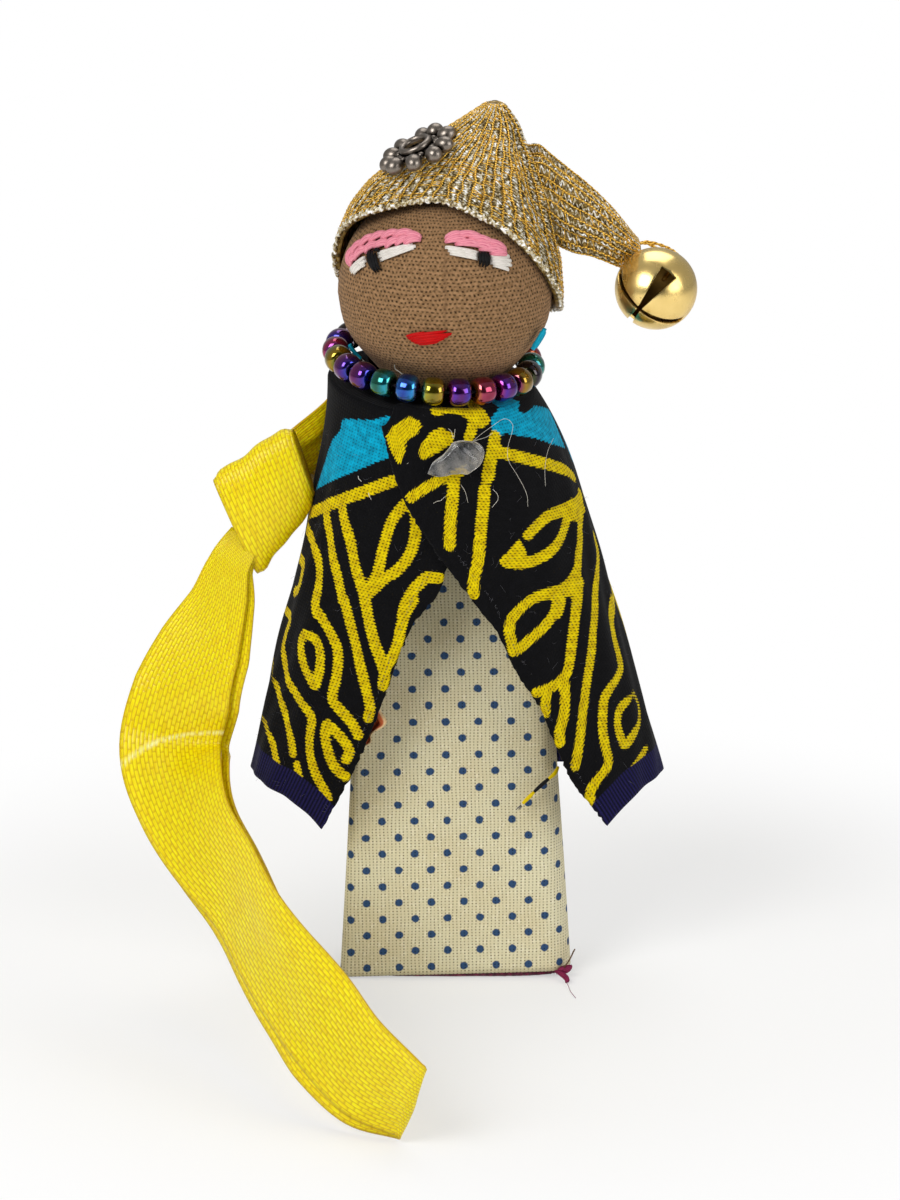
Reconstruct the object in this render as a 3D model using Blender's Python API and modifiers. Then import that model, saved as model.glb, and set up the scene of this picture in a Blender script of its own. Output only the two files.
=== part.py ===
# A cloth and yarn doll on a felt base, 131 mm tall. It wears a dress, a printed cape, a bead necklace and
# a knit hat. A jingle bell hangs from the hat's tail, and a satin ribbon loop hangs from a knot at the
# shoulder.
# Metres, +Z up. The origin is the centre of the base and the doll faces -Y, so its left is -X in these names.

import math

import bmesh
import bpy
import numpy as np
from mathutils import Matrix, Vector

# Clearances
GAP = 0.0003
CUT_OVERRUN = 0.0005
MERGE_DISTANCE = 0.000005
SMOOTH_DEGREES = 50

# Dress, felt base and core
DRESS_HEIGHT = 0.084
DRESS_WIDTH_AT_HEM = 0.0344
DRESS_WIDTH_AT_TOP = 0.024
DRESS_DEPTH_AT_HEM = 0.013
DRESS_DEPTH_AT_TOP = 0.011
DRESS_WALL = 0.0005
DRESS_LEFT_CORNER = 0.0014
DRESS_RIGHT_CORNER = 0.0037
DRESS_ROWS = 4
DRESS_HEM_LEFT = 0.0003
DRESS_HEM_RIGHT = 0.0013
BASE_THICKNESS = 0.0012
SHOULDER_RISE = 0.0051
SHOULDER_ROUND_SHARES = ((0.4, 1.0), (0.7, 0.97), (0.88, 0.92), (0.97, 0.83), (1.0, 0.7))
NECK_WELL_DEPTH = 0.0011
NECK_LEAN = -0.0015

# Head
HEAD_RADIUS = 0.0155
HEAD_LIFT = 0.0004
HEAD_FORWARD = 0.001
HEAD_CHIN_SHARES = (
    (-0.981, 0.29),
    (-0.903, 0.426),
    (-0.774, 0.574),
    (-0.645, 0.69),
    (-0.452, 0.852),
    (-0.258, 0.955),
)
HEAD_CROWN_STEP_DEGREES = 15
SKIN_WALL = 0.0005
NECK_THREAD_RADIUS = 0.00025
NECK_THREAD_RISE = 0.0006

# Face, as shares of the head's radius from its centre: across, then up
EYELID_CORD_RADIUS = 0.00085
EYELID_LEFT_SHARES = (
    (-0.925, 0.31),
    (-0.86, 0.43),
    (-0.777, 0.533),
    (-0.674, 0.612),
    (-0.562, 0.66),
    (-0.415, 0.706),
    (-0.24, 0.679),
)
EYELID_RIGHT_SHARES = ((-0.002, 0.651), (0.108, 0.701), (0.272, 0.677), (0.456, 0.614), (0.584, 0.524))
EYE_STITCH_THICKNESS = 0.0005
EYE_WHITE_WIDTH = 0.0012
EYE_WHITE_LEFT_SHARES = ((-0.855, 0.27), (-0.775, 0.375), (-0.621, 0.445), (-0.469, 0.505), (-0.345, 0.55))
EYE_WHITE_RIGHT_SHARES = ((0.016, 0.535), (0.18, 0.523), (0.304, 0.492), (0.427, 0.456), (0.565, 0.372))
EYE_WHITE_FULLNESS_SHARES = (0.7, 1.0, 1.0, 1.0, 0.7)
PUPIL_WIDTH = 0.0017
PUPIL_LEFT_SHARES = ((-0.71, 0.506), (-0.681, 0.417), (-0.653, 0.323))
PUPIL_RIGHT_SHARES = ((0.35, 0.553), (0.36, 0.482), (0.372, 0.411))
PUPIL_FULLNESS_SHARES = (0.35, 0.85, 1.0, 0.85, 0.35)
MOUTH_WIDTH = 0.0019
MOUTH_SHARES = ((-0.36, -0.245), (-0.26, -0.243), (-0.158, -0.255), (-0.05, -0.235), (0.055, -0.205))
MOUTH_FULLNESS_SHARES = (0.15, 0.75, 1.0, 0.85, 0.15)

# Necklace
# The ring clears the head and the shoulders; its centre lies beside, behind and below the head's, in shares of
# the head's radius
NECKLACE_RADIUS_SHARE = 0.91613
NECKLACE_BEYOND_SHOULDER = 0.0022
NECKLACE_PLACE_SHARES = (-0.10968, 0.08387, -0.67097)
NECKLACE_TILT_FORWARD_DEGREES = 6
NECKLACE_TILT_RIGHT_DEGREES = 5
BEAD_COUNT = 24
BEAD_RADIUS = 0.00205
# A bead's length as a share of the beads' spacing round the ring
BEAD_LENGTH_SHARE = 0.807
# Each bead's glass, counted from the front bead to the right: purple 0, teal 1, olive 2, magenta 3
BEAD_LOOKS = (2, 0, 3, 0, 2, 0, 1, 3, 0, 2, 1, 3, 0, 2, 1, 3, 0, 3, 3, 2, 3, 0, 1, 1)
BEAD_PROFILE_SHARES = ((0.61, 1.0), (0.9, 0.63), (1.0, 0.0), (0.9, -0.63), (0.61, -1.0))
STRING_RADIUS = 0.0003
STRING_CLEARANCE = 0.0004

# Cape
CAPE_THICKNESS = 0.0005
CAPE_SHOULDER_RISE = 0.005
CAPE_SHOULDER_HALF_WIDTH = 0.0158
CAPE_HEM_HALF_WIDTH = 0.0306
CAPE_HEM_HEIGHT = 0.0262
CAPE_FRONT_REACH = 0.0149
CAPE_BACK_REACH_AT_SHOULDER = 0.0135
CAPE_BACK_REACH_AT_HEM = 0.016
CAPE_HEM_SIDE_RISE = 0.0045
CAPE_CORNER_DIP = 0.0028
CAPE_CORNER_SHARE = 0.07
CAPE_CORNER_TRIM_SHARE = 0.06
CAPE_LAP = 0.0009
CAPE_LAP_DEGREES = (240, 330)
CAPE_BEAD_EASE = 0.0002
CAPE_BEAD_REST_DEGREES = (-112, -78)
CAPE_SHOULDER_POWER = 9
CAPE_COLLAR_DROP = 0.0012
CAPE_FOLD_DEPTH = 0.0009
CAPE_FOLD_COUNT = 7
CAPE_COLUMNS = 42
CAPE_COLLAR_SHARE = 0.12
CAPE_ROW_SHARES = (0.0, 0.06, 0.12, 0.17, 0.24, 0.32, 0.42, 0.53, 0.64, 0.76, 0.88, 1.0)
CAPE_FREE_CORNER_SHARE = 0.165
# The front edges: height as a share of the dress's, then degrees to the right of straight ahead
CAPE_UNDER_EDGE_SHARES = (
    (0.307, -39.6),
    (0.421, -31),
    (0.56, -22.9),
    (0.651, -17.7),
    (0.705, -13.4),
    (0.758, -4.3),
    (1.06, 18),
)
CAPE_OVER_EDGE_SHARES = (
    (0.3, 46),
    (0.411, 34.6),
    (0.546, 27.8),
    (0.617, 20.7),
    (0.688, 15.7),
    (0.751, 6.8),
    (0.795, 0),
    (0.867, -11.9),
    (0.91, -18.6),
    (0.955, -23.7),
    (1.02, -29.4),
)

# Glue on the lap, and the scrap of cloth under the left front edge
GLUE_LENGTH = 0.0087
GLUE_HEIGHT = 0.0053
GLUE_THICKNESS = 0.0018
GLUE_RISE_DEGREES = 25
GLUE_BELOW_NECK = 0.0058
GLUE_DEGREES = -354
SCRAP_THICKNESS = 0.0006
SCRAP_BOTTOM_SHARE = 0.4464
SCRAP_TOP_SHARE = 0.5333
SCRAP_DEGREES = (-36, -19)
SCRAP_PLEATS = 3
SCRAP_PLEAT_DEPTH = 0.0011

# Hat
HAT_WALL = 0.0008
HAT_PEAK_RISE = 0.0276
# Level sections: height as a share of the peak's rise, then the reach to the left, right, front and back as
# shares of the hat's radius
HAT_SECTION_SHARES = (
    (-0.236, -0.97, 0.97, 0.94, 0.94),
    (-0.163, -0.994, 0.994, 0.964, 0.964),
    (-0.011, -1.012, 1.012, 0.988, 0.994),
    (0.159, -0.982, 0.982, 0.964, 0.976),
    (0.304, -0.916, 0.91, 0.861, 0.916),
    (0.449, -0.819, 0.849, 0.675, 0.831),
    (0.558, -0.681, 0.801, 0.518, 0.735),
    (0.667, -0.464, 0.741, 0.416, 0.62),
    (0.775, -0.181, 0.675, 0.337, 0.5),
    (0.884, 0.108, 0.608, 0.241, 0.349),
    (0.957, 0.289, 0.524, 0.145, 0.205),
    (1.0, 0.392, 0.464, 0.066, 0.072),
)
# The brim: degrees round the section, from the left past the front, then its rise as a share of the head's
# radius
HAT_BRIM_SHARES = (
    (-180, 0.516),
    (-171, 0.645),
    (-144, 0.832),
    (-120, 0.935),
    (-100, 0.98),
    (-84, 0.923),
    (-57, 0.742),
    (-39, 0.516),
    (-22, 0.174),
    (-5, -0.14),
    (20, -0.26),
    (60, -0.335),
    (90, -0.355),
    (130, -0.26),
    (160, 0.065),
    (172, 0.32),
    (180, 0.516),
)
HAT_SEGMENTS = 28
HAT_RINGS = 10
HAT_LINING_SHARE = 0.12

# Hat's tail
# The root lies off the head, in this direction from its centre: to the right, behind and above
TAIL_ROOT_SHARES = (0.7348, 0.1825, 0.6532)
TAIL_ROOT_OFF_HEAD = 0.00042
TAIL_ROOT_RADIUS = 0.0049
TAIL_SOCKET_CLEARANCE = 0.0004
TAIL_LENGTH = 0.01425
TAIL_ROUTE_SHARES = ((0.0, 0.0, 0.0), (0.33, -0.04, -0.15), (0.58, -0.09, -0.316), (0.828, -0.14, -0.544))
TAIL_RADIUS_SHARES = (1.0, 0.88, 0.76, 0.58)
TAIL_DOME_DEGREES = (15, 35, 55, 75)
TAIL_PLEATS = 8
TAIL_PLEAT_SHARE = 0.05
TAIL_SEGMENTS = 24

# Flower charm on the hat
CHARM_RISE = 0.0204
CHARM_TURN_DEGREES = 21
CHARM_LONG_AXIS_SHARES = (0.9, 0.12, 0.42)
CHARM_NORMAL_SHARES = (-0.4, -0.18, 0.9)
CHARM_BALL_COUNT = 10
CHARM_BALL_RADIUS = 0.00122
CHARM_BALL_CIRCLE = 0.0046
CHARM_RING_RADIUS = 0.0019
CHARM_RING_WIRE = 0.00055
CHARM_STEM_ROOT = 0.00056
CHARM_STEM_TIP = 0.00045
CHARM_GRAIN_RADIUS = 0.00055
CHARM_LIFT = 0.0005

# Jingle bell
BELL_RADIUS = 0.00595
BELL_WALL = 0.0004
BELL_SETBACK = 0.0005
BELL_FROM_TAIL_SHARES = (0.488, -0.296, -0.821)
BELL_POLE_SHARES = (-0.44, -0.84, -0.32)
BELL_SLIT_FACE_SHARES = (0.454, -0.513, 0.727)
BELL_SEGMENTS = 28
BELL_RINGS = 12
SLIT_AT_POLE = 0.00045
SLIT_AT_END = 0.0013
SLIT_REACH_DEGREES = 75
SLIT_STEPS = 10
SHANK_WIRE = 0.0003
SHANK_HALF_WIDTH = 0.001
SHANK_STAND = 0.001
SHANK_FLARE = 0.0009
PELLET_RADIUS = 0.0013
BELL_THREAD_RADIUS = 0.00025
# The thread's route in the bell's own frame, as shares of its radius: from the tail, through the eye and back
BELL_THREAD_SHARES = (
    (0.17, -0.95, 0.93),
    (0.08, -0.57, 1.11),
    (0.0, -0.2, 1.15),
    (0.0, 0.06, 1.15),
    (0.0, 0.2, 1.22),
    (0.0, 0.23, 1.34),
    (0.0, 0.16, 1.45),
    (0.0, 0.0, 1.49),
    (0.05, -0.27, 1.45),
    (0.15, -0.6, 1.33),
    (0.32, -0.94, 1.05),
)

# Ribbon
RIBBON_WIDTH = 0.015
RIBBON_THICKNESS = 0.0004
RIBBON_LAYER_SPACING = 0.001
KNOT_BESIDE_CAPE = 0.00835
KNOT_FORWARD = 0.002
KNOT_BELOW_DRESS_TOP = 0.0122
KNOT_SIZE = 0.015
KNOT_THICKNESS = 0.005
# Across the knot from one edge of the ribbon to the other, then the shares of its height and thickness there
KNOT_ROLL_SHARES = ((0.0, 0.92, 0.62), (0.12, 0.99, 0.9), (0.5, 1.0, 1.0), (0.88, 0.99, 0.9), (1.0, 0.92, 0.62))
KNOT_SEGMENTS = 16
KNOT_BOXY_POWER = 0.75
KNOT_CORNER_SHARES = ((-0.553, 0.167), (0.22, 0.64), (0.367, -0.02), (-0.1, -0.773))
STRAP_WIDTH = 0.0102
STRAP_THICKNESS = 0.0008
STRAP_EASE = 0.0008
STRAP_ABOVE_DRESS_TOP = 0.0006
STRAP_ANGLES = (-162, -148, -134, -121)
STRAP_LEAVING_SHARES = (0.6, 0.62)
STRAP_END_SHARES = (0.2, 0.16)
STRAP_END_WIDTH_SHARE = 0.64
# The loop starts at this share of the knot's size beside its centre, and its run is a share of that start's height.
# Its route, as shares of the run: the place, which counts from the first one, the cloth's width direction, and the
# share of the full width spread there
LOOP_START_SHARES = (-0.3136, -0.1045, -0.577)
LOOP_RUN_SHARE = 1.7604
LOOP_ROUTE_SHARES = (
    ((-0.042, -0.014, -0.073), (0.9, -0.25, -0.36), 0.42),
    ((-0.056, -0.016, -0.123), (0.94, -0.32, 0.1), 0.6),
    ((-0.079, -0.02, -0.181), (0.95, -0.3, 0.0), 0.84),
    ((-0.103, -0.027, -0.244), (0.97, -0.24, 0.0), 1.0),
    ((-0.121, -0.037, -0.315), (1.0, 0.0, 0.0), 1.0),
    ((-0.102, -0.12, -0.354), (0.82, -0.04, 0.57), 1.0),
    ((-0.07, -0.198, -0.394), (0.56, -0.14, 0.82), 1.0),
    ((-0.029, -0.275, -0.429), (0.43, -0.18, 0.88), 1.0),
    ((0.007, -0.354, -0.464), (0.41, -0.17, 0.9), 1.0),
    ((0.046, -0.436, -0.495), (0.43, -0.11, 0.9), 1.0),
    ((0.086, -0.516, -0.521), (0.47, -0.04, 0.88), 1.0),
    ((0.137, -0.587, -0.554), (0.38, -0.13, 0.92), 1.0),
    ((0.198, -0.651, -0.573), (0.25, -0.45, 0.86), 1.0),
)

# Places that follow from the sizes above
CAPE_SHOULDER_HEIGHT = DRESS_HEIGHT + CAPE_SHOULDER_RISE
WELL_FLOOR = DRESS_HEIGHT + SHOULDER_RISE - NECK_WELL_DEPTH
HEAD_RISE = HEAD_LIFT - HEAD_CHIN_SHARES[0][0] * HEAD_RADIUS
HEAD_CENTRE = Vector((NECK_LEAN, -HEAD_FORWARD, WELL_FLOOR + HEAD_RISE))
NECKLACE_RADIUS = max(NECKLACE_RADIUS_SHARE * HEAD_RADIUS, DRESS_WIDTH_AT_TOP / 2 + NECKLACE_BEYOND_SHOULDER)
NECKLACE_CENTRE = HEAD_CENTRE + HEAD_RADIUS * Vector(NECKLACE_PLACE_SHARES)
BEAD_LENGTH = BEAD_LENGTH_SHARE * 2 * math.pi * NECKLACE_RADIUS / BEAD_COUNT
NECKLACE_FRAME = (
    Matrix.Translation(NECKLACE_CENTRE)
    @ Matrix.Rotation(math.radians(NECKLACE_TILT_FORWARD_DEGREES), 4, "X")
    @ Matrix.Rotation(math.radians(NECKLACE_TILT_RIGHT_DEGREES), 4, "Y")
)
HAT_RADIUS = HEAD_RADIUS + GAP + HAT_WALL
TAIL_ROOT_REACH = HEAD_RADIUS + TAIL_ROOT_RADIUS + TAIL_ROOT_OFF_HEAD
TAIL_ROOT = HEAD_CENTRE + TAIL_ROOT_REACH * Vector(TAIL_ROOT_SHARES).normalized()
TAIL_END = TAIL_ROOT + TAIL_LENGTH * Vector(TAIL_ROUTE_SHARES[-1])
BELL_REACH = BELL_RADIUS + GAP + BELL_SETBACK
BELL_CENTRE = TAIL_END + BELL_REACH * Vector(BELL_FROM_TAIL_SHARES).normalized()
KNOT_HEIGHT = DRESS_HEIGHT - KNOT_BELOW_DRESS_TOP
CAPE_FLARE = (CAPE_HEM_HALF_WIDTH - CAPE_SHOULDER_HALF_WIDTH) / (CAPE_SHOULDER_HEIGHT - CAPE_HEM_HEIGHT)
KNOT_SIDE = CAPE_SHOULDER_HALF_WIDTH + CAPE_FLARE * (CAPE_SHOULDER_HEIGHT - KNOT_HEIGHT) + KNOT_BESIDE_CAPE
KNOT_CENTRE = Vector((-KNOT_SIDE, -KNOT_FORWARD, KNOT_HEIGHT))
LOOP_START = KNOT_CENTRE + KNOT_SIZE * Vector(LOOP_START_SHARES)
LOOP_RUN = LOOP_RUN_SHARE * LOOP_START.z


# Scene, materials and modifiers


def clear_scene():
    for obj in list(bpy.data.objects):
        bpy.data.objects.remove(obj, do_unlink=True)


def new_collection(name):
    collection = bpy.data.collections.new(name)
    bpy.context.scene.collection.children.link(collection)
    return collection


def linear(channel):
    return channel / 12.92 if channel <= 0.04045 else ((channel + 0.055) / 1.055) ** 2.4


def material(name, colour, roughness, metallic=0.0):
    made = bpy.data.materials.new(name)
    made.use_nodes = True
    shader = made.node_tree.nodes["Principled BSDF"]
    channels = [linear(int(colour[i : i + 2], 16) / 255) for i in (0, 2, 4)]
    shader.inputs["Base Color"].default_value = (*channels, 1)
    shader.inputs["Roughness"].default_value = roughness
    shader.inputs["Metallic"].default_value = metallic
    return made


def add_object(name, data, look, collection):
    obj = bpy.data.objects.new(name, data)
    collection.objects.link(obj)
    if look:
        data.materials.append(look)
    return obj


def from_bmesh(name, bm, look, collection, smooth=True):
    mesh = bpy.data.meshes.new(name)
    bm.to_mesh(mesh)
    bm.free()
    if smooth:
        mesh.shade_smooth()
        mesh.set_sharp_from_angle(angle=math.radians(SMOOTH_DEGREES))
    return add_object(name, mesh, look, collection)


def add_cutter(name, bm, cutters):
    cutter = from_bmesh(name, bm, None, cutters, smooth=False)
    cutter.hide_render = True
    cutter.display_type = "WIRE"
    return cutter


def boolean(obj, other, operation):
    modifier = obj.modifiers.new(f"{operation.lower()} {other.name}", "BOOLEAN")
    modifier.operation = operation
    modifier.object = other
    modifier.solver = "EXACT"


def solidify(obj, thickness, offset):
    modifier = obj.modifiers.new("thickness", "SOLIDIFY")
    modifier.thickness = thickness
    modifier.offset = offset


def pivot(name, place, collection):
    """An empty on a joint's axis, which carries what moves there."""
    empty = bpy.data.objects.new(name, None)
    empty.location = place
    collection.objects.link(empty)
    return empty


def hang_on(child, parent, place):
    child.parent = parent
    child.matrix_parent_inverse = Matrix.Translation(-place)


# Shapes


def loft(rings):
    """A closed body through rings of as many points each, with flat ends."""
    bm = bmesh.new()
    rows = [[bm.verts.new(point) for point in ring] for ring in rings]
    for lower, upper in zip(rows[:-1], rows[1:]):
        for i in range(len(lower)):
            j = (i + 1) % len(lower)
            bm.faces.new((lower[i], lower[j], upper[j], upper[i]))
    bm.faces.new(reversed(rows[0]))
    bm.faces.new(rows[-1])
    bmesh.ops.recalc_face_normals(bm, faces=bm.faces)
    return bm


def sheet(name, columns, rows, place, thickness, look, collection):
    """A grid laid out by place(across, down), both 0 to 1, and given its thickness."""
    bm = bmesh.new()
    bmesh.ops.create_grid(bm, x_segments=columns, y_segments=rows, size=1)
    for vertex in bm.verts:
        vertex.co = place((vertex.co.x + 1) / 2, (vertex.co.y + 1) / 2)
    obj = from_bmesh(name, bm, look, collection)
    solidify(obj, thickness, 0)
    return obj


def turned(name, profile, steps, look, collection, closed=False):
    """A profile of (radius, height) points, down its outer side, turned about its own Z axis."""
    bm = bmesh.new()
    points = [bm.verts.new((radius, 0, height)) for radius, height in profile]
    for upper, lower in zip(points[:-1], points[1:]):
        bm.edges.new((upper, lower))
    if closed:
        bm.edges.new((points[-1], points[0]))
    obj = from_bmesh(name, bm, look, collection, smooth=False)
    screw = obj.modifiers.new("turn", "SCREW")
    screw.steps = steps
    screw.render_steps = steps
    screw.use_merge_vertices = True
    screw.merge_threshold = MERGE_DISTANCE
    screw.use_smooth_shade = True
    return obj


def tube(name, points, radius, look, collection, sides=1, closed=False):
    """A round wire, thread or cord through the points."""
    curve = bpy.data.curves.new(name, "CURVE")
    curve.dimensions = "3D"
    curve.bevel_depth = radius
    curve.bevel_resolution = sides
    curve.use_fill_caps = not closed
    spline = curve.splines.new("POLY")
    spline.points.add(len(points) - 1)
    for slot, point in zip(spline.points, points):
        slot.co = (*point, 1)
    spline.use_cyclic_u = closed
    spline.use_smooth = True
    return add_object(name, curve, look, collection)


def smooth_route(points, steps):
    """Points along a smooth curve through the given ones."""
    ends = [2 * points[0] - points[1], *points, 2 * points[-1] - points[-2]]
    route = []
    for before, start, end, after in zip(ends, ends[1:], ends[2:], ends[3:]):
        for step in range(steps):
            t = step / steps
            bend = (3 * (start - end) + after - before) * t + (2 * before - 5 * start + 4 * end - after)
            route.append(start + 0.5 * t * ((end - before) + t * bend))
    return [*route, points[-1].copy()]


def share_at(table, value):
    """Reads a table of pairs, in rising order of their first values, at the value."""
    first, second = zip(*table)
    return float(np.interp(value, first, second))


def smoothstep(value):
    held = min(max(value, 0), 1)
    return held * held * (3 - 2 * held)


# Where the body, the head and the cape lie


def lean_at(height):
    """The body's centre line bends to the left as it rises."""
    return NECK_LEAN * (height / WELL_FLOOR) ** 2


def dress_outline(height, inset):
    """The dress's level section, drawn in by the inset."""
    share = height / DRESS_HEIGHT
    half_width = (DRESS_WIDTH_AT_HEM + (DRESS_WIDTH_AT_TOP - DRESS_WIDTH_AT_HEM) * share) / 2 - inset
    half_depth = (DRESS_DEPTH_AT_HEM + (DRESS_DEPTH_AT_TOP - DRESS_DEPTH_AT_HEM) * share) / 2 - inset
    return rounded_box(half_width, half_depth, DRESS_LEFT_CORNER - inset, DRESS_RIGHT_CORNER - inset)


def rounded_box(half_width, half_depth, left_corner, right_corner, steps=5):
    """The points of a rectangle with round corners, the left pair unlike the right."""
    points = []
    for quarter in range(4):
        right = quarter in (0, 3)
        radius = max(right_corner if right else left_corner, GAP / 2)
        centre_x = (half_width - radius) * (1 if right else -1)
        centre_y = (half_depth - radius) * (1 if quarter < 2 else -1)
        for step in range(steps + 1):
            angle = math.radians(90 * (quarter + step / steps))
            points.append((centre_x + radius * math.cos(angle), centre_y + radius * math.sin(angle)))
    return points


def head_profile():
    """(height, radius) of the head from the neck up to the top, about its centre."""
    chin = [(height * HEAD_RADIUS, radius * HEAD_RADIUS) for height, radius in HEAD_CHIN_SHARES]
    count = round(90 / HEAD_CROWN_STEP_DEGREES)
    angles = [math.radians(HEAD_CROWN_STEP_DEGREES * step) for step in range(count)]
    crown = [(HEAD_RADIUS * math.sin(angle), HEAD_RADIUS * math.cos(angle)) for angle in angles]
    return [*chin, *crown, (HEAD_RADIUS, 0)]


def head_radius_at(height):
    return share_at(head_profile(), height - HEAD_CENTRE.z)


def neck_thread_place():
    """(height, radius) of the thread that draws the neck in."""
    level = HEAD_CENTRE.z + head_profile()[0][0] + NECK_THREAD_RISE
    return level, head_radius_at(level + NECK_THREAD_RADIUS) + GAP + NECK_THREAD_RADIUS


def face_point(shares, lift):
    """The point in front of the face at these shares of the head's radius, off the skin by the lift."""
    across, up = (share * HEAD_RADIUS for share in shares)
    radius = head_radius_at(HEAD_CENTRE.z + up)
    from_centre = Vector((across, -math.sqrt(radius**2 - across**2), up))
    return HEAD_CENTRE + from_centre + lift * from_centre.normalized()


def necklace_point(angle, outward=0.0, up=0.0):
    reach = NECKLACE_RADIUS + outward
    return NECKLACE_FRAME @ Vector((reach * math.sin(angle), -reach * math.cos(angle), up))


def cape_side_point(angle, height, lift=0.0):
    """The cape's middle surface below the shoulders, pushed out by the lift."""
    down = (CAPE_SHOULDER_HEIGHT - height) / (CAPE_SHOULDER_HEIGHT - CAPE_HEM_HEIGHT)
    fold = CAPE_FOLD_DEPTH * max(down, 0) * (1 - math.cos(angle)) / 2 * math.cos(CAPE_FOLD_COUNT * angle)
    half_width = CAPE_SHOULDER_HALF_WIDTH + (CAPE_HEM_HALF_WIDTH - CAPE_SHOULDER_HALF_WIDTH) * down
    back = CAPE_BACK_REACH_AT_SHOULDER + (CAPE_BACK_REACH_AT_HEM - CAPE_BACK_REACH_AT_SHOULDER) * down
    depth = CAPE_FRONT_REACH if math.cos(angle) > 0 else back
    across = (half_width + lift + fold) * math.sin(angle)
    return Vector((lean_at(height) + across, -(depth + lift + fold) * math.cos(angle), height))


def cape_neck_points(angle, layer):
    """The cape's edge against the head, then below and outside of the beads."""
    rest = BEAD_RADIUS + GAP + CAPE_THICKNESS / 2 + CAPE_BEAD_EASE + (1 - layer) * CAPE_LAP
    level = necklace_point(angle).z - CAPE_COLLAR_DROP
    reach = head_radius_at(level) + GAP + CAPE_THICKNESS + layer * CAPE_LAP
    collar = Vector((HEAD_CENTRE.x + reach * math.sin(angle), HEAD_CENTRE.y - reach * math.cos(angle), level))
    around = [math.radians(degrees) for degrees in CAPE_BEAD_REST_DEGREES]
    under, outside = (necklace_point(angle, rest * math.cos(turn), rest * math.sin(turn)) for turn in around)
    return collar, under, outside


def lap_at(degrees):
    """How far the cape has moved out, 0 to 1, over its other edge; degrees run below zero round the back."""
    return smoothstep((-degrees - CAPE_LAP_DEGREES[0]) / (CAPE_LAP_DEGREES[1] - CAPE_LAP_DEGREES[0]))


def cape_surface(degrees, height, lift=0.0):
    """The cape's middle surface below the beads, from its shoulder line down, pushed out by the lift."""
    angle = math.radians(degrees)
    layer = lap_at(degrees)
    outside = cape_neck_points(angle, layer)[2]
    out = layer * CAPE_LAP
    shoulder = outside - cape_side_point(angle, outside.z, out)
    above = max(height - CAPE_HEM_HEIGHT, 0) / (outside.z - CAPE_HEM_HEIGHT)
    return cape_side_point(angle, height, out + lift) + shoulder * above**CAPE_SHOULDER_POWER


def cape_place(across, down):
    """The cape's middle surface: across runs from the under edge round the back to the over edge."""
    row = down * (len(CAPE_ROW_SHARES) - 1)
    place = float(np.interp(row, range(len(CAPE_ROW_SHARES)), CAPE_ROW_SHARES))
    trimmed = CAPE_FREE_CORNER_SHARE * smoothstep(1 - (1 - across) / CAPE_CORNER_TRIM_SHARE)
    place = trimmed + (1 - trimmed) * place
    drop = max(place - CAPE_COLLAR_SHARE, 0) / (1 - CAPE_COLLAR_SHARE)
    level = CAPE_SHOULDER_HEIGHT + (CAPE_HEM_HEIGHT - CAPE_SHOULDER_HEIGHT) * drop
    start = share_at(CAPE_UNDER_EDGE_SHARES, level / DRESS_HEIGHT)
    end = share_at(CAPE_OVER_EDGE_SHARES, level / DRESS_HEIGHT) - 360
    degrees = start + (end - start) * across
    angle = math.radians(degrees)
    collar, under, outside = cape_neck_points(angle, lap_at(degrees))
    half = CAPE_COLLAR_SHARE / 2
    if place <= half:
        return collar.lerp(under, place / half)
    if place <= CAPE_COLLAR_SHARE:
        return under.lerp(outside, (place - half) / half)
    near_edge = max(1 - min(across, 1 - across) / CAPE_CORNER_SHARE, 0)
    hem = CAPE_HEM_HEIGHT + CAPE_HEM_SIDE_RISE * math.sin(angle) ** 2 - CAPE_CORNER_DIP * near_edge**2
    return cape_surface(degrees, outside.z + (hem - outside.z) * drop)


# Body


def build_base(parts):
    look = material("magenta felt", "8E2F52", 0.95)
    outline = dress_outline(0, DRESS_WALL + GAP)
    rings = [[(x, y, height) for x, y in outline] for height in (0, BASE_THICKNESS)]
    from_bmesh("base_pad", loft(rings), look, parts)


def build_core(parts, cutters):
    look = material("wooden core", "B08A5A", 0.8)
    inset = DRESS_WALL + GAP
    bottom = BASE_THICKNESS + GAP
    rings = []
    for step in range(DRESS_ROWS + 1):
        height = bottom + (DRESS_HEIGHT - bottom) * step / DRESS_ROWS
        rings.append([(lean_at(height) + x, y, height) for x, y in dress_outline(height, inset)])
    for rise, spread in SHOULDER_ROUND_SHARES:
        height = DRESS_HEIGHT + rise * SHOULDER_RISE
        outline = dress_outline(DRESS_HEIGHT, inset)
        rings.append([(lean_at(height) + spread * x, spread * y, height) for x, y in outline])
    core = from_bmesh("body_core", loft(rings), look, parts)
    well = bmesh.new()
    _, thread_reach = neck_thread_place()
    radius = thread_reach + NECK_THREAD_RADIUS + GAP
    depth = NECK_WELL_DEPTH + CUT_OVERRUN
    middle = Matrix.Translation((HEAD_CENTRE.x, HEAD_CENTRE.y, WELL_FLOOR + depth / 2))
    bmesh.ops.create_cone(
        well,
        cap_ends=True,
        segments=32,
        radius1=radius,
        radius2=radius,
        depth=depth,
        matrix=middle,
    )
    boolean(core, add_cutter("neck well", well, cutters), "DIFFERENCE")


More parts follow.
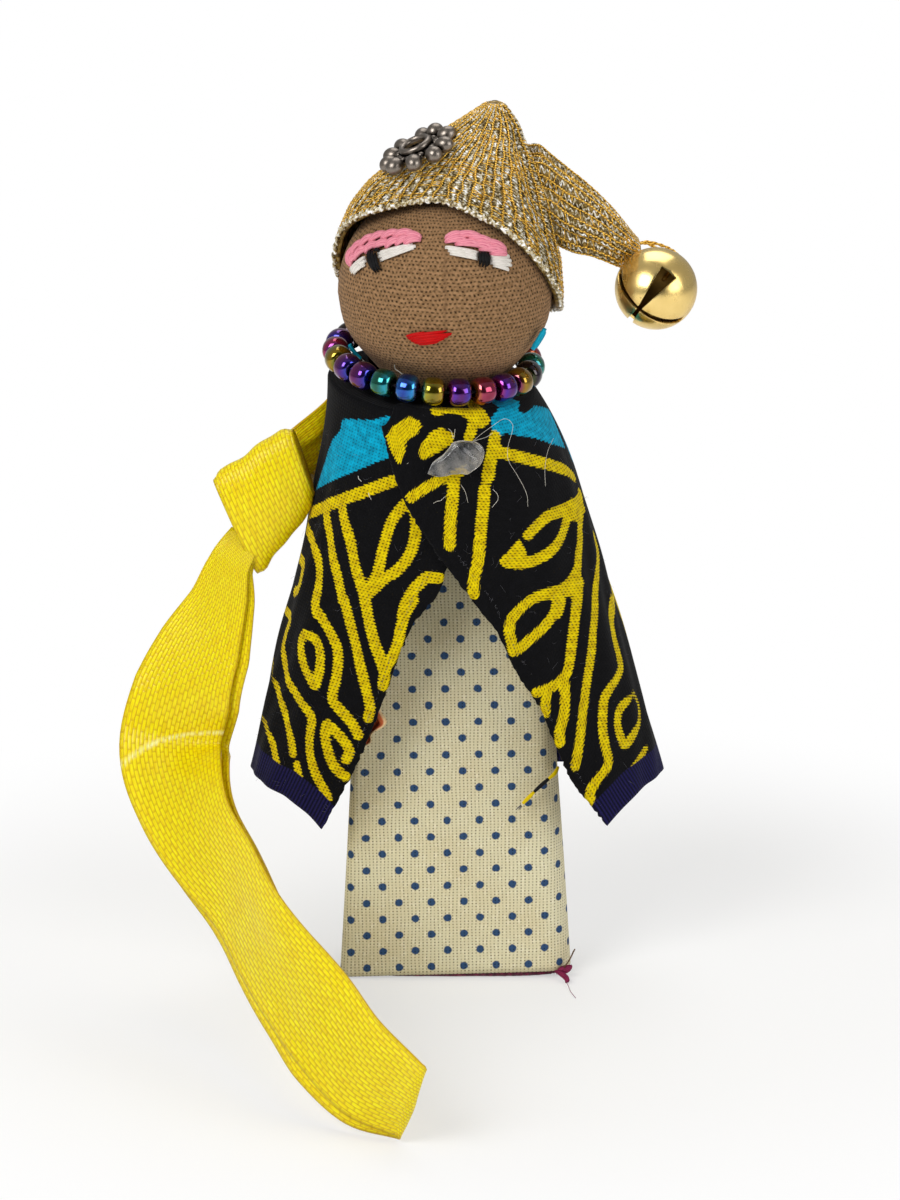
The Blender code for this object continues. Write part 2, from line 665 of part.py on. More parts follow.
def build_dress(parts):
    look = material("ecru ribbed cotton", "CFC3A4", 0.9)
    outline = dress_outline(0, 0)
    half_width = DRESS_WIDTH_AT_HEM / 2

    def place(around, up):
        index = min(round(around * len(outline)), len(outline)) % len(outline)
        x = outline[index][0]
        hem = DRESS_HEM_LEFT + (DRESS_HEM_RIGHT - DRESS_HEM_LEFT) * (x + half_width) / (2 * half_width)
        height = hem + (DRESS_HEIGHT - hem) * up
        x, y = dress_outline(height, 0)[index]
        return Vector((lean_at(height) + x, y, height))

    bm = bmesh.new()
    bmesh.ops.create_grid(bm, x_segments=len(outline), y_segments=DRESS_ROWS, size=1)
    for vertex in bm.verts:
        vertex.co = place((vertex.co.x + 1) / 2, (vertex.co.y + 1) / 2)
    bmesh.ops.remove_doubles(bm, verts=bm.verts, dist=MERGE_DISTANCE)
    bmesh.ops.recalc_face_normals(bm, faces=bm.faces)
    dress = from_bmesh("dress", bm, look, parts)
    solidify(dress, DRESS_WALL, -1)


def build_cape(parts):
    look = material("wax print cotton", "141118", 0.7)
    rows = len(CAPE_ROW_SHARES) - 1
    sheet("cape", CAPE_COLUMNS, rows, cape_place, CAPE_THICKNESS, look, parts)


def build_glue(parts):
    look = material("clear glue", "B9B6A6", 0.25)
    bm = bmesh.new()
    bmesh.ops.create_uvsphere(bm, u_segments=16, v_segments=10, radius=1)
    half_sizes = (GLUE_LENGTH / 2, GLUE_THICKNESS / 2, GLUE_HEIGHT / 2)
    bmesh.ops.scale(bm, vec=half_sizes, verts=bm.verts)
    blob = from_bmesh("glue_blob", bm, look, parts)
    lift = CAPE_THICKNESS / 2 + GAP + GLUE_THICKNESS / 2
    blob.location = cape_surface(GLUE_DEGREES, WELL_FLOOR - GLUE_BELOW_NECK, lift)
    blob.rotation_euler = (0, -math.radians(GLUE_RISE_DEGREES), 0)


def build_scrap(parts):
    look = material("rust cotton scrap", "A4522C", 0.85)
    start, end = SCRAP_DEGREES

    def place(across, up):
        degrees = start + (end - start) * across
        height = DRESS_HEIGHT * (SCRAP_BOTTOM_SHARE + (SCRAP_TOP_SHARE - SCRAP_BOTTOM_SHARE) * up)
        pleat = SCRAP_PLEAT_DEPTH * (1 - math.cos(2 * math.pi * SCRAP_PLEATS * across)) / 2
        inward = CAPE_THICKNESS / 2 + GAP + SCRAP_THICKNESS / 2 + pleat
        return cape_surface(degrees, height, -inward)

    sheet("cloth_scrap", 4 * SCRAP_PLEATS, 3, place, SCRAP_THICKNESS, look, parts)


# Head


def build_head(parts):
    skin_look = material("brown stocking", "6B4A33", 0.75)
    fill_look = material("cotton filling", "D8D0C0", 0.95)
    outside = [(radius, height) for height, radius in reversed(head_profile())]
    skin = turned("head_skin", outside, 28, skin_look, parts)
    skin.location = HEAD_CENTRE
    solidify(skin, SKIN_WALL, -1)
    shrink = 1 - (SKIN_WALL + GAP) / HEAD_RADIUS
    stem = outside[-1][0] - SKIN_WALL - GAP
    foot = WELL_FLOOR + GAP - HEAD_CENTRE.z
    inside = [(shrink * radius, shrink * height) for radius, height in outside]
    inside += [(stem, inside[-1][1]), (stem, foot), (0, foot)]
    filling = turned("head_stuffing", inside, 20, fill_look, parts)
    filling.location = HEAD_CENTRE
    level, reach = neck_thread_place()
    angles = [2 * math.pi * step / 24 for step in range(24)]
    ring = [
        Vector((HEAD_CENTRE.x + reach * math.cos(angle), HEAD_CENTRE.y + reach * math.sin(angle), level))
        for angle in angles
    ]
    thread_look = material("brown thread", "4A2C20", 0.7)
    tube("neck_thread", ring, NECK_THREAD_RADIUS, thread_look, parts, closed=True)


def stitched_patch(name, shares, width, fullness, lift, look, parts):
    """A flat stitched shape along a line on the face; fullness gives its width at each point of the line."""
    line = smooth_route([Vector((*pair, 0)) for pair in shares], 3)
    length = len(line) - 1

    def place(across, along):
        index = round(along * length)
        here = line[index]
        ahead = line[min(index + 1, length)] - line[max(index - 1, 0)]
        side = Vector((-ahead.y, ahead.x, 0)).normalized()
        spread = float(np.interp(along * (len(fullness) - 1), range(len(fullness)), fullness))
        offset = side * (across - 0.5) * width / HEAD_RADIUS * spread
        middle = lift + EYE_STITCH_THICKNESS / 2
        return face_point((here.x + offset.x, here.y + offset.y), middle)

    sheet(name, 2, length, place, EYE_STITCH_THICKNESS, look, parts)


def build_face(parts):
    cord = material("pink twisted floss", "D9809A", 0.6)
    white = material("white stitching", "D9D6CE", 0.7)
    dark = material("black stitching", "0D0B0B", 0.5)
    red = material("red stitching", "A31621", 0.45)
    lids = (("eyelid_left", EYELID_LEFT_SHARES), ("eyelid_right", EYELID_RIGHT_SHARES))
    for name, shares in lids:
        line = [face_point(pair, GAP + EYELID_CORD_RADIUS) for pair in shares]
        tube(name, smooth_route(line, 3), EYELID_CORD_RADIUS, cord, parts)
    over_white = GAP + EYE_STITCH_THICKNESS + GAP
    whites = (EYE_WHITE_WIDTH, EYE_WHITE_FULLNESS_SHARES, GAP, white, parts)
    pupils = (PUPIL_WIDTH, PUPIL_FULLNESS_SHARES, over_white, dark, parts)
    stitched_patch("eye_white_left", EYE_WHITE_LEFT_SHARES, *whites)
    stitched_patch("eye_white_right", EYE_WHITE_RIGHT_SHARES, *whites)
    stitched_patch("pupil_left", PUPIL_LEFT_SHARES, *pupils)
    stitched_patch("pupil_right", PUPIL_RIGHT_SHARES, *pupils)
    stitched_patch("mouth", MOUTH_SHARES, MOUTH_WIDTH, MOUTH_FULLNESS_SHARES, GAP, red, parts)


# Hat, its tail and the charm


def hat_point(rise, angle):
    """The crown's outer surface at this rise above the head's centre."""
    shares, *sides = zip(*HAT_SECTION_SHARES)
    share = rise / HAT_PEAK_RISE
    left, right, front, back = (HAT_RADIUS * float(np.interp(share, shares, side)) for side in sides)
    across = (left + right) / 2 + (right - left) / 2 * math.cos(angle)
    depth = back if math.sin(angle) > 0 else front
    return HEAD_CENTRE + Vector((across, depth * math.sin(angle), rise))


def hat_rings():
    """Rings from the brim, which is high in front and low behind, up to the level peak."""
    angles = [2 * math.pi * step / HAT_SEGMENTS - math.pi for step in range(HAT_SEGMENTS)]
    brims = [HEAD_RADIUS * share_at(HAT_BRIM_SHARES, math.degrees(angle)) for angle in angles]
    rings = []
    for step in range(HAT_RINGS + 1):
        share = step / HAT_RINGS
        rises = [brim + (HAT_PEAK_RISE - brim) * share for brim in brims]
        rings.append([hat_point(rise, angle) for rise, angle in zip(rises, angles)])
    axis = [Vector((HEAD_CENTRE.x, HEAD_CENTRE.y, point.z)) for point in rings[0]]
    lining = [point.lerp(inward, HAT_LINING_SHARE) for point, inward in zip(rings[0], axis)]
    middle = sum(lining, Vector()) / len(lining)
    inmost = [middle.lerp(point, HAT_LINING_SHARE) for point in lining]
    return [inmost, lining, *rings]


def build_hat(parts, cutters):
    look = material("gold knit", "B08A32", 0.6)
    crown = from_bmesh("hat_crown", loft(hat_rings()), look, parts)

    head_room = [(radius, height) for height, radius in reversed(head_profile())]
    grow = 1 + GAP / HEAD_RADIUS
    room = [(grow * radius, grow * height) for radius, height in head_room]
    inside = turned("head room", [*room, (0, room[-1][1])], 40, None, cutters)
    inside.location = HEAD_CENTRE
    inside.hide_render = True
    inside.display_type = "WIRE"
    boolean(crown, inside, "DIFFERENCE")

    socket = bmesh.new()
    bmesh.ops.create_uvsphere(
        socket,
        u_segments=28,
        v_segments=16,
        radius=TAIL_ROOT_RADIUS + TAIL_SOCKET_CLEARANCE,
        matrix=Matrix.Translation(TAIL_ROOT),
    )
    boolean(crown, add_cutter("tail socket", socket, cutters), "DIFFERENCE")


def build_tail(parts, carrier):
    look = material("gathered gold knit", "A67F2A", 0.6)
    route = smooth_route([TAIL_ROOT + TAIL_LENGTH * Vector(shares) for shares in TAIL_ROUTE_SHARES], 4)
    along = np.linspace(0, len(TAIL_RADIUS_SHARES) - 1, len(route))
    radii = np.interp(along, range(len(TAIL_RADIUS_SHARES)), TAIL_RADIUS_SHARES)
    first = (route[1] - route[0]).normalized()
    stations = []
    for degrees in TAIL_DOME_DEGREES:
        angle = math.radians(degrees)
        back = TAIL_ROOT_RADIUS * math.cos(angle)
        stations.append((route[0] - first * back, first, TAIL_ROOT_RADIUS * math.sin(angle), 0))
    for index, (point, share) in enumerate(zip(route, radii)):
        ahead = (route[min(index + 1, len(route) - 1)] - route[max(index - 1, 0)]).normalized()
        pleat = TAIL_PLEAT_SHARE * smoothstep(index / 4)
        stations.append((point, ahead, float(share) * TAIL_ROOT_RADIUS, pleat))
    point, ahead, radius, pleat = stations[-1]
    stations.append((point + ahead * GAP, ahead, radius - GAP, pleat))
    rings = []
    for point, ahead, radius, pleat in stations:
        across = (Vector((0, 1, 0)) - ahead * ahead.y).normalized()
        up = ahead.cross(across)
        ring = []
        for step in range(TAIL_SEGMENTS):
            angle = 2 * math.pi * step / TAIL_SEGMENTS
            reach = radius * (1 - pleat * (1 - math.cos(TAIL_PLEATS * angle)))
            ring.append(point + reach * (across * math.cos(angle) + up * math.sin(angle)))
        rings.append(ring)
    tail = from_bmesh("hat_tail", loft(rings), look, parts)
    hang_on(tail, carrier, TAIL_ROOT)


def spheres(radius, places, around, along):
    bm = bmesh.new()
    for place in places:
        bmesh.ops.create_uvsphere(
            bm, u_segments=around, v_segments=along, radius=radius, matrix=Matrix.Translation(place)
        )
    return bm


def charm_petals(angles):
    """Stems out from the ring, each with a ball at its end."""
    start = math.asin(CHARM_STEM_TIP / CHARM_BALL_RADIUS)
    profile = [(CHARM_RING_RADIUS, 0), (CHARM_RING_RADIUS, CHARM_STEM_ROOT)]
    for step in range(6):
        angle = start + (math.pi - start) * step / 5
        along = CHARM_BALL_CIRCLE - CHARM_BALL_RADIUS * math.cos(angle)
        profile.append((along, CHARM_BALL_RADIUS * math.sin(angle)))
    bm = bmesh.new()
    for angle in angles:
        earlier = set(bm.verts)
        points = [bm.verts.new((along, 0, radius)) for along, radius in profile]
        edges = [bm.edges.new(pair) for pair in zip(points, points[1:])]
        bmesh.ops.spin(
            bm,
            geom=points + edges,
            cent=(0, 0, 0),
            axis=(1, 0, 0),
            angle=2 * math.pi,
            steps=8,
            use_merge=True,
        )
        petal = [vertex for vertex in bm.verts if vertex not in earlier]
        bmesh.ops.rotate(bm, verts=petal, cent=(0, 0, 0), matrix=Matrix.Rotation(angle, 3, "Z"))
    bmesh.ops.remove_doubles(bm, verts=bm.verts, dist=MERGE_DISTANCE)
    bmesh.ops.recalc_face_normals(bm, faces=bm.faces)
    return bm


def build_charm(parts, cutters):
    """A ring with stems out to ten balls, and a grain of metal between each two stems."""
    look = material("antique pewter", "8C8A86", 0.3, 1.0)
    normal = Vector(CHARM_NORMAL_SHARES).normalized()
    long_axis = Vector(CHARM_LONG_AXIS_SHARES)
    long_axis = (long_axis - normal * long_axis.dot(normal)).normalized()
    turn = Matrix((long_axis, normal.cross(long_axis), normal)).transposed().to_4x4()
    seat = hat_point(CHARM_RISE, math.pi + math.radians(CHARM_TURN_DEGREES))
    frame = Matrix.Translation(seat + normal * (CHARM_BALL_RADIUS + GAP + CHARM_LIFT)) @ turn

    profile = []
    for step in range(6):
        angle = math.radians(90 - 60 * step)
        reach = CHARM_RING_RADIUS + CHARM_RING_WIRE * math.cos(angle)
        profile.append((reach, CHARM_RING_WIRE * math.sin(angle)))
    charm = turned("flower_charm", profile, 18, look, parts, closed=True)
    charm.matrix_world = frame

    angles = [2 * math.pi * step / CHARM_BALL_COUNT for step in range(CHARM_BALL_COUNT)]
    grain_reach = CHARM_RING_RADIUS + CHARM_RING_WIRE + CHARM_GRAIN_RADIUS / 2
    half = math.pi / CHARM_BALL_COUNT
    grains = [
        (grain_reach * math.cos(angle + half), grain_reach * math.sin(angle + half), 0) for angle in angles
    ]
    pieces = (
        ("charm petals", charm_petals(angles)),
        ("charm grains", spheres(CHARM_GRAIN_RADIUS, grains, 7, 5)),
    )
    for name, bm in pieces:
        piece = add_cutter(name, bm, cutters)
        piece.matrix_world = frame
        boolean(charm, piece, "UNION")


# Bell


def bell_frame():
    """The bell's own frame: +Z out through its eye, and the first slit in its XZ plane."""
    up = -Vector(BELL_POLE_SHARES).normalized()
    face = Vector(BELL_SLIT_FACE_SHARES)
    face = (face - up * face.dot(up)).normalized()
    return Matrix.Translation(BELL_CENTRE) @ Matrix((face, up.cross(face), up)).transposed().to_4x4()


def slit_cutter(turn):
    """A band over the bell's pole, which widens evenly to square ends."""
    rings = []
    for step in range(-SLIT_STEPS, SLIT_STEPS + 1):
        share = step / SLIT_STEPS
        angle = math.radians(SLIT_REACH_DEGREES) * share
        half = (SLIT_AT_POLE + (SLIT_AT_END - SLIT_AT_POLE) * abs(share)) / 2
        out = Vector((math.sin(angle), 0, -math.cos(angle)))
        reaches = (BELL_RADIUS - BELL_WALL - CUT_OVERRUN, BELL_RADIUS + CUT_OVERRUN)
        corners = ((reaches[0], -half), (reaches[1], -half), (reaches[1], half), (reaches[0], half))
        rings.append([out * reach + Vector((0, width, 0)) for reach, width in corners])
    bm = loft(rings)
    bmesh.ops.rotate(bm, verts=bm.verts, cent=(0, 0, 0), matrix=Matrix.Rotation(turn, 3, "Z"))
    return bm


def build_bell(parts, cutters, sway, swing, roll, places):
    brass = material("satin brass", "B8923A", 0.35, 1.0)
    steel = material("brass wire", "A98540", 0.35, 1.0)
    frame = bell_frame()
    eye_hole = SHANK_HALF_WIDTH + SHANK_WIRE + GAP
    start = math.asin(eye_hole / BELL_RADIUS)
    angles = [start + (math.pi - start) * step / BELL_RINGS for step in range(BELL_RINGS)]
    profile = [(BELL_RADIUS * math.sin(angle), BELL_RADIUS * math.cos(angle)) for angle in angles]
    shell = turned("bell_shell", [*profile, (0, -BELL_RADIUS)], BELL_SEGMENTS, brass, parts)
    solidify(shell, BELL_WALL, -1)
    for index in range(2):
        cutter = add_cutter(f"bell slit {index + 1}", slit_cutter(math.radians(90 * index)), cutters)
        cutter.matrix_world = frame
        boolean(shell, cutter, "DIFFERENCE")

    foot = SHANK_HALF_WIDTH + SHANK_FLARE
    inner = BELL_RADIUS - BELL_WALL - GAP - SHANK_WIRE
    foot_height = math.sqrt(inner**2 - (foot + SHANK_WIRE) ** 2) - SHANK_WIRE / 2
    neck_height = foot_height + SHANK_WIRE
    arch_height = BELL_RADIUS + SHANK_STAND
    arch = [math.pi * (1 - step / 8) for step in range(9)]
    wire = [Vector((-foot, 0, foot_height)), Vector((-SHANK_HALF_WIDTH, 0, neck_height))]
    wire += [
        Vector((SHANK_HALF_WIDTH * math.cos(angle), 0, arch_height + SHANK_HALF_WIDTH * math.sin(angle)))
        for angle in arch
    ]
    wire += [Vector((SHANK_HALF_WIDTH, 0, neck_height)), Vector((foot, 0, foot_height))]
    shank = tube("bell_shank", wire, SHANK_WIRE, steel, parts)

    pellet = from_bmesh("bell_pellet", spheres(PELLET_RADIUS, [(0, 0, 0)], 14, 9), steel, parts)
    drop = BELL_RADIUS - BELL_WALL - GAP - PELLET_RADIUS
    pellet.location = BELL_CENTRE - Vector((0, 0, drop))

    gold = material("gold thread", "C79A3A", 0.5)
    route = [BELL_RADIUS * Vector(shares) for shares in BELL_THREAD_SHARES]
    thread = tube("bell_thread", smooth_route(route, 2), BELL_THREAD_RADIUS, gold, parts)
    for obj in (shell, shank, thread):
        obj.matrix_world = frame
    hang_on(thread, sway, places["sway"])
    hang_on(shell, swing, places["swing"])
    hang_on(shank, swing, places["swing"])
    hang_on(pellet, roll, BELL_CENTRE)


# Necklace


def build_necklace(parts, carrier):
    string_look = material("black bead string", "1A1716", 0.6)
    looks = (
        material("purple glass", "5E2A70", 0.2),
        material("teal glass", "1C6470", 0.2),
        material("olive gold glass", "857A2E", 0.2),
        material("magenta glass", "96345F", 0.2),
    )
    angles = [2 * math.pi * step / 36 for step in range(36)]
    circle = [necklace_point(angle) for angle in angles]
    string = tube("necklace_string", circle, STRING_RADIUS, string_look, parts, closed=True)
    hang_on(string, carrier, NECKLACE_CENTRE)
    hole = STRING_RADIUS + STRING_CLEARANCE
    half = BEAD_LENGTH / 2
    outer = [(BEAD_RADIUS * radius, half * height) for radius, height in BEAD_PROFILE_SHARES]
    profile = [(hole, half), *outer, (hole, -half)]
    for index in range(BEAD_COUNT):
        look = looks[BEAD_LOOKS[index]]
        bead = turned(f"bead_{index + 1:02d}", profile, 12, look, parts, closed=True)
        turn = Matrix.Rotation(2 * math.pi * index / BEAD_COUNT, 4, "Z")
        along = Matrix.Rotation(math.radians(90), 4, "Y")
        bead.matrix_world = NECKLACE_FRAME @ turn @ Matrix.Translation((0, -NECKLACE_RADIUS, 0)) @ along
        hang_on(bead, carrier, NECKLACE_CENTRE)


# Ribbon


def strap_end():
    """The middle of the strap's end, which lies flat behind the knot."""
    behind = KNOT_THICKNESS / 2 + GAP + STRAP_THICKNESS / 2
    across, up = STRAP_END_SHARES
    return KNOT_CENTRE + Vector((across * KNOT_SIZE, behind, up * KNOT_SIZE))


def build_strap(look, parts):
    """A band drawn in from the ribbon, round the back of the left shoulder and down behind the knot."""
    lift = CAPE_THICKNESS / 2 + GAP + STRAP_EASE + STRAP_THICKNESS / 2
    level = DRESS_HEIGHT + STRAP_ABOVE_DRESS_TOP
    middles = [cape_surface(angle, level, lift) for angle in STRAP_ANGLES]
    uppers = [
        cape_surface(angle, level + STRAP_WIDTH / 2, lift) - middle
        for angle, middle in zip(STRAP_ANGLES, middles)
    ]
    end = strap_end()
    flat = Vector((-KNOT_CORNER_SHARES[1][1], 0, -KNOT_CORNER_SHARES[0][0])).normalized()
    flat *= STRAP_END_WIDTH_SHARE * STRAP_WIDTH / 2
    share_back, share_up = STRAP_LEAVING_SHARES
    leaving = middles[-1].lerp(end, share_back)
    leaving.z = end.z + (middles[-1].z - end.z) * share_up
    middles += [leaving, end]
    uppers += [uppers[-1].lerp(flat, share_back), flat]
    line = smooth_route(middles, 3)
    sides = smooth_route(uppers, 3)

    def place(across, along):
        index = round(along * (len(line) - 1))
        return line[index] + sides[index] * (2 * across - 1)

    sheet("ribbon_strap", 2, len(line) - 1, place, STRAP_THICKNESS, look, parts)


def build_knot(look, parts, carrier, place):
    """One turn of ribbon pulled tight: a fat roll that shows the ribbon's width."""
    corners = [KNOT_CENTRE + KNOT_SIZE * Vector((across, 0, up)) for across, up in KNOT_CORNER_SHARES]
    rings = []
    for across, tall, thick in KNOT_ROLL_SHARES:
        top = corners[0].lerp(corners[1], across)
        foot = corners[3].lerp(corners[2], across)
        ring = []
        for step in range(KNOT_SEGMENTS):
            angle = 2 * math.pi * step / KNOT_SEGMENTS
            bulge = math.copysign(abs(math.sin(angle)) ** KNOT_BOXY_POWER, math.sin(angle))
            middle = top.lerp(foot, (1 - tall * math.cos(angle)) / 2)
            ring.append(middle - Vector((0, thick * bulge * KNOT_THICKNESS / 2, 0)))
        rings.append(ring)
    knot = from_bmesh("ribbon_knot", loft(rings), look, parts)
    hang_on(knot, carrier, place)


def build_loop(look, parts, carrier):
    """The ribbon out to its end fold and back, in two layers on either side of one route."""
    first = Vector(LOOP_ROUTE_SHARES[0][0])
    points = [LOOP_START + LOOP_RUN * (Vector(shares) - first) for shares, _, _ in LOOP_ROUTE_SHARES]
    hints = [Vector(side) for _, side, _ in LOOP_ROUTE_SHARES]
    spreads = [spread for _, _, spread in LOOP_ROUTE_SHARES]
    last = len(points) - 1
    stations = []
    for index, point in enumerate(points):
        ahead = (points[min(index + 1, last)] - points[max(index - 1, 0)]).normalized()
        side = (hints[index] - ahead * hints[index].dot(ahead)).normalized()
        half_width = side * spreads[index] * RIBBON_WIDTH / 2
        layer = ahead.cross(side) * RIBBON_LAYER_SPACING / 2
        stations.append((point, half_width, layer, ahead))
    rows = [(point - layer, half) for point, half, layer, _ in stations]
    point, half, layer, ahead = stations[-1]
    rows.append((point + ahead * layer.length, half))
    rows += [(point + layer, half) for point, half, layer, _ in reversed(stations)]

    def lay(across, along):
        middle, half_width = rows[round(along * (len(rows) - 1))]
        return middle + half_width * (2 * across - 1)

    loop = sheet("ribbon_loop", 4, len(rows) - 1, lay, RIBBON_THICKNESS, look, parts)
    hang_on(loop, carrier, LOOP_START)


def build_doll():
    clear_scene()
    parts = new_collection("yarn doll")
    cutters = new_collection("cutters")

    frame = bell_frame()
    eye = frame @ Vector((0, 0, BELL_RADIUS + SHANK_STAND))
    root = frame @ (BELL_RADIUS * Vector(BELL_THREAD_SHARES[0]))
    swing_place = strap_end()
    necklace_turn = pivot("necklace_turn", NECKLACE_CENTRE, parts)
    tail_flop = pivot("hat_tail_flop", TAIL_ROOT, parts)
    bell_sway = pivot("bell_sway", root, parts)
    bell_swing = pivot("bell_swing", eye, parts)
    pellet_roll = pivot("pellet_roll", BELL_CENTRE, parts)
    ribbon_swing = pivot("ribbon_swing", swing_place, parts)
    loop_lift = pivot("loop_lift", LOOP_START, parts)
    hang_on(bell_sway, tail_flop, TAIL_ROOT)
    hang_on(bell_swing, bell_sway, root)
    hang_on(pellet_roll, bell_swing, eye)
    hang_on(loop_lift, ribbon_swing, swing_place)

    build_base(parts)
    build_core(parts, cutters)
    build_dress(parts)
    build_cape(parts)
    build_glue(parts)
    build_scrap(parts)
    build_head(parts)
    build_face(parts)
    build_hat(parts, cutters)
    build_tail(parts, tail_flop)
    build_charm(parts, cutters)
    build_bell(parts, cutters, bell_sway, bell_swing, pellet_roll, {"sway": root, "swing": eye})
    build_necklace(parts, necklace_turn)
    satin = material("yellow satin", "E2BE08", 0.45)
    build_strap(satin, parts)
    build_knot(satin, parts, ribbon_swing, swing_place)
    build_loop(satin, parts, loop_lift)


build_doll()
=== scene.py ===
import math

import bmesh
import bpy
import numpy as np
from mathutils import Matrix, Vector, noise


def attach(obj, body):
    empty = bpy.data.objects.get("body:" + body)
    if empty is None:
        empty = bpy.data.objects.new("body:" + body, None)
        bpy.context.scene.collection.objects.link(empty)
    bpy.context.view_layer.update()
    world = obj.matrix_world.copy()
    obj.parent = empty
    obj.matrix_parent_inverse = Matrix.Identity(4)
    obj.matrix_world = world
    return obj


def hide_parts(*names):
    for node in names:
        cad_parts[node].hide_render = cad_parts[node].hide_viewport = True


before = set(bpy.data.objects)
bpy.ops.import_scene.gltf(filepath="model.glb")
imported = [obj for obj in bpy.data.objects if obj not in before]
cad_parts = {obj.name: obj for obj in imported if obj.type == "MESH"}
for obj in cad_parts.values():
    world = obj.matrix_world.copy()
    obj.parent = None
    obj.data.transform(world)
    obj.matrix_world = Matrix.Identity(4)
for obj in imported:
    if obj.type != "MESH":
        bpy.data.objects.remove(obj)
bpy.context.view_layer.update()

# yarn doll: cloth, floss, ribbon, beads and a little brass bell over the CAD frame
# measurements in the dictionaries are in millimetres unless a note says otherwise

mm = 0.001
print("doll: frame loaded,", len(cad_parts), "nodes")


def linearColour(hexColour):
    channels = []
    for i in (0, 2, 4):
        value = int(hexColour[i : i + 2], 16) / 255
        channels.append(value / 12.92 if value <= 0.04045 else ((value + 0.055) / 1.055) ** 2.4)
    return (*channels, 1.0)


# settings: a dictionary, an operation's name, or a ramp's (place, shade) stops
# sockets: by name or in order; text is a hex colour
def addNode(tree, kind, settings=None, sockets=None, out=0):
    node = tree.nodes.new("ShaderNode" + kind)
    stops = settings if isinstance(settings, tuple) else ()
    if isinstance(settings, str):
        settings = {"operation": settings}
    for name, value in ({} if stops else settings or {}).items():
        setattr(node, name, value)
    for _ in stops[2:]:
        node.color_ramp.elements.new(0.5)
    for index, (place, shade) in enumerate(stops):
        element = node.color_ramp.elements[index]
        element.position = place
        element.color = linearColour(shade) if isinstance(shade, str) else (shade, shade, shade, 1)
    for name, value in sockets.items() if isinstance(sockets, dict) else enumerate(sockets or ()):
        if isinstance(value, bpy.types.NodeSocket):
            tree.links.new(value, node.inputs[name])
        else:
            node.inputs[name].default_value = linearColour(value) if isinstance(value, str) else value
    return node if out is None else node.outputs[out]


def newMaterial(name, **sockets):
    made = bpy.data.materials.new(name)
    made.use_nodes = True
    shader = made.node_tree.nodes["Principled BSDF"]
    for socket, value in sockets.items():
        label = socket.replace("_", " ")
        shader.inputs[label].default_value = linearColour(value) if isinstance(value, str) else value
    return made, made.node_tree, shader


def finishPiece(name, bm, material, body, replaces=(), smooth=True):
    mesh = bpy.data.meshes.new(name)
    bm.to_mesh(mesh)
    bm.free()
    if smooth:
        mesh.shade_smooth()
    return linkPiece(name, mesh, material, body, replaces)


def linkPiece(name, mesh, material, body, replaces=()):
    obj = bpy.data.objects.new(name, mesh)
    bpy.context.scene.collection.objects.link(obj)
    if material:
        mesh.materials.append(material)
    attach(obj, body)
    if replaces:
        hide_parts(*replaces)
    return obj


def applyModifiers(obj):
    graph = bpy.context.evaluated_depsgraph_get()
    mesh = bpy.data.meshes.new_from_object(obj.evaluated_get(graph))
    mesh.name = obj.name
    obj.modifiers.clear()
    obj.data = mesh
    return obj


def addSolidify(obj, thickness, offset=0.0):
    wall = obj.modifiers.new("thickness", "SOLIDIFY")
    wall.thickness = thickness * mm
    wall.offset = offset
    return wall


def smoothRoute(points, steps):
    points = [Vector(point) for point in points]
    ends = [2 * points[0] - points[1], *points, 2 * points[-1] - points[-2]]
    route = []
    for before, start, end, after in zip(ends, ends[1:], ends[2:], ends[3:]):
        for step in range(steps):
            t = step / steps
            bend = (3 * (start - end) + after - before) * t + (2 * before - 5 * start + 4 * end - after)
            route.append(start + 0.5 * t * ((end - before) + t * bend))
    return [*route, points[-1].copy()]


def smoothstep(value):
    held = np.clip(value, 0.0, 1.0)
    return held * held * (3 - 2 * held)


# a grid of columns by rows, each vertex moved to place(across, along) in mm, both from 0 to 1
def warpGrid(bm, columns, rows, place, uvSize=None):
    uvLayer = bm.loops.layers.uv.verify()
    made = bmesh.ops.create_grid(bm, x_segments=columns, y_segments=rows, size=1, calc_uvs=True)["verts"]
    for vertex in made:
        vertex.co = Vector(place((vertex.co.x + 1) / 2, (vertex.co.y + 1) / 2)) * mm
    if uvSize:
        for face in {face for vertex in made for face in vertex.link_faces}:
            for loop in face.loops:
                loop[uvLayer].uv = (loop[uvLayer].uv.x * uvSize[0], loop[uvLayer].uv.y * uvSize[1])
    return made


# a strand along points (mm): radii holds one radius, or a (wide, thick) pair, for each point; its ends close
def strand(bm, points, radii, sides=6, facing=None, closed=False):
    points = [Vector(point) for point in points]
    count = len(points)
    if not hasattr(radii, "__len__"):
        radii = [radii] * count
    pairs = [radius if hasattr(radius, "__len__") else (radius, radius) for radius in radii]
    frames = []
    up = None
    for index in range(count):
        before = points[index - 1] if closed or index else points[0]
        after = points[(index + 1) % count] if closed else points[min(index + 1, count - 1)]
        ahead = (after - before).normalized()
        hint = facing[index] if isinstance(facing, list) else facing
        hint = hint or up or Vector((0.29, -0.9, 0.33))
        up = hint - ahead * hint.dot(ahead)
        up = up.normalized() if up.length > 1e-6 else ahead.orthogonal().normalized()
        frames.append((points[index], ahead.cross(up) * pairs[index][0], up * pairs[index][1]))
    if closed:
        frames.append(frames[0])
    else:
        frames = [(frames[0][0], Vector(), Vector()), *frames, (frames[-1][0], Vector(), Vector())]
    rows = len(frames) - 1
    length = sum((b[0] - a[0]).length for a, b in zip(frames, frames[1:]))

    def place(around, along):
        middle, across, out = frames[round(along * rows)]
        angle = -2 * math.pi * around
        return middle + across * math.cos(angle) + out * math.sin(angle)

    return warpGrid(bm, sides, rows, place, (1.0, length))


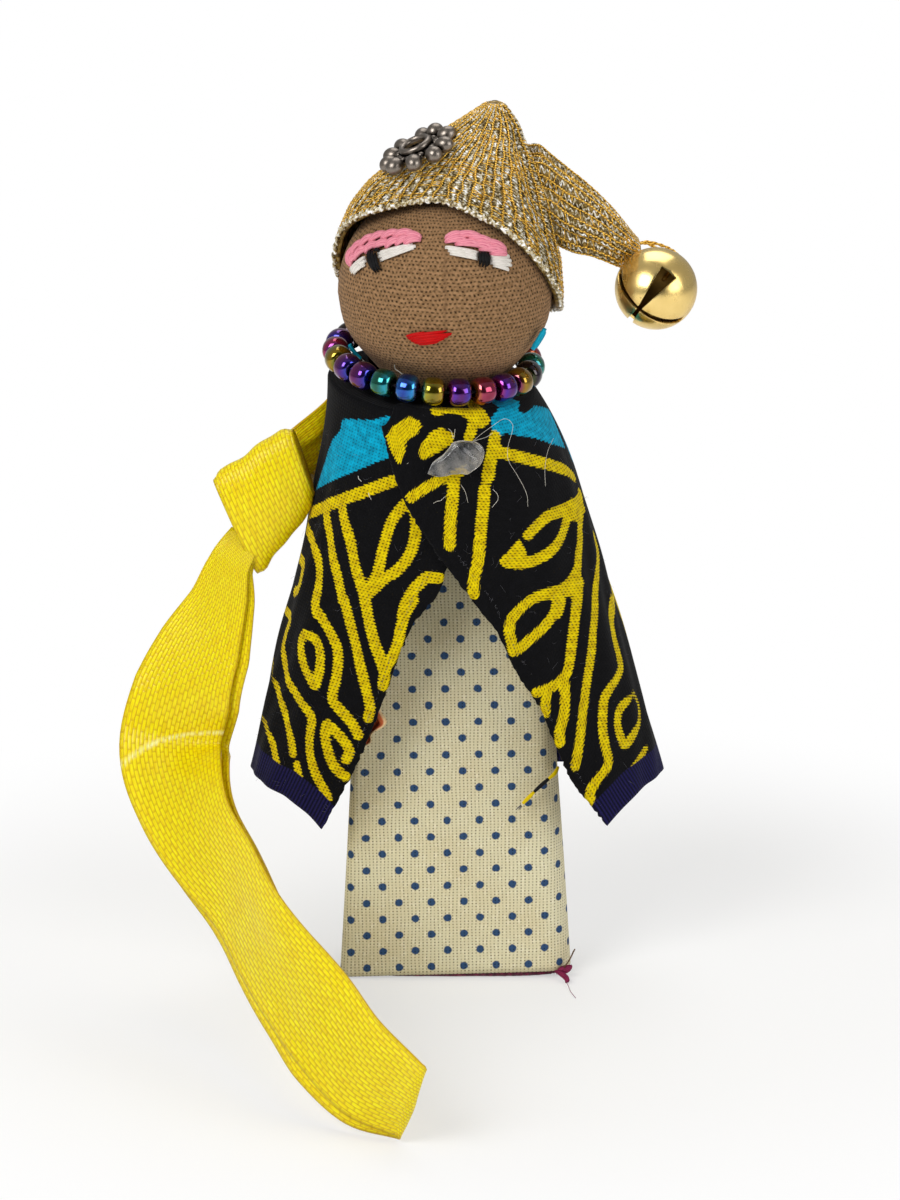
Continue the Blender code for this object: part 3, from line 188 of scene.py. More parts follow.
def closeStrands(bm):
    bmesh.ops.remove_doubles(bm, verts=bm.verts, dist=0.002 * mm)
    bmesh.ops.dissolve_degenerate(bm, edges=bm.edges, dist=0.001 * mm)
    return bm


stage = {
    "target": (-0.82, 0.0, 56.82),
    "elevation": 16.0,  # degrees
    "distance": 750.0,
    "lens": 153.06,
    "floorColour": "F4F3F1",
    "keyPower": 4.1,
    "fillPower": 1.6,
    "backPower": 1.3,
    "worldStrength": 0.36,
    "cameraSide": (0.0, -0.96, 0.28),
    "paperLift": 0.5,
    "paperFade": (0.06, 0.13),  # metres from the doll
}


def buildStage():
    scene = bpy.context.scene
    scene.view_settings.view_transform = "Standard"
    lens = bpy.data.cameras.new("camera")
    lens.sensor_fit = "VERTICAL"
    lens.sensor_height = 36.0
    lens.lens = stage["lens"]
    lens.clip_start = 0.01
    camera = bpy.data.objects.new("camera", lens)
    scene.collection.objects.link(camera)
    rise = math.radians(stage["elevation"])
    target = Vector(stage["target"]) * mm
    away = Vector((0, -math.cos(rise), math.sin(rise)))
    camera.location = target + away * stage["distance"] * mm
    camera.rotation_euler = (math.radians(90) - rise, 0, 0)
    scene.camera = camera

    # big soft boxes: key from the front left, fill from the right, one above and behind
    lamps = (
        ("key", (-420, -520, 520), 420, stage["keyPower"]),
        ("fill", (520, -380, 300), 380, stage["fillPower"]),
        ("top", (60, 260, 620), 460, stage["backPower"]),
    )
    for name, place, size, power in lamps:
        light = bpy.data.lights.new(name, "AREA")
        light.shape = "SQUARE"
        light.size = size * mm
        light.energy = power
        lamp = bpy.data.objects.new(name, light)
        scene.collection.objects.link(lamp)
        lamp.location = Vector(place) * mm
        aim = Vector((0, 0, 60)) * mm - lamp.location
        lamp.rotation_euler = aim.to_track_quat("-Z", "Y").to_euler()

    world = bpy.data.worlds.new("studio")
    world.use_nodes = True
    scene.world = world
    tree = world.node_tree
    background = tree.nodes["Background"]
    rays = addNode(tree, "LightPath", out=None)
    seen = addNode(tree, "Math", "MAXIMUM", (rays.outputs["Is Camera Ray"], rays.outputs["Is Transmission Ray"]))
    plain = addNode(tree, "Background", {}, {"Color": linearColour("FFFFFF"), "Strength": 1.0})
    background.inputs["Color"].default_value = linearColour("FFFFFF")
    # the room behind the camera is dim, which the mirror-coated beads and the bell show
    sky = addNode(tree, "TexCoord", out=None).outputs["Generated"]
    facing = addNode(tree, "VectorMath", "DOT_PRODUCT", {0: sky, 1: stage["cameraSide"]}, out=1)
    dim = {"From Min": 0.72, "From Max": 0.9, "To Min": stage["worldStrength"], "To Max": 0.04}
    dim = addNode(tree, "MapRange", {}, {"Value": facing, **dim})
    tree.links.new(dim, background.inputs["Strength"])
    mixed = addNode(tree, "MixShader", {}, {0: seen, 1: background.outputs[0], 2: plain})
    tree.links.new(mixed, tree.nodes["World Output"].inputs["Surface"])

    # white paper sweep, matt; it renders just short of white and keeps the doll's shadow
    paper, tree, shader = newMaterial("white paper sweep", Base_Color=stage["floorColour"], Roughness=0.9)
    shader.inputs["Specular IOR Level"].default_value = 0.1
    # the camera sees it fade to plain white away from the doll, as in a light tent
    spot = addNode(tree, "NewGeometry", out=None).outputs["Position"]
    far = addNode(tree, "VectorMath", "LENGTH", {0: spot}, out=1)
    start, end = stage["paperFade"]
    fade = {"From Min": start, "From Max": end, "To Min": stage["paperLift"], "To Max": 1.0}
    fade = addNode(tree, "MapRange", {"interpolation_type": "SMOOTHSTEP"}, {"Value": far, **fade})
    seen = addNode(tree, "LightPath", out=None).outputs["Is Camera Ray"]
    fade = addNode(tree, "Math", "MULTIPLY", {0: fade, 1: seen})
    white = addNode(tree, "Emission", {}, {"Color": linearColour("FFFFFF"), "Strength": 1.0})
    mixed = addNode(tree, "MixShader", {}, {0: fade, 1: shader.outputs[0], 2: white})
    tree.links.new(mixed, tree.nodes["Material Output"].inputs["Surface"])
    bm = bmesh.new()
    bmesh.ops.create_grid(bm, x_segments=1, y_segments=1, size=4.0)
    mesh = bpy.data.meshes.new("floor")
    bm.to_mesh(mesh)
    bm.free()
    mesh.materials.append(paper)
    floor = bpy.data.objects.new("floor", mesh)
    scene.collection.objects.link(floor)
    print("doll: camera, lights and floor are in place")


buildStage()


cape = {
    "thickness": 0.36,
    "shoulder": (89.0, 15.8),  # height, half-width
    "hem": (26.2, 30.6),
    "front": 14.9,
    "back": (13.5, 16.0),
    "columns": 300,
    "rows": 128,
    "hemBand": 4.3,
    "threadPitch": 0.5,
    "bleed": 0.19,  # the dye has crept this far past each drawn line
    "ground": "060608",
}

# front edges: share of the dress's height, then degrees to the right of straight ahead
capeUnderEdge = (
    (0.307, -39.6), (0.421, -31), (0.56, -22.9), (0.651, -17.7), (0.705, -13.4), (0.758, -4.3), (1.06, 18),
)
capeOverEdge = (
    (0.3, 46), (0.411, 34.6), (0.546, 27.8), (0.617, 20.7), (0.688, 15.7), (0.751, 6.8), (0.795, 0),
    (0.867, -11.9), (0.91, -18.6), (0.955, -23.7), (1.02, -29.4),
)

# resist lines: width, then (degrees, height) along each; 0 degrees is straight ahead, and the
# over flap counts on round the back to -360
capeLeftLines = (
    (1.31, ((-84.4, 70.2), (-69.2, 72.2), (-53.9, 74.2), (-42.8, 75.8), (-32.9, 77.2), (-25.2, 78.3),
        (-18.1, 79))),
    (1.17, ((-80.2, 70.9), (-85.5, 69.2), (-79.4, 68.2), (-69.8, 66.8), (-63.3, 65.2), (-59.8, 63.1),
        (-58.4, 60.9), (-58.3, 58.6), (-55.9, 57.1))),
    (1.17, ((-56.3, 57.6), (-51.1, 56.1), (-46.2, 54.4), (-43.1, 52.8), (-41.9, 50.8), (-41.6, 48.3),
        (-42.1, 45.9), (-41.3, 44.7), (-37.5, 43.4), (-33.6, 41.9), (-30.4, 40.1))),
    (1.24, ((-63.2, 72.3), (-60.7, 70.9), (-57.5, 69.2), (-54, 67.1), (-50.6, 65), (-46.6, 62.3), (-43.5,
        59.9))),
    (1.17, ((-42.4, 60), (-39.9, 57.8), (-37, 55.2), (-34.3, 52.8), (-32, 50.1), (-29.8, 47.6), (-28, 45.4),
        (-27.2, 44.3), (-27.6, 42.8))),
    (1.31, ((-50.9, 73.7), (-48.4, 72), (-45.7, 70.4), (-42.5, 68.2), (-39.7, 65.8), (-36.9, 63.7), (-34.5,
        61.9), (-32.8, 60.4))),
    (1.31, ((-33.1, 60.5), (-31.1, 58.2), (-28.8, 55.6), (-26.5, 53.3), (-24.1, 51.1), (-22.8, 49.5),
        (-23.2, 47.9))),
    (1.17, ((-17.2, 75.5), (-21, 74.1), (-24.3, 72.4), (-26, 70.5), (-27.4, 68.2), (-28.3, 65.8), (-29.4,
        64), (-32.1, 61.7))),
    (1.17, ((-17.2, 75.5), (-13.8, 74.2), (-13.2, 72.2), (-13.8, 70.1), (-15.1, 68.3), (-17.9, 66.5),
        (-21.5, 65), (-25.7, 63.9), (-30.5, 61.9))),
    (1.31, ((-4.1, 64.5), (-8.2, 64.5), (-11.7, 63.5), (-14.5, 62.1), (-16.7, 60.2), (-17.6, 58.6))),
    (1.17, ((-13.8, 61), (-16.5, 59), (-18, 57), (-18.6, 55), (-19.7, 53.1), (-22.4, 50.7))),
    (1.13, ((-97.7, 63.9), (-78.5, 63.4), (-75.1, 61.6), (-76.3, 59.4), (-82.2, 58.6))),
    (1.04, ((-95, 55.2), (-79.9, 54.7), (-81.1, 52.8), (-81, 50.5), (-76.1, 48.5), (-68.3, 46.3), (-61.4,
        44.9), (-54.6, 43.5), (-50.5, 42.3), (-49.1, 41.1), (-49.1, 39.2), (-48, 36.9), (-45.7, 34.7), (-43,
        32.8), (-40.2, 31.3), (-38.3, 30.2))),
    (0.90, ((-96.2, 47.8), (-88.6, 45.9), (-76.3, 44), (-68, 42.1), (-62.9, 40.1), (-58.5, 38.1), (-55.8,
        35.8))),
    (0.95, ((-96.8, 39.2), (-83.2, 38.5), (-73, 37), (-67, 35.1), (-62.7, 33.3), (-60.6, 32.1))),
    (0.95, ((-53, 34.3), (-50.8, 32.5), (-48.6, 30.7))),
    (1.13, ((-33.6, 36.2), (-32.9, 37.6), (-35.4, 39), (-39.4, 40.5), (-42.2, 41.2), (-42.7, 40), (-41.3,
        38), (-39.2, 36), (-36.4, 34.5), (-33, 33.7))),
)
capeLeftRings = (
    (1.08, ((-61.2, 53.8), (-56.2, 53.6), (-52.1, 52.6), (-49.9, 50.8), (-49.4, 48.8), (-50.2, 46.7),
        (-53.9, 47.8), (-58, 49.1), (-61.1, 50.8), (-62.5, 52.6))),
)
capeLeftBlue = (
        ((-57.8, 86.1), (-47.9, 86.6), (-35, 87), (-25.1, 87.9), (-17.6, 87.1), (-23.9, 85.9), (-26.8,
        84.7), (-25.8, 83.4), (-23.6, 82.1), (-33.5, 80.9), (-44.1, 79.3), (-56.2, 77.4), (-70.4, 75.6),
        (-82, 73.9), (-77.9, 76.6), (-72.2, 79.7), (-66.6, 82.4), (-58.6, 84.4)),
    ((-14.7, 91), (-7.5, 90.7), (-3, 89.2), (-9.6, 88.1), (-13, 89.4)),
)
capeRightLines = (
    (1.13, ((-374.9, 76.4), (-369.2, 77.8), (-360.2, 79.4), (-351.6, 80.5))),
    (1.27, ((-355.5, 79.9), (-356.8, 77.3), (-358.1, 74.9), (-359.1, 72.4), (-359.7, 69.5))),
    (1.27, ((-342.9, 77.6), (-344.5, 75.2), (-346.5, 72.3), (-348, 69.4), (-349.5, 66.7), (-351.3, 64.5),
        (-351.8, 62.3))),
    (1.41, ((-330.8, 84.8), (-334.7, 82.9), (-337.7, 81.3), (-340.4, 79.3))),
    (1.27, ((-334, 82.8), (-328.4, 82.3), (-320, 81.4), (-309, 80.1), (-296.3, 78.5), (-283.3, 76.4))),
    (1.22, ((-357.2, 89), (-349.1, 89.3), (-342.9, 88.9), (-337.9, 88), (-333.8, 87.1))),
    (1.12, ((-335.8, 88.6), (-339.3, 87), (-344.6, 85.1))),
    (1.22, ((-327.5, 70.4), (-322.4, 71.5), (-314.8, 72.6), (-305.9, 72.8), (-296.3, 73.3))),
    (1.22, ((-300.7, 72.3), (-305.8, 70.6), (-311.3, 69), (-318, 67.6), (-324.6, 66.7), (-331.7, 66.3),
        (-337.8, 66.6))),
    (1.17, ((-283.2, 73.8), (-288.5, 71.9), (-294.4, 69.8), (-297.8, 67.8), (-302.1, 65.9), (-305.5, 64.1),
        (-311.5, 62.5), (-316.8, 61.8), (-323.6, 61.4), (-329.8, 60.8), (-335.2, 59.5), (-339.1, 58),
        (-340.4, 56.3))),
    (1.13, ((-338.5, 58.5), (-340.2, 56.8), (-339.8, 54.9), (-339.3, 53.4), (-335.4, 54.2), (-331, 55.4),
        (-326.2, 56.7), (-321.9, 58.3), (-319.1, 60.3))),
    (1.22, ((-321, 61.3), (-317.8, 60.1), (-320, 58.3))),
    (1.12, ((-306, 63.9), (-307.2, 61.5), (-309.9, 59.2), (-313, 56.9))),
    (1.17, ((-310, 59.8), (-312.2, 57.6), (-315.3, 54.3), (-318.4, 51), (-320.8, 49.1), (-325, 47.9),
        (-329.7, 47.3), (-333.1, 47))),
    (1.13, ((-322.1, 47.5), (-323.1, 45.2), (-324.5, 43), (-326.6, 41), (-327.2, 39.1))),
    (1.13, ((-329.3, 46.9), (-330.3, 45.6), (-330.8, 43.8))),
    (1.07, ((-278.7, 67.2), (-280.5, 64.8), (-287.7, 62.6), (-296.6, 59.5), (-302.1, 56.2))),
    (1.13, ((-297.3, 58.9), (-303.7, 55.2), (-307.6, 51.7), (-311.6, 48.3), (-315.1, 45), (-317.8, 42.1),
        (-319.9, 39.5), (-321.7, 37.2), (-323.2, 35.3))),
    (0.98, ((-266.8, 58), (-281.2, 55.8), (-285.2, 54.9))),
    (1.13, ((-277, 57.4), (-284.5, 55.4), (-288.5, 52.6), (-289.6, 49.7), (-291.2, 47.9), (-300.5, 46.1),
        (-305.6, 44.6), (-308.3, 42.2), (-309.8, 40), (-310.3, 37.7), (-310.5, 35), (-315.6, 33), (-318.9,
        31.4), (-319.9, 29.6))),
    (0.95, ((-252, 60.5), (-258, 57), (-262, 53), (-266, 49.5), (-265.5, 46.2), (-266.5, 42.5), (-270, 38.6),
        (-277, 36.2), (-285, 35.1), (-293.8, 33.9), (-299.3, 32.9))),
    (0.95, ((-245, 44), (-250, 40.8), (-254, 37), (-258, 33.6))),
)
capeRightRings = (
    (1.08, ((-285.7, 43.7), (-282.9, 41.6), (-285.9, 39.5), (-292.4, 38.2), (-299.6, 37), (-301.3, 38.7),
        (-301.2, 40.5), (-297.8, 42.4))),
)
capeRightBlue = (
        ((-328.2, 87.4), (-315.8, 88.8), (-298.1, 88.9), (-308.8, 87.4), (-303.3, 86.9), (-289.3, 87.2),
        (-270.1, 85.5), (-275.2, 83.1), (-277.4, 80.3), (-294.7, 81.9), (-306.4, 83.5), (-316.7, 84.4),
        (-323.8, 85.1), (-329.4, 84.7), (-330.9, 85.9)),
)
capeRightYellow = (
        ((-386.1, 85), (-382.6, 86.4), (-372.9, 87.9), (-367.6, 87.1), (-370.8, 85.8), (-378.2, 84.6),
        (-377.2, 83.5), (-380.1, 81.4), (-383.8, 83.1)),
        ((-370.4, 82.5), (-368.5, 84), (-363, 85.8), (-357.8, 86.4), (-352.4, 85.5), (-354.1, 84.5),
        (-360.7, 83.4), (-368.4, 82.2)),
    ((-336.6, 89.5), (-330.8, 88.9), (-330.1, 87), (-336.4, 86.3), (-338.9, 87.2)),
        ((-341.2, 66.7), (-336.5, 68.1), (-331.6, 69.7), (-330, 68.1), (-329.9, 67.2), (-332, 65.8),
        (-336.7, 65.9)),
    ((-308.7, 73.4), (-284.6, 73.9), (-284.1, 71.4), (-295.9, 70.9), (-304.3, 71.3)),
    ((-315.8, 62), (-306, 63.7), (-303.7, 62), (-308.8, 60.6), (-315, 60.7)),
)
# the back repeats the same kind of bars, leaves and eyes
capeBackLines = (
    (1.3, ((-96, 70.5), (-110, 70), (-128, 70.4), (-146, 71.4), (-164, 73), (-180, 74.4))),
    (1.3, ((-180, 74.4), (-196, 73.4), (-214, 71.6), (-234, 70.4), (-254, 70.6), (-268, 72.5))),
    (1.2, ((-104, 70), (-103, 62), (-106, 54), (-104, 46), (-100, 38), (-98, 32))),
    (1.2, ((-114, 70), (-114, 63), (-118, 56), (-117, 51), (-108, 49), (-105, 44), (-107, 38), (-112, 34))),
    (1.2, ((-126, 70), (-128, 62), (-131, 54), (-130, 46), (-127, 40), (-129, 34), (-134, 30))),
    (1.3, ((-140, 71), (-134, 66), (-131, 58), (-134, 50), (-138, 44), (-136, 37), (-140, 31))),
    (1.3, ((-150, 71.5), (-156, 66), (-158, 58), (-156, 50), (-150, 44), (-148, 38), (-150, 31))),
    (1.3, ((-164, 73), (-165, 66), (-165, 58), (-166, 50), (-160, 42), (-158, 34), (-160, 30))),
    (1.3, ((-172, 73.6), (-174, 66), (-180, 60), (-186, 66), (-188, 74))),
    (1.3, ((-180, 60), (-180, 52), (-190, 46), (-192, 38), (-188, 31))),
    (1.2, ((-180, 52), (-170, 50.5), (-164, 44))),
    (1.3, ((-198, 73), (-197, 64), (-196, 56), (-198, 48), (-202, 42), (-200, 35), (-203, 30))),
    (1.3, ((-210, 72), (-218, 66), (-222, 58), (-220, 50), (-214, 44), (-213, 37), (-216, 31))),
    (1.2, ((-224, 71), (-228, 64), (-230, 56), (-228, 48), (-224, 42), (-226, 35), (-230, 30))),
    (1.2, ((-238, 70.4), (-240, 63), (-244, 57), (-240, 52), (-232, 50), (-230, 44), (-234, 37), (-240, 33))),
    (1.2, ((-250, 70.5), (-252, 62), (-256, 54), (-254, 46), (-250, 39), (-252, 32))),
    (1.1, ((-262, 71.5), (-262, 63), (-266, 56), (-264, 47), (-260, 40), (-263, 33))),
    (1.2, ((-164, 76.5), (-170, 79), (-180, 80.5), (-190, 79.5), (-196, 77))),
)
capeBackRings = (
    (1.15, ((-150, 60), (-144, 61.5), (-139, 59), (-137, 55), (-140, 51), (-146, 49.5), (-151, 52), (-153, 56))),
    (
        1.15,
        ((-214, 58), (-208, 60), (-203, 57.5), (-201, 53.5), (-204, 49.5), (-210, 48), (-215, 50.5), (-217, 54.5)),
    ),
    (1.1, ((-178, 47), (-173, 48), (-169, 45.5), (-168, 42), (-171, 39), (-177, 38.5), (-181, 41), (-182, 44.5))),
    (1.1, ((-120, 47), (-115, 48), (-111, 45), (-111, 41), (-115, 38.5), (-120, 39), (-124, 42), (-124, 45))),
    (1.1, ((-243, 48), (-238, 49), (-234, 46), (-234, 42), (-238, 39.5), (-243, 40), (-247, 43), (-247, 46))),
)
capeBackBlue = (
    (
        (-206, 75.5), (-222, 73.8), (-240, 73.2), (-256, 75), (-266, 78), (-268, 84), (-252, 86.6), (-230, 86),
        (-212, 83.6), (-205, 80),
    ),
)

# the necklace's own frame, which the collar follows
necklace = {
    "centre": (-3.2, 0.3, 93.2055),
    "radius": 14.2,
    "tilts": (6.0, 5.0),  # degrees forward, then to the right
    "beadRadius": 2.05,
    "count": 24,
}
headMiddle = np.array([-1.5, -1.0, 103.6055])
necklaceTurn = np.array(
    Matrix.Rotation(
        math.radians(necklace["tilts"][0]), 3, "X"
    ) @ Matrix.Rotation(math.radians(necklace["tilts"][1]), 3, "Y")
)


def stack(*axes):
    return np.stack(np.broadcast_arrays(*axes), -1)


def ringPoint(angle, out=0.0, up=0.0):
    reach = necklace["radius"] + out
    flat = stack(reach * np.sin(angle), -reach * np.cos(angle), up)
    return flat @ necklaceTurn.T + np.array(necklace["centre"])


def leanAt(height):
    return -1.5 * (height / 88.0) ** 2


def capeSide(angle, height, lift=0.0):
    down = (cape["shoulder"][0] - height) / (cape["shoulder"][0] - cape["hem"][0])
    fold = 0.9 * np.maximum(down, 0) * (1 - np.cos(angle)) / 2 * np.cos(7 * angle)
    halfWidth = cape["shoulder"][1] + (cape["hem"][1] - cape["shoulder"][1]) * down
    back = cape["back"][0] + (cape["back"][1] - cape["back"][0]) * down
    depth = np.where(np.cos(angle) > 0, cape["front"], back)
    across = leanAt(height) + (halfWidth + lift + fold) * np.sin(angle)
    return stack(across, -(depth + lift + fold) * np.cos(angle), height)


def lapAt(degrees):
    return smoothstep((-degrees - 240) / 90)


def capeNeck(angle, layer):
    rest = necklace["beadRadius"] + 0.75 + (1 - layer) * 0.9
    level = ringPoint(angle)[..., 2] - 1.2
    heights = (-15.2, -14.0, -12.0, -10.0, -7.0, -4.0)
    radii = (4.5, 6.6, 8.9, 10.7, 13.2, 14.8)
    reach = np.interp(level - headMiddle[2], heights, radii) + 0.8 + layer * 0.9
    collar = stack(headMiddle[0] + reach * np.sin(angle), headMiddle[1] - reach * np.cos(angle), level)
    points = [collar]
    for turn in (-112, -78):
        side = math.radians(turn)
        points.append(ringPoint(angle, rest * math.cos(side), rest * math.sin(side)))
    return points


def capeSurface(degrees, height, lift=0.0):
    degrees = np.asarray(degrees, float)
    angle = np.radians(degrees)
    layer = lapAt(degrees)
    outside = capeNeck(angle, layer)[2]
    shoulder = outside - capeSide(angle, outside[..., 2], layer * 0.9)
    above = np.maximum(height - cape["hem"][0], 0) / (outside[..., 2] - cape["hem"][0])
    return capeSide(angle, height, layer * 0.9 + lift) + shoulder * (above**9)[..., None]


# the cloth's own grid: across from the under edge round the back to the over edge, and down from the collar
def capeGrid(across, down):
    trimmed = 0.165 * smoothstep(1 - (1 - across) / 0.06)
    place = trimmed + (1 - trimmed) * down
    drop = np.maximum(place - 0.12, 0) / 0.88
    level = (cape["shoulder"][0] + (cape["hem"][0] - cape["shoulder"][0]) * drop) / 84.0
    start = np.interp(level, *zip(*capeUnderEdge))
    end = np.interp(level, *zip(*capeOverEdge)) - 360
    degrees = start + (end - start) * across
    angle = np.radians(degrees)
    collar, under, outside = capeNeck(angle, lapAt(degrees))
    nearEdge = np.maximum(1 - np.minimum(across, 1 - across) / 0.07, 0)
    hem = cape["hem"][0] + 4.5 * np.sin(angle) ** 2 - 2.8 * nearEdge**2
    height = outside[..., 2] + (hem - outside[..., 2]) * drop
    # the cloth swells a little at the sides and wrinkles under the lap
    swell = 0.9 * np.exp(-(((degrees + 272) / 20) ** 2)) * smoothstep((62 - height) / 20)
    swell += 0.5 * np.exp(-(((degrees + 90) / 20) ** 2)) * smoothstep((70 - height) / 20)
    ripple = 0.16 * np.sin(np.radians(degrees) * 9 + height * 0.21) * smoothstep(drop * 4)
    ripple += 0.10 * np.sin(np.radians(degrees) * 23 - height * 0.33) * smoothstep(drop * 3)
    skirt = capeSurface(degrees, height, swell + ripple)
    upper = (place / 0.06)[..., None]
    lower = ((place - 0.06) / 0.06)[..., None]
    points = np.where(upper <= 1, collar + (under - collar) * upper, under + (outside - under) * lower)
    points = np.where((place > 0.12)[..., None], skirt, points)
    return points, degrees, height


# distance in mm from every point to a drawn line, less half the line's width
def lineDistance(points, line, width, found, closed=False):
    places = [Vector((*pair, 0)) for pair in line]
    if closed:
        places = [*places, places[0]]
    route = np.array(smoothRoute(places, 5))
    spots = capeSurface(route[:, 0], route[:, 1])
    for start, end in zip(spots, spots[1:]):
        along = end - start
        share = np.clip((points - start) @ along / max(along @ along, 1e-9), 0, 1)
        gap = np.sqrt((((points - start) - share[:, None] * along) ** 2).sum(-1))
        np.minimum(found, gap - width / 2, out=found)
    return spots


# signed distance to a filled shape: its outline's distance, below zero inside
def fillDistance(points, degrees, height, outline, found):
    places = [Vector((*pair, 0)) for pair in outline]
    route = np.array([*places, places[0]])
    fine = np.concatenate([np.linspace(a, b, 6)[:-1] for a, b in zip(route, route[1:])])
    fine = np.concatenate([fine, fine[:1]])
    gap = np.full(len(points), 99.0)
    spots = capeSurface(fine[:, 0], fine[:, 1])
    for start, end in zip(spots, spots[1:]):
        along = end - start
        share = np.clip((points - start) @ along / max(along @ along, 1e-9), 0, 1)
        np.minimum(gap, np.sqrt((((points - start) - share[:, None] * along) ** 2).sum(-1)), out=gap)
    inside = np.zeros(len(points), bool)
    for a, b in zip(route, route[1:]):
        crosses = (a[1] > height) != (b[1] > height)
        at = a[0] + (height - a[1]) * (b[0] - a[0]) / np.where(abs(b[1] - a[1]) < 1e-9, 1e-9, b[1] - a[1])
        inside ^= crosses & (degrees < at)
    np.minimum(found, np.where(inside, -gap, gap), out=found)


def buildWaxPrint():
    # wax-print cotton: matt, slightly fuzzy, coarse plain weave with pinholes of black at the yarn crossings
    wax, tree, shader = newMaterial("wax-print cotton", Roughness=0.92, Sheen_Weight=0.05, Sheen_Roughness=0.5)
    shader.inputs["Specular IOR Level"].default_value = 0.1
    cloth = addNode(tree, "UVMap", {"uv_map": "cloth"})
    split = addNode(tree, "SeparateXYZ", {}, {0: cloth}, out=None)
    turn = math.pi / cape["threadPitch"]
    warp = addNode(
        tree, "Math", "ABSOLUTE",
        {0: addNode(tree, "Math", "SINE", {0: addNode(tree, "Math", "MULTIPLY", (split.outputs[0], turn))})},
    )
    weft = addNode(
        tree, "Math", "ABSOLUTE",
        {0: addNode(tree, "Math", "SINE", {0: addNode(tree, "Math", "MULTIPLY", (split.outputs[1], turn))})},
    )
    body = addNode(tree, "Math", "MAXIMUM", (warp, weft))
    slub = addNode(tree, "TexNoise", {}, {"Vector": cloth, "Scale": 0.9, "Detail": 3.0, "Roughness": 0.6})
    pinhole = addNode(tree, "ValToRGB", ((0.42, 1.0), (0.8, 0.0)), {0: body})
    pinhole = addNode(
        tree, "Math", "MULTIPLY", (pinhole, addNode(tree, "ValToRGB", ((0.3, 0.4), (0.6, 1.0)), {0: slub}))
    )
    # the wax edge follows the yarns, so it wavers a little
    waver = addNode(tree, "TexNoise", {}, {"Vector": cloth, "Scale": 2.6, "Detail": 2.0})
    waver = addNode(tree, "Math", "MULTIPLY", (addNode(tree, "Math", "SUBTRACT", (waver, 0.5)), 0.5))
    waver = addNode(
        tree, "Math", "ADD",
        (waver, addNode(tree, "Math", "MULTIPLY", (addNode(tree, "Math", "SUBTRACT", (weft, 0.6)), -0.22))),
    )
    tones = {}
    for name in ("yellow", "blue", "navy"):
        gap = addNode(tree, "Attribute", {"attribute_name": name}, out=None).outputs["Fac"]
        gap = addNode(tree, "Math", "ADD", (gap, waver)) if name != "navy" else gap
        tones[name] = addNode(tree, "Math", "SUBTRACT", (0.5, addNode(tree, "Math", "DIVIDE", (gap, 0.16))))
        tones[name].node.use_clamp = True
    yellow = addNode(
        tree, "Mix", {"data_type": "RGBA"},
        {0: addNode(tree, "ValToRGB", ((0.35, 0.0), (0.7, 1.0)), {0: slub}), 6: "E4CC00", 7: "BC9E00"},
        2,
    )
    blue = addNode(
        tree, "Mix", {"data_type": "RGBA"},
        {0: addNode(tree, "ValToRGB", ((0.35, 0.0), (0.7, 1.0)), {0: slub}), 6: "00A9D0", 7: "007F9E"},
        2,
    )
    ground = addNode(
        tree, "Mix", {"data_type": "RGBA"},
        {0: addNode(tree, "ValToRGB", ((0.4, 0.0), (0.7, 1.0)), {0: slub}), 6: cape["ground"], 7: "0A0A0D"},
        2,
    )
    yellow = addNode(
        tree, "Mix", {"data_type": "RGBA"},
        {0: addNode(tree, "Math", "MULTIPLY", (pinhole, 0.92)), 6: yellow, 7: "241C02"},
        2,
    )
    blue = addNode(
        tree, "Mix", {"data_type": "RGBA"},
        {0: addNode(tree, "Math", "MULTIPLY", (pinhole, 0.7)), 6: blue, 7: "02303C"},
        2,
    )
    ribs = addNode(
        tree, "Math", "SINE", {0: addNode(tree, "Math", "MULTIPLY", (split.outputs[0], 2 * math.pi / 0.55))}
    )
    hem = addNode(
        tree, "Mix", {"data_type": "RGBA"},
        {
            0: addNode(
                tree, "ValToRGB", ((0.2, 0.0), (0.8, 1.0)),
                {0: addNode(tree, "Math", "MULTIPLY_ADD", (ribs, 0.5, 0.5))},
            ),
            6: "080722", 7: "1B1849",
        },
        2,
    )
    shade = addNode(tree, "Mix", {"data_type": "RGBA"}, {0: tones["blue"], 6: ground, 7: blue}, 2)
    shade = addNode(tree, "Mix", {"data_type": "RGBA"}, {0: tones["yellow"], 6: shade, 7: yellow}, 2)
    shade = addNode(tree, "Mix", {"data_type": "RGBA"}, {0: tones["navy"], 6: shade, 7: hem}, 2)
    # pale lint caught in the nap
    lint = addNode(tree, "TexNoise", {}, {"Vector": cloth, "Scale": 3.4, "Detail": 4.0, "Distortion": 2.0})
    shade = addNode(
        tree, "Mix", {"data_type": "RGBA"},
        {0: addNode(tree, "ValToRGB", ((0.7, 0.0), (0.8, 0.25)), {0: lint}), 6: shade, 7: "6E6A70"},
        2,
    )
    tree.links.new(shade, shader.inputs["Base Color"])
    lumps = addNode(tree, "Math", "ADD", (body, addNode(tree, "Math", "MULTIPLY", (slub, 0.8))))
    bump = addNode(tree, "Bump", {}, {"Strength": 0.45, "Distance": 0.12 * mm, "Height": lumps})
    tree.links.new(bump, shader.inputs["Normal"])
    return wax


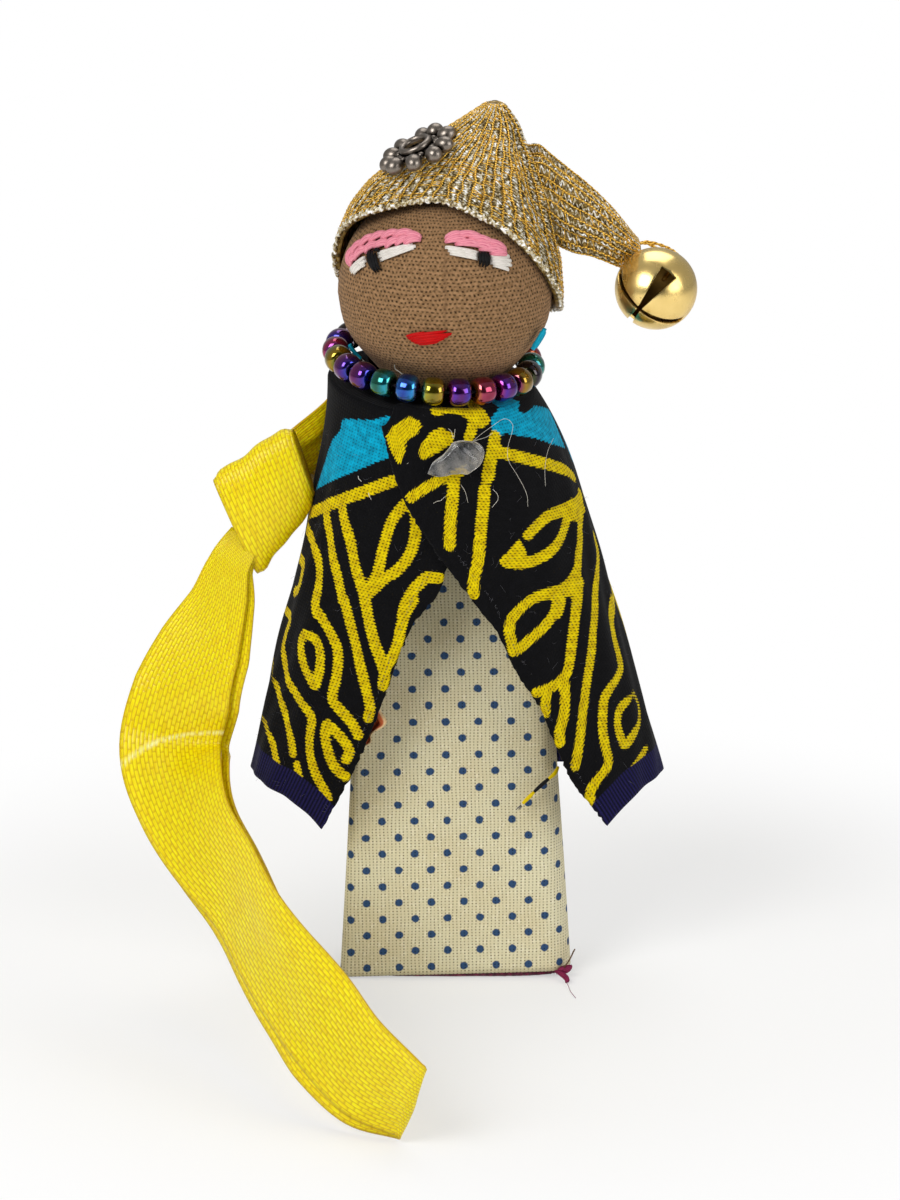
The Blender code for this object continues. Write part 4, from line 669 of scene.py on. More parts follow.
def buildCape():
    columns, rows = cape["columns"], cape["rows"]
    across, down = np.meshgrid(np.linspace(0, 1, columns + 1), np.linspace(0, 1, rows + 1), indexing="ij")
    points, degrees, height = capeGrid(across, down)

    # the cut edges are nibbled, the hem is the straight woven edge
    nibble = np.array([0.25 * noise.noise(Vector((0.9 * d, 3.1, 0))) for d in range(2 * (rows + 1))])
    points[0] += (points[1] - points[0]) * (nibble[: rows + 1, None] * 3.0)
    points[-1] += (points[-2] - points[-1]) * (nibble[rows + 1 :, None] * 3.0)

    # lay the cloth out flat, column beside column, for its weave
    flat = np.zeros((columns + 1, rows + 1, 2))
    lengths = np.zeros((columns + 1, rows + 1))
    lengths[:, 1:] = np.cumsum(np.sqrt(((points[:, 1:] - points[:, :-1]) ** 2).sum(-1)), axis=1)
    top, foot = np.array([0.0, 0.0]), np.array([0.0, -lengths[0, -1]])
    for i in range(columns + 1):
        if i:
            wide = np.linalg.norm(points[i, rows // 5] - points[i - 1, rows // 5])
            wideFoot = np.linalg.norm(points[i, -1] - points[i - 1, -1])
            along = (foot - top) / np.linalg.norm(foot - top)
            side = np.array([-along[1], along[0]])
            top, foot = top + side * wide, foot + side * wideFoot
            foot = top + (foot - top) / np.linalg.norm(foot - top) * lengths[i, -1]
        share = (lengths[i] / lengths[i, -1])[:, None]
        flat[i] = top + (foot - top) * share

    spots = points.reshape(-1, 3)
    angles = degrees.reshape(-1)
    levels = height.reshape(-1)
    fields = {name: np.full(len(spots), 99.0) for name in ("yellow", "blue", "navy")}
    left, right = angles > -104, angles < -256
    groups = (
        (left, capeLeftLines, capeLeftRings, capeLeftBlue, ()),
        (right, capeRightLines, capeRightRings, capeRightBlue, capeRightYellow),
        (angles < -95, capeBackLines, capeBackRings, capeBackBlue, ()),
    )
    for picked, lines, rings, blues, yellows in groups:
        if lines is capeBackLines:
            picked = (angles < -90) & (angles > -268)
        yellow, blue = fields["yellow"][picked], fields["blue"][picked]
        for width, line in lines:
            lineDistance(spots[picked], line, width, yellow)
        for width, line in rings:
            lineDistance(spots[picked], line, width, yellow, closed=True)
        for outline in blues:
            fillDistance(spots[picked], angles[picked], levels[picked], outline, blue)
        for outline in yellows:
            fillDistance(spots[picked], angles[picked], levels[picked], outline, yellow)
        fields["yellow"][picked], fields["blue"][picked] = yellow, blue
    fields["yellow"] -= cape["bleed"]
    fields["navy"] = (lengths[:, -1:] - lengths).reshape(-1) - cape["hemBand"]

    bm = bmesh.new()
    uvLayer = bm.loops.layers.uv.new("cloth")
    layers = {name: bm.verts.layers.float.new(name) for name in fields}
    made = bmesh.ops.create_grid(bm, x_segments=columns, y_segments=rows, size=1)["verts"]
    for vertex in made:
        i, j = round((vertex.co.x + 1) / 2 * columns), round((vertex.co.y + 1) / 2 * rows)
        spot = i * (rows + 1) + j
        vertex.index = spot
        vertex.co = points[i, j] * mm
        for name, layer in layers.items():
            vertex[layer] = fields[name][spot]
    for face in bm.faces:
        for loop in face.loops:
            loop[uvLayer].uv = flat[divmod(loop.vert.index, rows + 1)]
    cloth = finishPiece("capeCloth", bm, buildWaxPrint(), "doll", ("cape",))
    addSolidify(cloth, cape["thickness"])
    applyModifiers(cloth)
    wide = float(np.linalg.norm(flat[-1, -1] - flat[0, -1]))
    area = float(
        np.sqrt((np.cross(points[1:, :-1] - points[:-1, :-1], points[:-1, 1:] - points[:-1, :-1]) ** 2).sum(-1)).sum()
    )
    print(
        "doll: cape flat", round(flat[..., 0].max() - flat[..., 0].min(), 1),
        round(flat[..., 1].max() - flat[..., 1].min(), 1), "area", round(area),
    )
    return cloth


capeCloth = buildCape()


dress = {
    "height": 84.0,
    "hem": (34.4, 13.0),  # width and depth
    "top": (24.0, 11.0),
    "corners": (1.4, 3.7),
    "thickness": 0.3,
    "columnPitch": 0.56,  # drop-stitch lines run down the cloth this far apart
    "holePitch": 0.46,
    "dotPitch": (4.8, 2.55),
    "dotRadius": 0.6,
    "cloth": "DDD7B6",
    "thread": "F1EAD2",
    # hole: painted shade for the openwork's holes
    "hole": "776D50",
    "dot": "0A3F70",
}


def dressSection(height, steps=10, outward=0.0):
    share = height / dress["height"]
    halfWidth = (dress["hem"][0] + (dress["top"][0] - dress["hem"][0]) * share) / 2 + outward
    halfDepth = (dress["hem"][1] + (dress["top"][1] - dress["hem"][1]) * share) / 2 + outward
    points = []
    for quarter in range(4):
        right = quarter in (0, 3)
        corner = dress["corners"][1 if right else 0] + outward
        centre = ((halfWidth - corner) * (1 if right else -1), (halfDepth - corner) * (1 if quarter < 2 else -1))
        for step in range(steps + 1):
            angle = math.radians(90 * (quarter + step / steps))
            points.append((centre[0] + corner * math.cos(angle), centre[1] + corner * math.sin(angle)))
    return points


def buildOpenwork():
    # dotted openwork cotton: stiffened, with lines of small square holes between the warp yarns; the holes are not cut
    # but painted darker, as painted shade
    cotton, tree, shader = newMaterial("dotted openwork cotton", Roughness=0.9, Sheen_Weight=0.05)
    shader.inputs["Specular IOR Level"].default_value = 0.12
    cloth = addNode(tree, "UVMap", {"uv_map": "cloth"})
    bend = addNode(tree, "TexNoise", {}, {"Vector": cloth, "Scale": 0.16, "Detail": 2.0})
    split = addNode(tree, "SeparateXYZ", {}, {0: cloth}, out=None)
    across = addNode(tree, "Math", "ADD", (split.outputs[0], addNode(tree, "Math", "MULTIPLY", (bend, 0.6))))
    down = split.outputs[1]
    column = addNode(
        tree, "Math", "COSINE", {0: addNode(tree, "Math", "MULTIPLY", (across, 2 * math.pi / dress["columnPitch"]))}
    )
    rung = addNode(
        tree, "Math", "COSINE", {0: addNode(tree, "Math", "MULTIPLY", (down, 2 * math.pi / dress["holePitch"]))}
    )
    gap = addNode(
        tree, "Math", "MULTIPLY",
        (
            addNode(tree, "ValToRGB", ((0.1, 0.0), (0.65, 1.0)), {0: column}),
            addNode(tree, "ValToRGB", ((0.0, 0.1), (0.6, 1.0)), {0: rung}),
        ),
    )
    uneven = addNode(tree, "TexNoise", {}, {"Vector": cloth, "Scale": 1.3, "Detail": 3.0})
    gap = addNode(tree, "Math", "MULTIPLY", (gap, addNode(tree, "ValToRGB", ((0.34, 0.35), (0.6, 1.0)), {0: uneven})))
    tint = addNode(tree, "TexNoise", {}, {"Vector": cloth, "Scale": 0.09, "Detail": 3.0})
    shade = addNode(
        tree, "Mix", {"data_type": "RGBA"},
        {0: addNode(tree, "ValToRGB", ((0.35, 0.0), (0.68, 1.0)), {0: tint}), 6: dress["cloth"], 7: "D6CBA6"},
        2,
    )
    shade = addNode(
        tree, "Mix", {"data_type": "RGBA"},
        {0: addNode(tree, "ValToRGB", ((0.5, 0.0), (0.75, 0.6)), {0: uneven}), 6: shade, 7: dress["thread"]},
        2,
    )
    # painted shade: the holes take the darker hole colour
    shade = addNode(tree, "Mix", {"data_type": "RGBA"}, {0: gap, 6: shade, 7: dress["hole"]}, 2)
    # printed dots, staggered from row to row, their rims eaten by the weave
    pitchX, pitchY = dress["dotPitch"]
    row = addNode(tree, "Math", "FLOOR", {0: addNode(tree, "Math", "DIVIDE", (down, pitchY))})
    odd = addNode(
        tree, "Math", "MULTIPLY",
        (addNode(tree, "Math", "FRACT", {0: addNode(tree, "Math", "MULTIPLY", (row, 0.5))}), pitchX),
    )
    shiftX = addNode(tree, "Math", "ADD", (split.outputs[0], odd))
    cellX = addNode(
        tree, "Math", "SUBTRACT",
        (addNode(tree, "Math", "FRACT", {0: addNode(tree, "Math", "DIVIDE", (shiftX, pitchX))}), 0.5),
    )
    cellY = addNode(
        tree, "Math", "SUBTRACT",
        (addNode(tree, "Math", "FRACT", {0: addNode(tree, "Math", "DIVIDE", (down, pitchY))}), 0.5),
    )
    placeX = addNode(tree, "Math", "MULTIPLY", (cellX, pitchX))
    placeY = addNode(tree, "Math", "MULTIPLY", (cellY, pitchY))
    far = addNode(
        tree, "Math", "SQRT",
        {0: addNode(
            tree, "Math", "ADD",
            (
                addNode(tree, "Math", "MULTIPLY", (placeX, placeX)),
                addNode(tree, "Math", "MULTIPLY", (placeY, placeY)),
            ),
        )},
    )
    far = addNode(
        tree, "Math", "ADD",
        (far, addNode(tree, "Math", "MULTIPLY", (addNode(tree, "Math", "SUBTRACT", (uneven, 0.5)), 0.35))),
    )
    dot = addNode(
        tree, "Math", "SUBTRACT",
        (0.5, addNode(tree, "Math", "DIVIDE", (addNode(tree, "Math", "SUBTRACT", (far, dress["dotRadius"])), 0.14))),
    )
    dot.node.use_clamp = True
    # the dots darken in the holes too, as painted shade
    ink = addNode(tree, "Mix", {"data_type": "RGBA"}, {0: gap, 6: dress["dot"], 7: "0E2438"}, 2)
    shade = addNode(
        tree, "Mix", {"data_type": "RGBA"}, {0: addNode(tree, "Math", "MULTIPLY", (dot, 0.96)), 6: shade, 7: ink}, 2
    )
    tree.links.new(shade, shader.inputs["Base Color"])
    relief = addNode(tree, "Math", "SUBTRACT", (addNode(tree, "Math", "MULTIPLY", (uneven, 0.5)), gap))
    bump = addNode(tree, "Bump", {}, {"Strength": 0.5, "Distance": 0.12 * mm, "Height": relief})
    tree.links.new(bump, shader.inputs["Normal"])
    return cotton


def buildDress():
    rows = 84
    outlines = [dressSection(dress["height"] * row / rows) for row in range(rows + 1)]
    count = len(outlines[0])
    points = [[Vector((*pair, 0)) for pair in outline] for outline in outlines]
    # the same number of columns on each side at every height
    fills = {10: 8, 21: 30, 32: 8, 43: 30}

    def full(row):
        ring = []
        for index, point in enumerate(points[row]):
            after = points[row][(index + 1) % count]
            pieces = fills.get(index, 1)
            ring += [point.lerp(after, step / pieces) for step in range(pieces)]
        return ring

    rings = [full(row) for row in range(rows + 1)]
    total = len(rings[0])
    lengths = [[0.0] for _ in rings]
    for row, ring in enumerate(rings):
        for index in range(total):
            lengths[row].append(lengths[row][-1] + (ring[(index + 1) % total] - ring[index]).length)

    def place(around, up):
        index, row = round(around * total), round(up * rows)
        spot = rings[row][index % total]
        tall = dress["height"] * row / rows
        hem = 0.3 + 1.0 * (spot.x + 17.2) / 34.4
        tall = hem + (dress["height"] - hem) * up
        fade = math.sin(math.pi * min(tall / 60, 1.0))
        soft = 0.12 * noise.noise(Vector((0.25 * spot.x, spot.y, 0.09 * tall))) * (1 + fade)
        return (spot.x + leanAt(tall) + 0.1 * soft, spot.y + (soft if abs(spot.y) > 4 else 0), tall)

    bm = bmesh.new()
    uvLayer = bm.loops.layers.uv.new("cloth")
    made = bmesh.ops.create_grid(bm, x_segments=total, y_segments=rows, size=1)["verts"]
    spots = {}
    for vertex in made:
        around, up = (vertex.co.x + 1) / 2, (vertex.co.y + 1) / 2
        index, row = round(around * total), round(up * rows)
        # measured from the middle of the front, so that the grain hangs straight there
        middle = lengths[row][frontIndex(rings[row])]
        spots[vertex] = (lengths[row][index] - middle, dress["height"] * row / rows)
        vertex.co = Vector(place(around, up)) * mm
    for face in bm.faces:
        for loop in face.loops:
            loop[uvLayer].uv = spots[loop.vert]
    bmesh.ops.remove_doubles(bm, verts=bm.verts, dist=0.005 * mm)
    bmesh.ops.recalc_face_normals(bm, faces=bm.faces)
    gown = finishPiece("dressCloth", bm, buildOpenwork(), "doll", ("dress",))
    addSolidify(gown, dress["thickness"], -1)
    applyModifiers(gown)
    print("doll: dress is on")


def frontIndex(ring):
    return min(range(len(ring)), key=lambda index: abs(ring[index].x + 0.2) + (50 if ring[index].y > 0 else 0))


buildDress()


head = {
    "centre": (-1.5, -1.0, 103.6055),
    "radius": 15.5,
    "columnPitch": 0.66,
    "rowPitch": 0.6,
    "yarn": "A07C57",
    "yarnDark": "785A3B",
    # gap: painted shade in the hollows between stitches
    "gap": "2C1D10",
}
headChin = ((-0.981, 0.29), (-0.903, 0.426), (-0.774, 0.574), (-0.645, 0.69), (-0.452, 0.852), (-0.258, 0.955))


def headProfile():
    profile = [(height * head["radius"], reach * head["radius"]) for height, reach in headChin]
    for step in range(25):
        angle = math.radians(90 * step / 24)
        profile.append((head["radius"] * math.sin(angle), max(head["radius"] * math.cos(angle), 0.0)))
    return profile


def headRadiusAt(rise):
    heights, radii = zip(*headProfile())
    return float(np.interp(rise, heights, radii))


# a point in front of the face: shares of the head's radius across and up, off the skin by lift
def facePoint(across, up, lift):
    across, up = across * head["radius"], up * head["radius"]
    radius = headRadiusAt(up)
    out = Vector((across, -math.sqrt(max(radius**2 - across**2, 0.01)), up))
    return Vector(head["centre"]) + out + out.normalized() * lift


def buildStocking():
    # brown stocking net: knitted rows; the dark gap beside every stitch is painted shade
    knit, tree, shader = newMaterial("brown stocking knit", Roughness=0.85, Sheen_Weight=0.05, Sheen_Roughness=0.5)
    shader.inputs["Specular IOR Level"].default_value = 0.12
    cloth = addNode(tree, "UVMap", {"uv_map": "cloth"})
    bend = addNode(tree, "TexNoise", {}, {"Vector": cloth, "Scale": 0.35, "Detail": 3.0, "Roughness": 0.55})
    split = addNode(tree, "SeparateXYZ", {}, {0: cloth}, out=None)
    across = addNode(tree, "Math", "ADD", (split.outputs[0], addNode(tree, "Math", "MULTIPLY", (bend, 1.0))))
    down = addNode(tree, "Math", "ADD", (split.outputs[1], addNode(tree, "Math", "MULTIPLY", (bend, 0.9))))
    row = addNode(
        tree, "Math", "COSINE", {0: addNode(tree, "Math", "MULTIPLY", (down, 2 * math.pi / head["rowPitch"]))}
    )
    # stitches step by half a column from row to row
    rowIndex = addNode(
        tree, "Math", "FLOOR", {0: addNode(tree, "Math", "MULTIPLY_ADD", (down, 1 / head["rowPitch"], 0.5))}
    )
    stagger = addNode(
        tree, "Math", "MULTIPLY",
        (
            addNode(tree, "Math", "FRACT", {0: addNode(tree, "Math", "MULTIPLY", (rowIndex, 0.5))}),
            head["columnPitch"],
        ),
    )
    column = addNode(
        tree, "Math", "COSINE",
        {0: addNode(
            tree, "Math", "MULTIPLY",
            (addNode(tree, "Math", "ADD", (across, stagger)), 2 * math.pi / head["columnPitch"]),
        )},
    )
    uneven = addNode(tree, "TexNoise", {}, {"Vector": cloth, "Scale": 1.7, "Detail": 3.0})
    hollow = addNode(
        tree, "Math", "MULTIPLY",
        (
            addNode(
                tree, "ValToRGB", ((0.35, 0.0), (0.8, 1.0)),
                {0: addNode(tree, "Math", "MULTIPLY_ADD", (row, 0.5, 0.5))},
            ),
            addNode(
                tree, "ValToRGB", ((0.3, 0.05), (0.75, 1.0)),
                {0: addNode(tree, "Math", "MULTIPLY_ADD", (column, 0.5, 0.5))},
            ),
        ),
    )
    hollow = addNode(
        tree, "Math", "MULTIPLY", (hollow, addNode(tree, "ValToRGB", ((0.3, 0.45), (0.58, 1.0)), {0: uneven}))
    )
    shade = addNode(
        tree, "Mix", {"data_type": "RGBA"},
        {0: addNode(tree, "ValToRGB", ((0.35, 0.0), (0.7, 1.0)), {0: uneven}), 6: head["yarn"], 7: head["yarnDark"]},
        2,
    )
    # painted shade: the hollows between stitches take the dark gap colour
    shade = addNode(
        tree, "Mix", {"data_type": "RGBA"},
        {0: addNode(tree, "Math", "MULTIPLY", (hollow, 0.9)), 6: shade, 7: head["gap"]},
        2,
    )
    seam = addNode(
        tree, "ValToRGB", ((0.0, 0.5), (0.45, 0.0)), {0: addNode(tree, "Math", "ABSOLUTE", {0: split.outputs[0]})}
    )
    shade = addNode(tree, "Mix", {"data_type": "RGBA"}, {0: seam, 6: shade, 7: "74573C"}, 2)
    tree.links.new(shade, shader.inputs["Base Color"])
    bump = addNode(
        tree, "Bump", {},
        {"Strength": 0.7, "Distance": 0.15 * mm, "Height": addNode(tree, "Math", "SUBTRACT", (uneven, hollow))},
    )
    tree.links.new(bump, shader.inputs["Normal"])
    return knit


def buildHead():
    profile = headProfile()
    profile = [(profile[0][0] - 0.05, profile[0][1] * 0.55), *profile]
    steps, turns = 3, 96
    line = smoothRoute([(reach, 0, height) for height, reach in profile[:8]], steps)[:-1]
    line += [Vector((reach, 0, height)) for height, reach in profile[7:]]
    lengths = [0.0]
    for a, b in zip(line, line[1:]):
        lengths.append(lengths[-1] + (b - a).length)
    total = len(line) - 1
    centre = Vector(head["centre"])

    def place(around, up):
        angle = 2 * math.pi * around
        point = line[round(up * total)]
        uneven = 1 + 0.006 * noise.noise(Vector((2 * math.cos(angle), 2 * math.sin(angle), 0.12 * point.z)))
        reach = max(point.x, 0.0) * uneven
        return centre + Vector((reach * math.sin(angle), reach * math.cos(angle), point.z))

    bm = bmesh.new()
    uvLayer = bm.loops.layers.uv.new("cloth")
    made = bmesh.ops.create_grid(bm, x_segments=turns, y_segments=total, size=1)["verts"]
    spots = {}
    for vertex in made:
        around, up = (vertex.co.x + 1) / 2, (vertex.co.y + 1) / 2
        reach = head["radius"] * (0.55 + 0.45 * line[round(up * total)].x / head["radius"])
        spots[vertex] = ((around - 0.5) * 2 * math.pi * reach, lengths[round(up * total)])
        vertex.co = Vector(place(around, up)) * mm
    for face in bm.faces:
        for loop in face.loops:
            loop[uvLayer].uv = spots[loop.vert]
    bmesh.ops.remove_doubles(bm, verts=bm.verts, dist=0.005 * mm)
    bmesh.ops.contextual_create(bm, geom=[edge for edge in bm.edges if edge.is_boundary])
    bmesh.ops.recalc_face_normals(bm, faces=bm.faces)
    form = finishPiece("headForm", bm, buildStocking(), "doll", ("head_skin", "head_stuffing"))
    print("doll: head is stuffed")


buildHead()


hat = {
    "radius": 16.6,
    "peak": 27.6,
    "wall": 0.7,
    "wales": 46,
    "goldRadius": 0.125,
    "glassRadius": 0.12,
    "rungPitch": 0.84,
    "goldDeep": "B27C12",
}
# level sections: share of the peak's rise, then reach to the left, right, front and back in shares of the radius
hatSections = (
    (-0.236, -0.97, 0.97, 0.94, 0.94), (-0.163, -0.994, 0.994, 0.964, 0.964), (-0.011, -1.012, 1.012, 0.988, 0.994),
    (0.159, -0.982, 0.982, 0.964, 0.976), (0.304, -0.916, 0.91, 0.861, 0.916), (0.449, -0.819, 0.849, 0.675, 0.831),
    (0.558, -0.681, 0.801, 0.518, 0.735), (0.667, -0.464, 0.741, 0.416, 0.62), (0.775, -0.181, 0.675, 0.337, 0.5),
    (0.884, 0.108, 0.608, 0.241, 0.349), (0.957, 0.289, 0.524, 0.145, 0.205), (1.0, 0.392, 0.464, 0.066, 0.072),
)
# the brim: degrees round from the left past the front, then its rise in shares of the head's radius
hatBrim = (
    (-180, 0.516), (-171, 0.645), (-144, 0.832), (-120, 0.935), (-100, 0.98), (-84, 0.923), (-57, 0.742),
    (-39, 0.516), (-22, 0.174), (-5, -0.14), (20, -0.26), (60, -0.335), (90, -0.355), (130, -0.26), (160, 0.065),
    (172, 0.32), (180, 0.516),
)


def hatTable(column):
    shares = np.linspace(-0.3, 1.0, 261)
    values = np.interp(shares, [row[0] for row in hatSections], [row[column] for row in hatSections])
    padded = np.concatenate([np.full(8, values[0]), values, 2 * values[-1] - values[-2:-10:-1]])
    kernel = np.hanning(17)
    return shares, np.convolve(padded, kernel / kernel.sum(), mode="valid")


hatTables = [hatTable(column) for column in range(1, 5)]


def brimRise(angle):
    degrees = (math.degrees(angle) + 180) % 360 - 180
    near = [np.interp((degrees + step + 180) % 360 - 180, *zip(*hatBrim)) for step in (-6, -3, 0, 3, 6)]
    return float(sum(near)) / 5 * head["radius"]


# the hat's outside: angle from the left past the front, up from the brim (0) to the peak (1)
def hatPoint(angle, up, lift=0.0):
    brim = brimRise(angle)
    rise = brim + (hat["peak"] - brim) * up
    share = rise / hat["peak"]
    left, right, front, back = (hat["radius"] * float(np.interp(share, *table)) for table in hatTables)
    across = (left + right) / 2 + (right - left) / 2 * math.cos(angle)
    depth = back if math.sin(angle) > 0 else front
    spot = Vector((across, depth * math.sin(angle), rise))
    # soft gathers above the brow, a crease up the right fold
    gather = 0.22 * math.sin(9 * angle + 5 * up) * smoothstep(up * 3) * (1 - up)
    crease = -0.9 * math.exp(-(((angle + 0.42) / 0.16) ** 2)) * float(smoothstep((up - 0.15) * 2)) * (1 - up * 0.7)
    crease += 0.7 * math.exp(-(((angle + 0.12) / 0.16) ** 2)) * float(smoothstep((up - 0.1) * 2)) * (1 - up * 0.7)
    out = Vector((math.cos(angle), math.sin(angle), 0.35)).normalized()
    return Vector(head["centre"]) + spot + out * (gather + crease + lift)


tail = {
    "lobes": 7,
    "lobeDepth": 0.24,
    "depthShare": 0.74,
    "wales": 24,
}
# stations along the tail: middle, then half its height; the last ones lie behind the bell
tailWay = (
    ((6.4, 2.4, 119.6), 4.6),
    ((10.2, 2.3, 117.9), 6.2), ((12.6, 2.2, 117.3), 6.9), ((14.5, 2.2, 115.9), 6.8), ((16.4, 2.2, 114.7), 6.4),
    ((18.7, 2.4, 113.5), 5.6), ((20.9, 2.7, 112.1), 5.0), ((23.0, 3.1, 110.5), 4.3), ((24.5, 3.5, 109.5), 3.3),
    ((25.8, 3.9, 108.7), 2.2), ((26.8, 4.1, 108.4), 1.2),
)
tailMiddles = smoothRoute([row[0] for row in tailWay], 12)
tailHalves = np.interp(
    np.linspace(0, len(tailWay) - 1, len(tailMiddles)), range(len(tailWay)), [row[1] for row in tailWay]
)


def tailPoint(angle, along, lift=0.0):
    place = along * (len(tailMiddles) - 1)
    index = min(int(place), len(tailMiddles) - 2)
    middle = tailMiddles[index].lerp(tailMiddles[index + 1], place - index)
    half = float(np.interp(place, range(len(tailHalves)), tailHalves))
    lobes = 1 - tail["lobeDepth"] * (1 - abs(math.cos(tail["lobes"] * angle / 2 + 0.4)) ** 0.7)
    up = Vector((-0.1, 0.0, 0.995))
    out = up * math.cos(angle) * half + Vector((0.12, -1.0, 0.0)) * math.sin(angle) * half * tail["depthShare"]
    return middle + out * lobes + out.normalized() * lift


def buildKnitGround():
    # gold and clear knit: the yarn backs between the shiny loops, gold darkened to olive as painted shade, with pale
    # painted glints
    ground, tree, shader = newMaterial("gold knit backs in painted shade", Roughness=0.6, Metallic=0.1)
    spots = addNode(tree, "TexCoord", out=None).outputs["Object"]
    patch = addNode(tree, "TexNoise", {}, {"Vector": spots, "Scale": 1300.0, "Detail": 3.0})
    shade = addNode(
        tree, "Mix", {"data_type": "RGBA"},
        {0: addNode(tree, "ValToRGB", ((0.38, 0.0), (0.6, 1.0)), {0: patch}), 6: "513E0E", 7: "A5853A"},
        2,
    )
    # painted glints: pale specks mixed into the colour
    paintedGlint = addNode(tree, "ValToRGB", ((0.6, 0.0), (0.68, 1.0)), {0: patch})
    shade = addNode(
        tree, "Mix", {"data_type": "RGBA"},
        {0: addNode(tree, "Math", "MULTIPLY", (paintedGlint, 0.5)), 6: shade, 7: "CDBE96"},
        2,
    )
    tree.links.new(shade, shader.inputs["Base Color"])
    bump = addNode(tree, "Bump", {}, {"Strength": 0.8, "Distance": 0.2 * mm, "Height": patch})
    tree.links.new(bump, shader.inputs["Normal"])
    return ground


def buildLurex():
    # metallised film twisted round a core; the bright facets along the yarn are a painted highlight
    lurex, tree, shader = newMaterial("gold lurex yarn with painted glints", Metallic=0.4, Roughness=0.3)
    thread = addNode(tree, "UVMap", {"uv_map": "thread"})
    split = addNode(tree, "SeparateXYZ", {}, {0: thread}, out=None)
    twist = addNode(
        tree, "Math", "ADD",
        (
            addNode(tree, "Math", "MULTIPLY", (split.outputs[1], 2 * math.pi / 0.45)),
            addNode(tree, "Math", "MULTIPLY", (split.outputs[0], 2 * math.pi)),
        ),
    )
    facet = addNode(tree, "Math", "MULTIPLY_ADD", (addNode(tree, "Math", "SINE", {0: twist}), 0.5, 0.5))
    # painted highlight: bright gold on each facet of the twist, deeper gold between them
    shade = addNode(
        tree, "Mix", {"data_type": "RGBA"},
        {0: addNode(tree, "ValToRGB", ((0.2, 0.0), (0.7, 1.0)), {0: facet}), 6: hat["goldDeep"], 7: "FFD058"},
        2,
    )
    tree.links.new(shade, shader.inputs["Base Color"])
    bump = addNode(tree, "Bump", {}, {"Strength": 0.4, "Distance": 0.05 * mm, "Height": facet})
    tree.links.new(bump, shader.inputs["Normal"])
    return lurex


def buildFilm():
    # clear polyester film yarn: glassy; its hard white glints are painted into the colour and made to glow
    film, tree, shader = newMaterial(
        "clear film yarn with painted glints and shade", Emission_Color="FFFDF4", Roughness=0.2, Transmission_Weight=0.15, IOR=1.55
    )
    shader.inputs["Coat Weight"].default_value = 0.6
    shader.inputs["Coat Roughness"].default_value = 0.05
    # painted glints and painted olive shade, laid by noise over the facets
    spots = addNode(tree, "TexCoord", out=None).outputs["Object"]
    facet = addNode(tree, "TexNoise", {}, {"Vector": spots, "Scale": 1900.0, "Detail": 2.0})
    shade = addNode(
        tree, "ValToRGB", ((0.36, "5C4A20"), (0.46, "B8A165"), (0.56, "EEE6CC"), (0.64, "FFFFFF")), {0: facet}
    )
    tree.links.new(shade, shader.inputs["Base Color"])
    # the brightest painted glints glow a little
    paintedGlintGlow = addNode(tree, "ValToRGB", ((0.62, 0.0), (0.7, 0.35)), {0: facet})
    tree.links.new(paintedGlintGlow, shader.inputs["Emission Strength"])
    return film


# gold yarns up the cloth and clear yarn looped between each two of them
def knitCover(surface, angles, reach, length, ridge=0.2, wave=0.16):
    gold, glass = bmesh.new(), bmesh.new()
    for bm in (gold, glass):
        bm.loops.layers.uv.new("thread")
    count = len(angles)
    for k, angle in enumerate(angles):
        low, high = reach(k)
        rungs = max(int(length * (high - low) / hat["rungPitch"]), 4)
        steps = rungs * 2
        line = []
        for step in range(steps + 1):
            up = low + (high - low) * step / steps
            side = wave * (1 if step % 2 else -1) / 16.0 + 0.05 * noise.noise(Vector((k * 3.1, up * 9, 0)))
            line.append(surface(angle + side, up, ridge + 0.09 * (step % 2)))
        strand(gold, line, hat["goldRadius"], 5)
        # the clear yarn goes on between the wales that are left where the others are taken in
        spans = [(k + 1, low, min(high, reach(k + 1)[1]))]
        if reach(k + 1)[1] < high:
            spans.append((k + 2, reach(k + 1)[1], high))
        for beyond, low, high in spans:
            after = angles[beyond % count] + (2 * math.pi if beyond >= count else 0)
            rungs = max(int(length * (high - low) / hat["rungPitch"]), 3)
            line = []
            for step in range(rungs * 4 + 1):
                up = low + (high - low) * step / (rungs * 4)
                phase = step % 4
                share = (0.06, 0.5, 0.94, 0.5)[phase]
                up += (high - low) / (rungs * 4) * (0.0, -0.35, 0.0, 0.35)[phase]
                lift = (0.02, 0.16, 0.02, 0.2)[phase] + 0.09 * noise.noise(Vector((k * 1.7, step * 0.9, 0)))
                jitter = 0.3 * noise.noise(Vector((step * 1.3, k * 2.1, 4.0)))
                line.append(surface(angle + (after - angle) * (share + jitter), min(up, high), lift))
            strand(glass, line, hat["glassRadius"], 5)
            line = []
            for step in range(rungs * 2 + 1):
                up = low + (high - low) * step / (rungs * 2)
                share = 0.5 + 0.16 * (1 if step % 2 else -1) + 0.3 * noise.noise(Vector((step * 0.7, k * 1.3, 8.0)))
                line.append(surface(
                    angle + (after - angle) * share, up, 0.22 + 0.1 * noise.noise(Vector((step, k, 2.0)))
                ))
            strand(glass, line, hat["glassRadius"] * 0.8, 5)
            # gold floats across the gap, here and there
            for step in range(rungs):
                if noise.noise(Vector((k * 2.3, step * 1.7, 5.0))) < 0.08:
                    continue
                up = low + (high - low) * (step + 0.5 + 0.5 * noise.noise(Vector((step * 2.1, k * 1.9, 3.0)))) / rungs
                rise = 0.4 / length * noise.noise(Vector((k * 4.1, step * 1.3, 7.0)))
                line = [
                    surface(
                        angle + (after - angle) * t, min(up + rise * (t - 0.5) * 4, high),
                        ridge + 0.1 * math.sin(math.pi * t),
                    )
                    for t in (0, 0.33, 0.67, 1)
                ]
                strand(gold, line, hat["goldRadius"] * 0.7, 4)
    closeStrands(gold)
    closeStrands(glass)
    return gold, glass


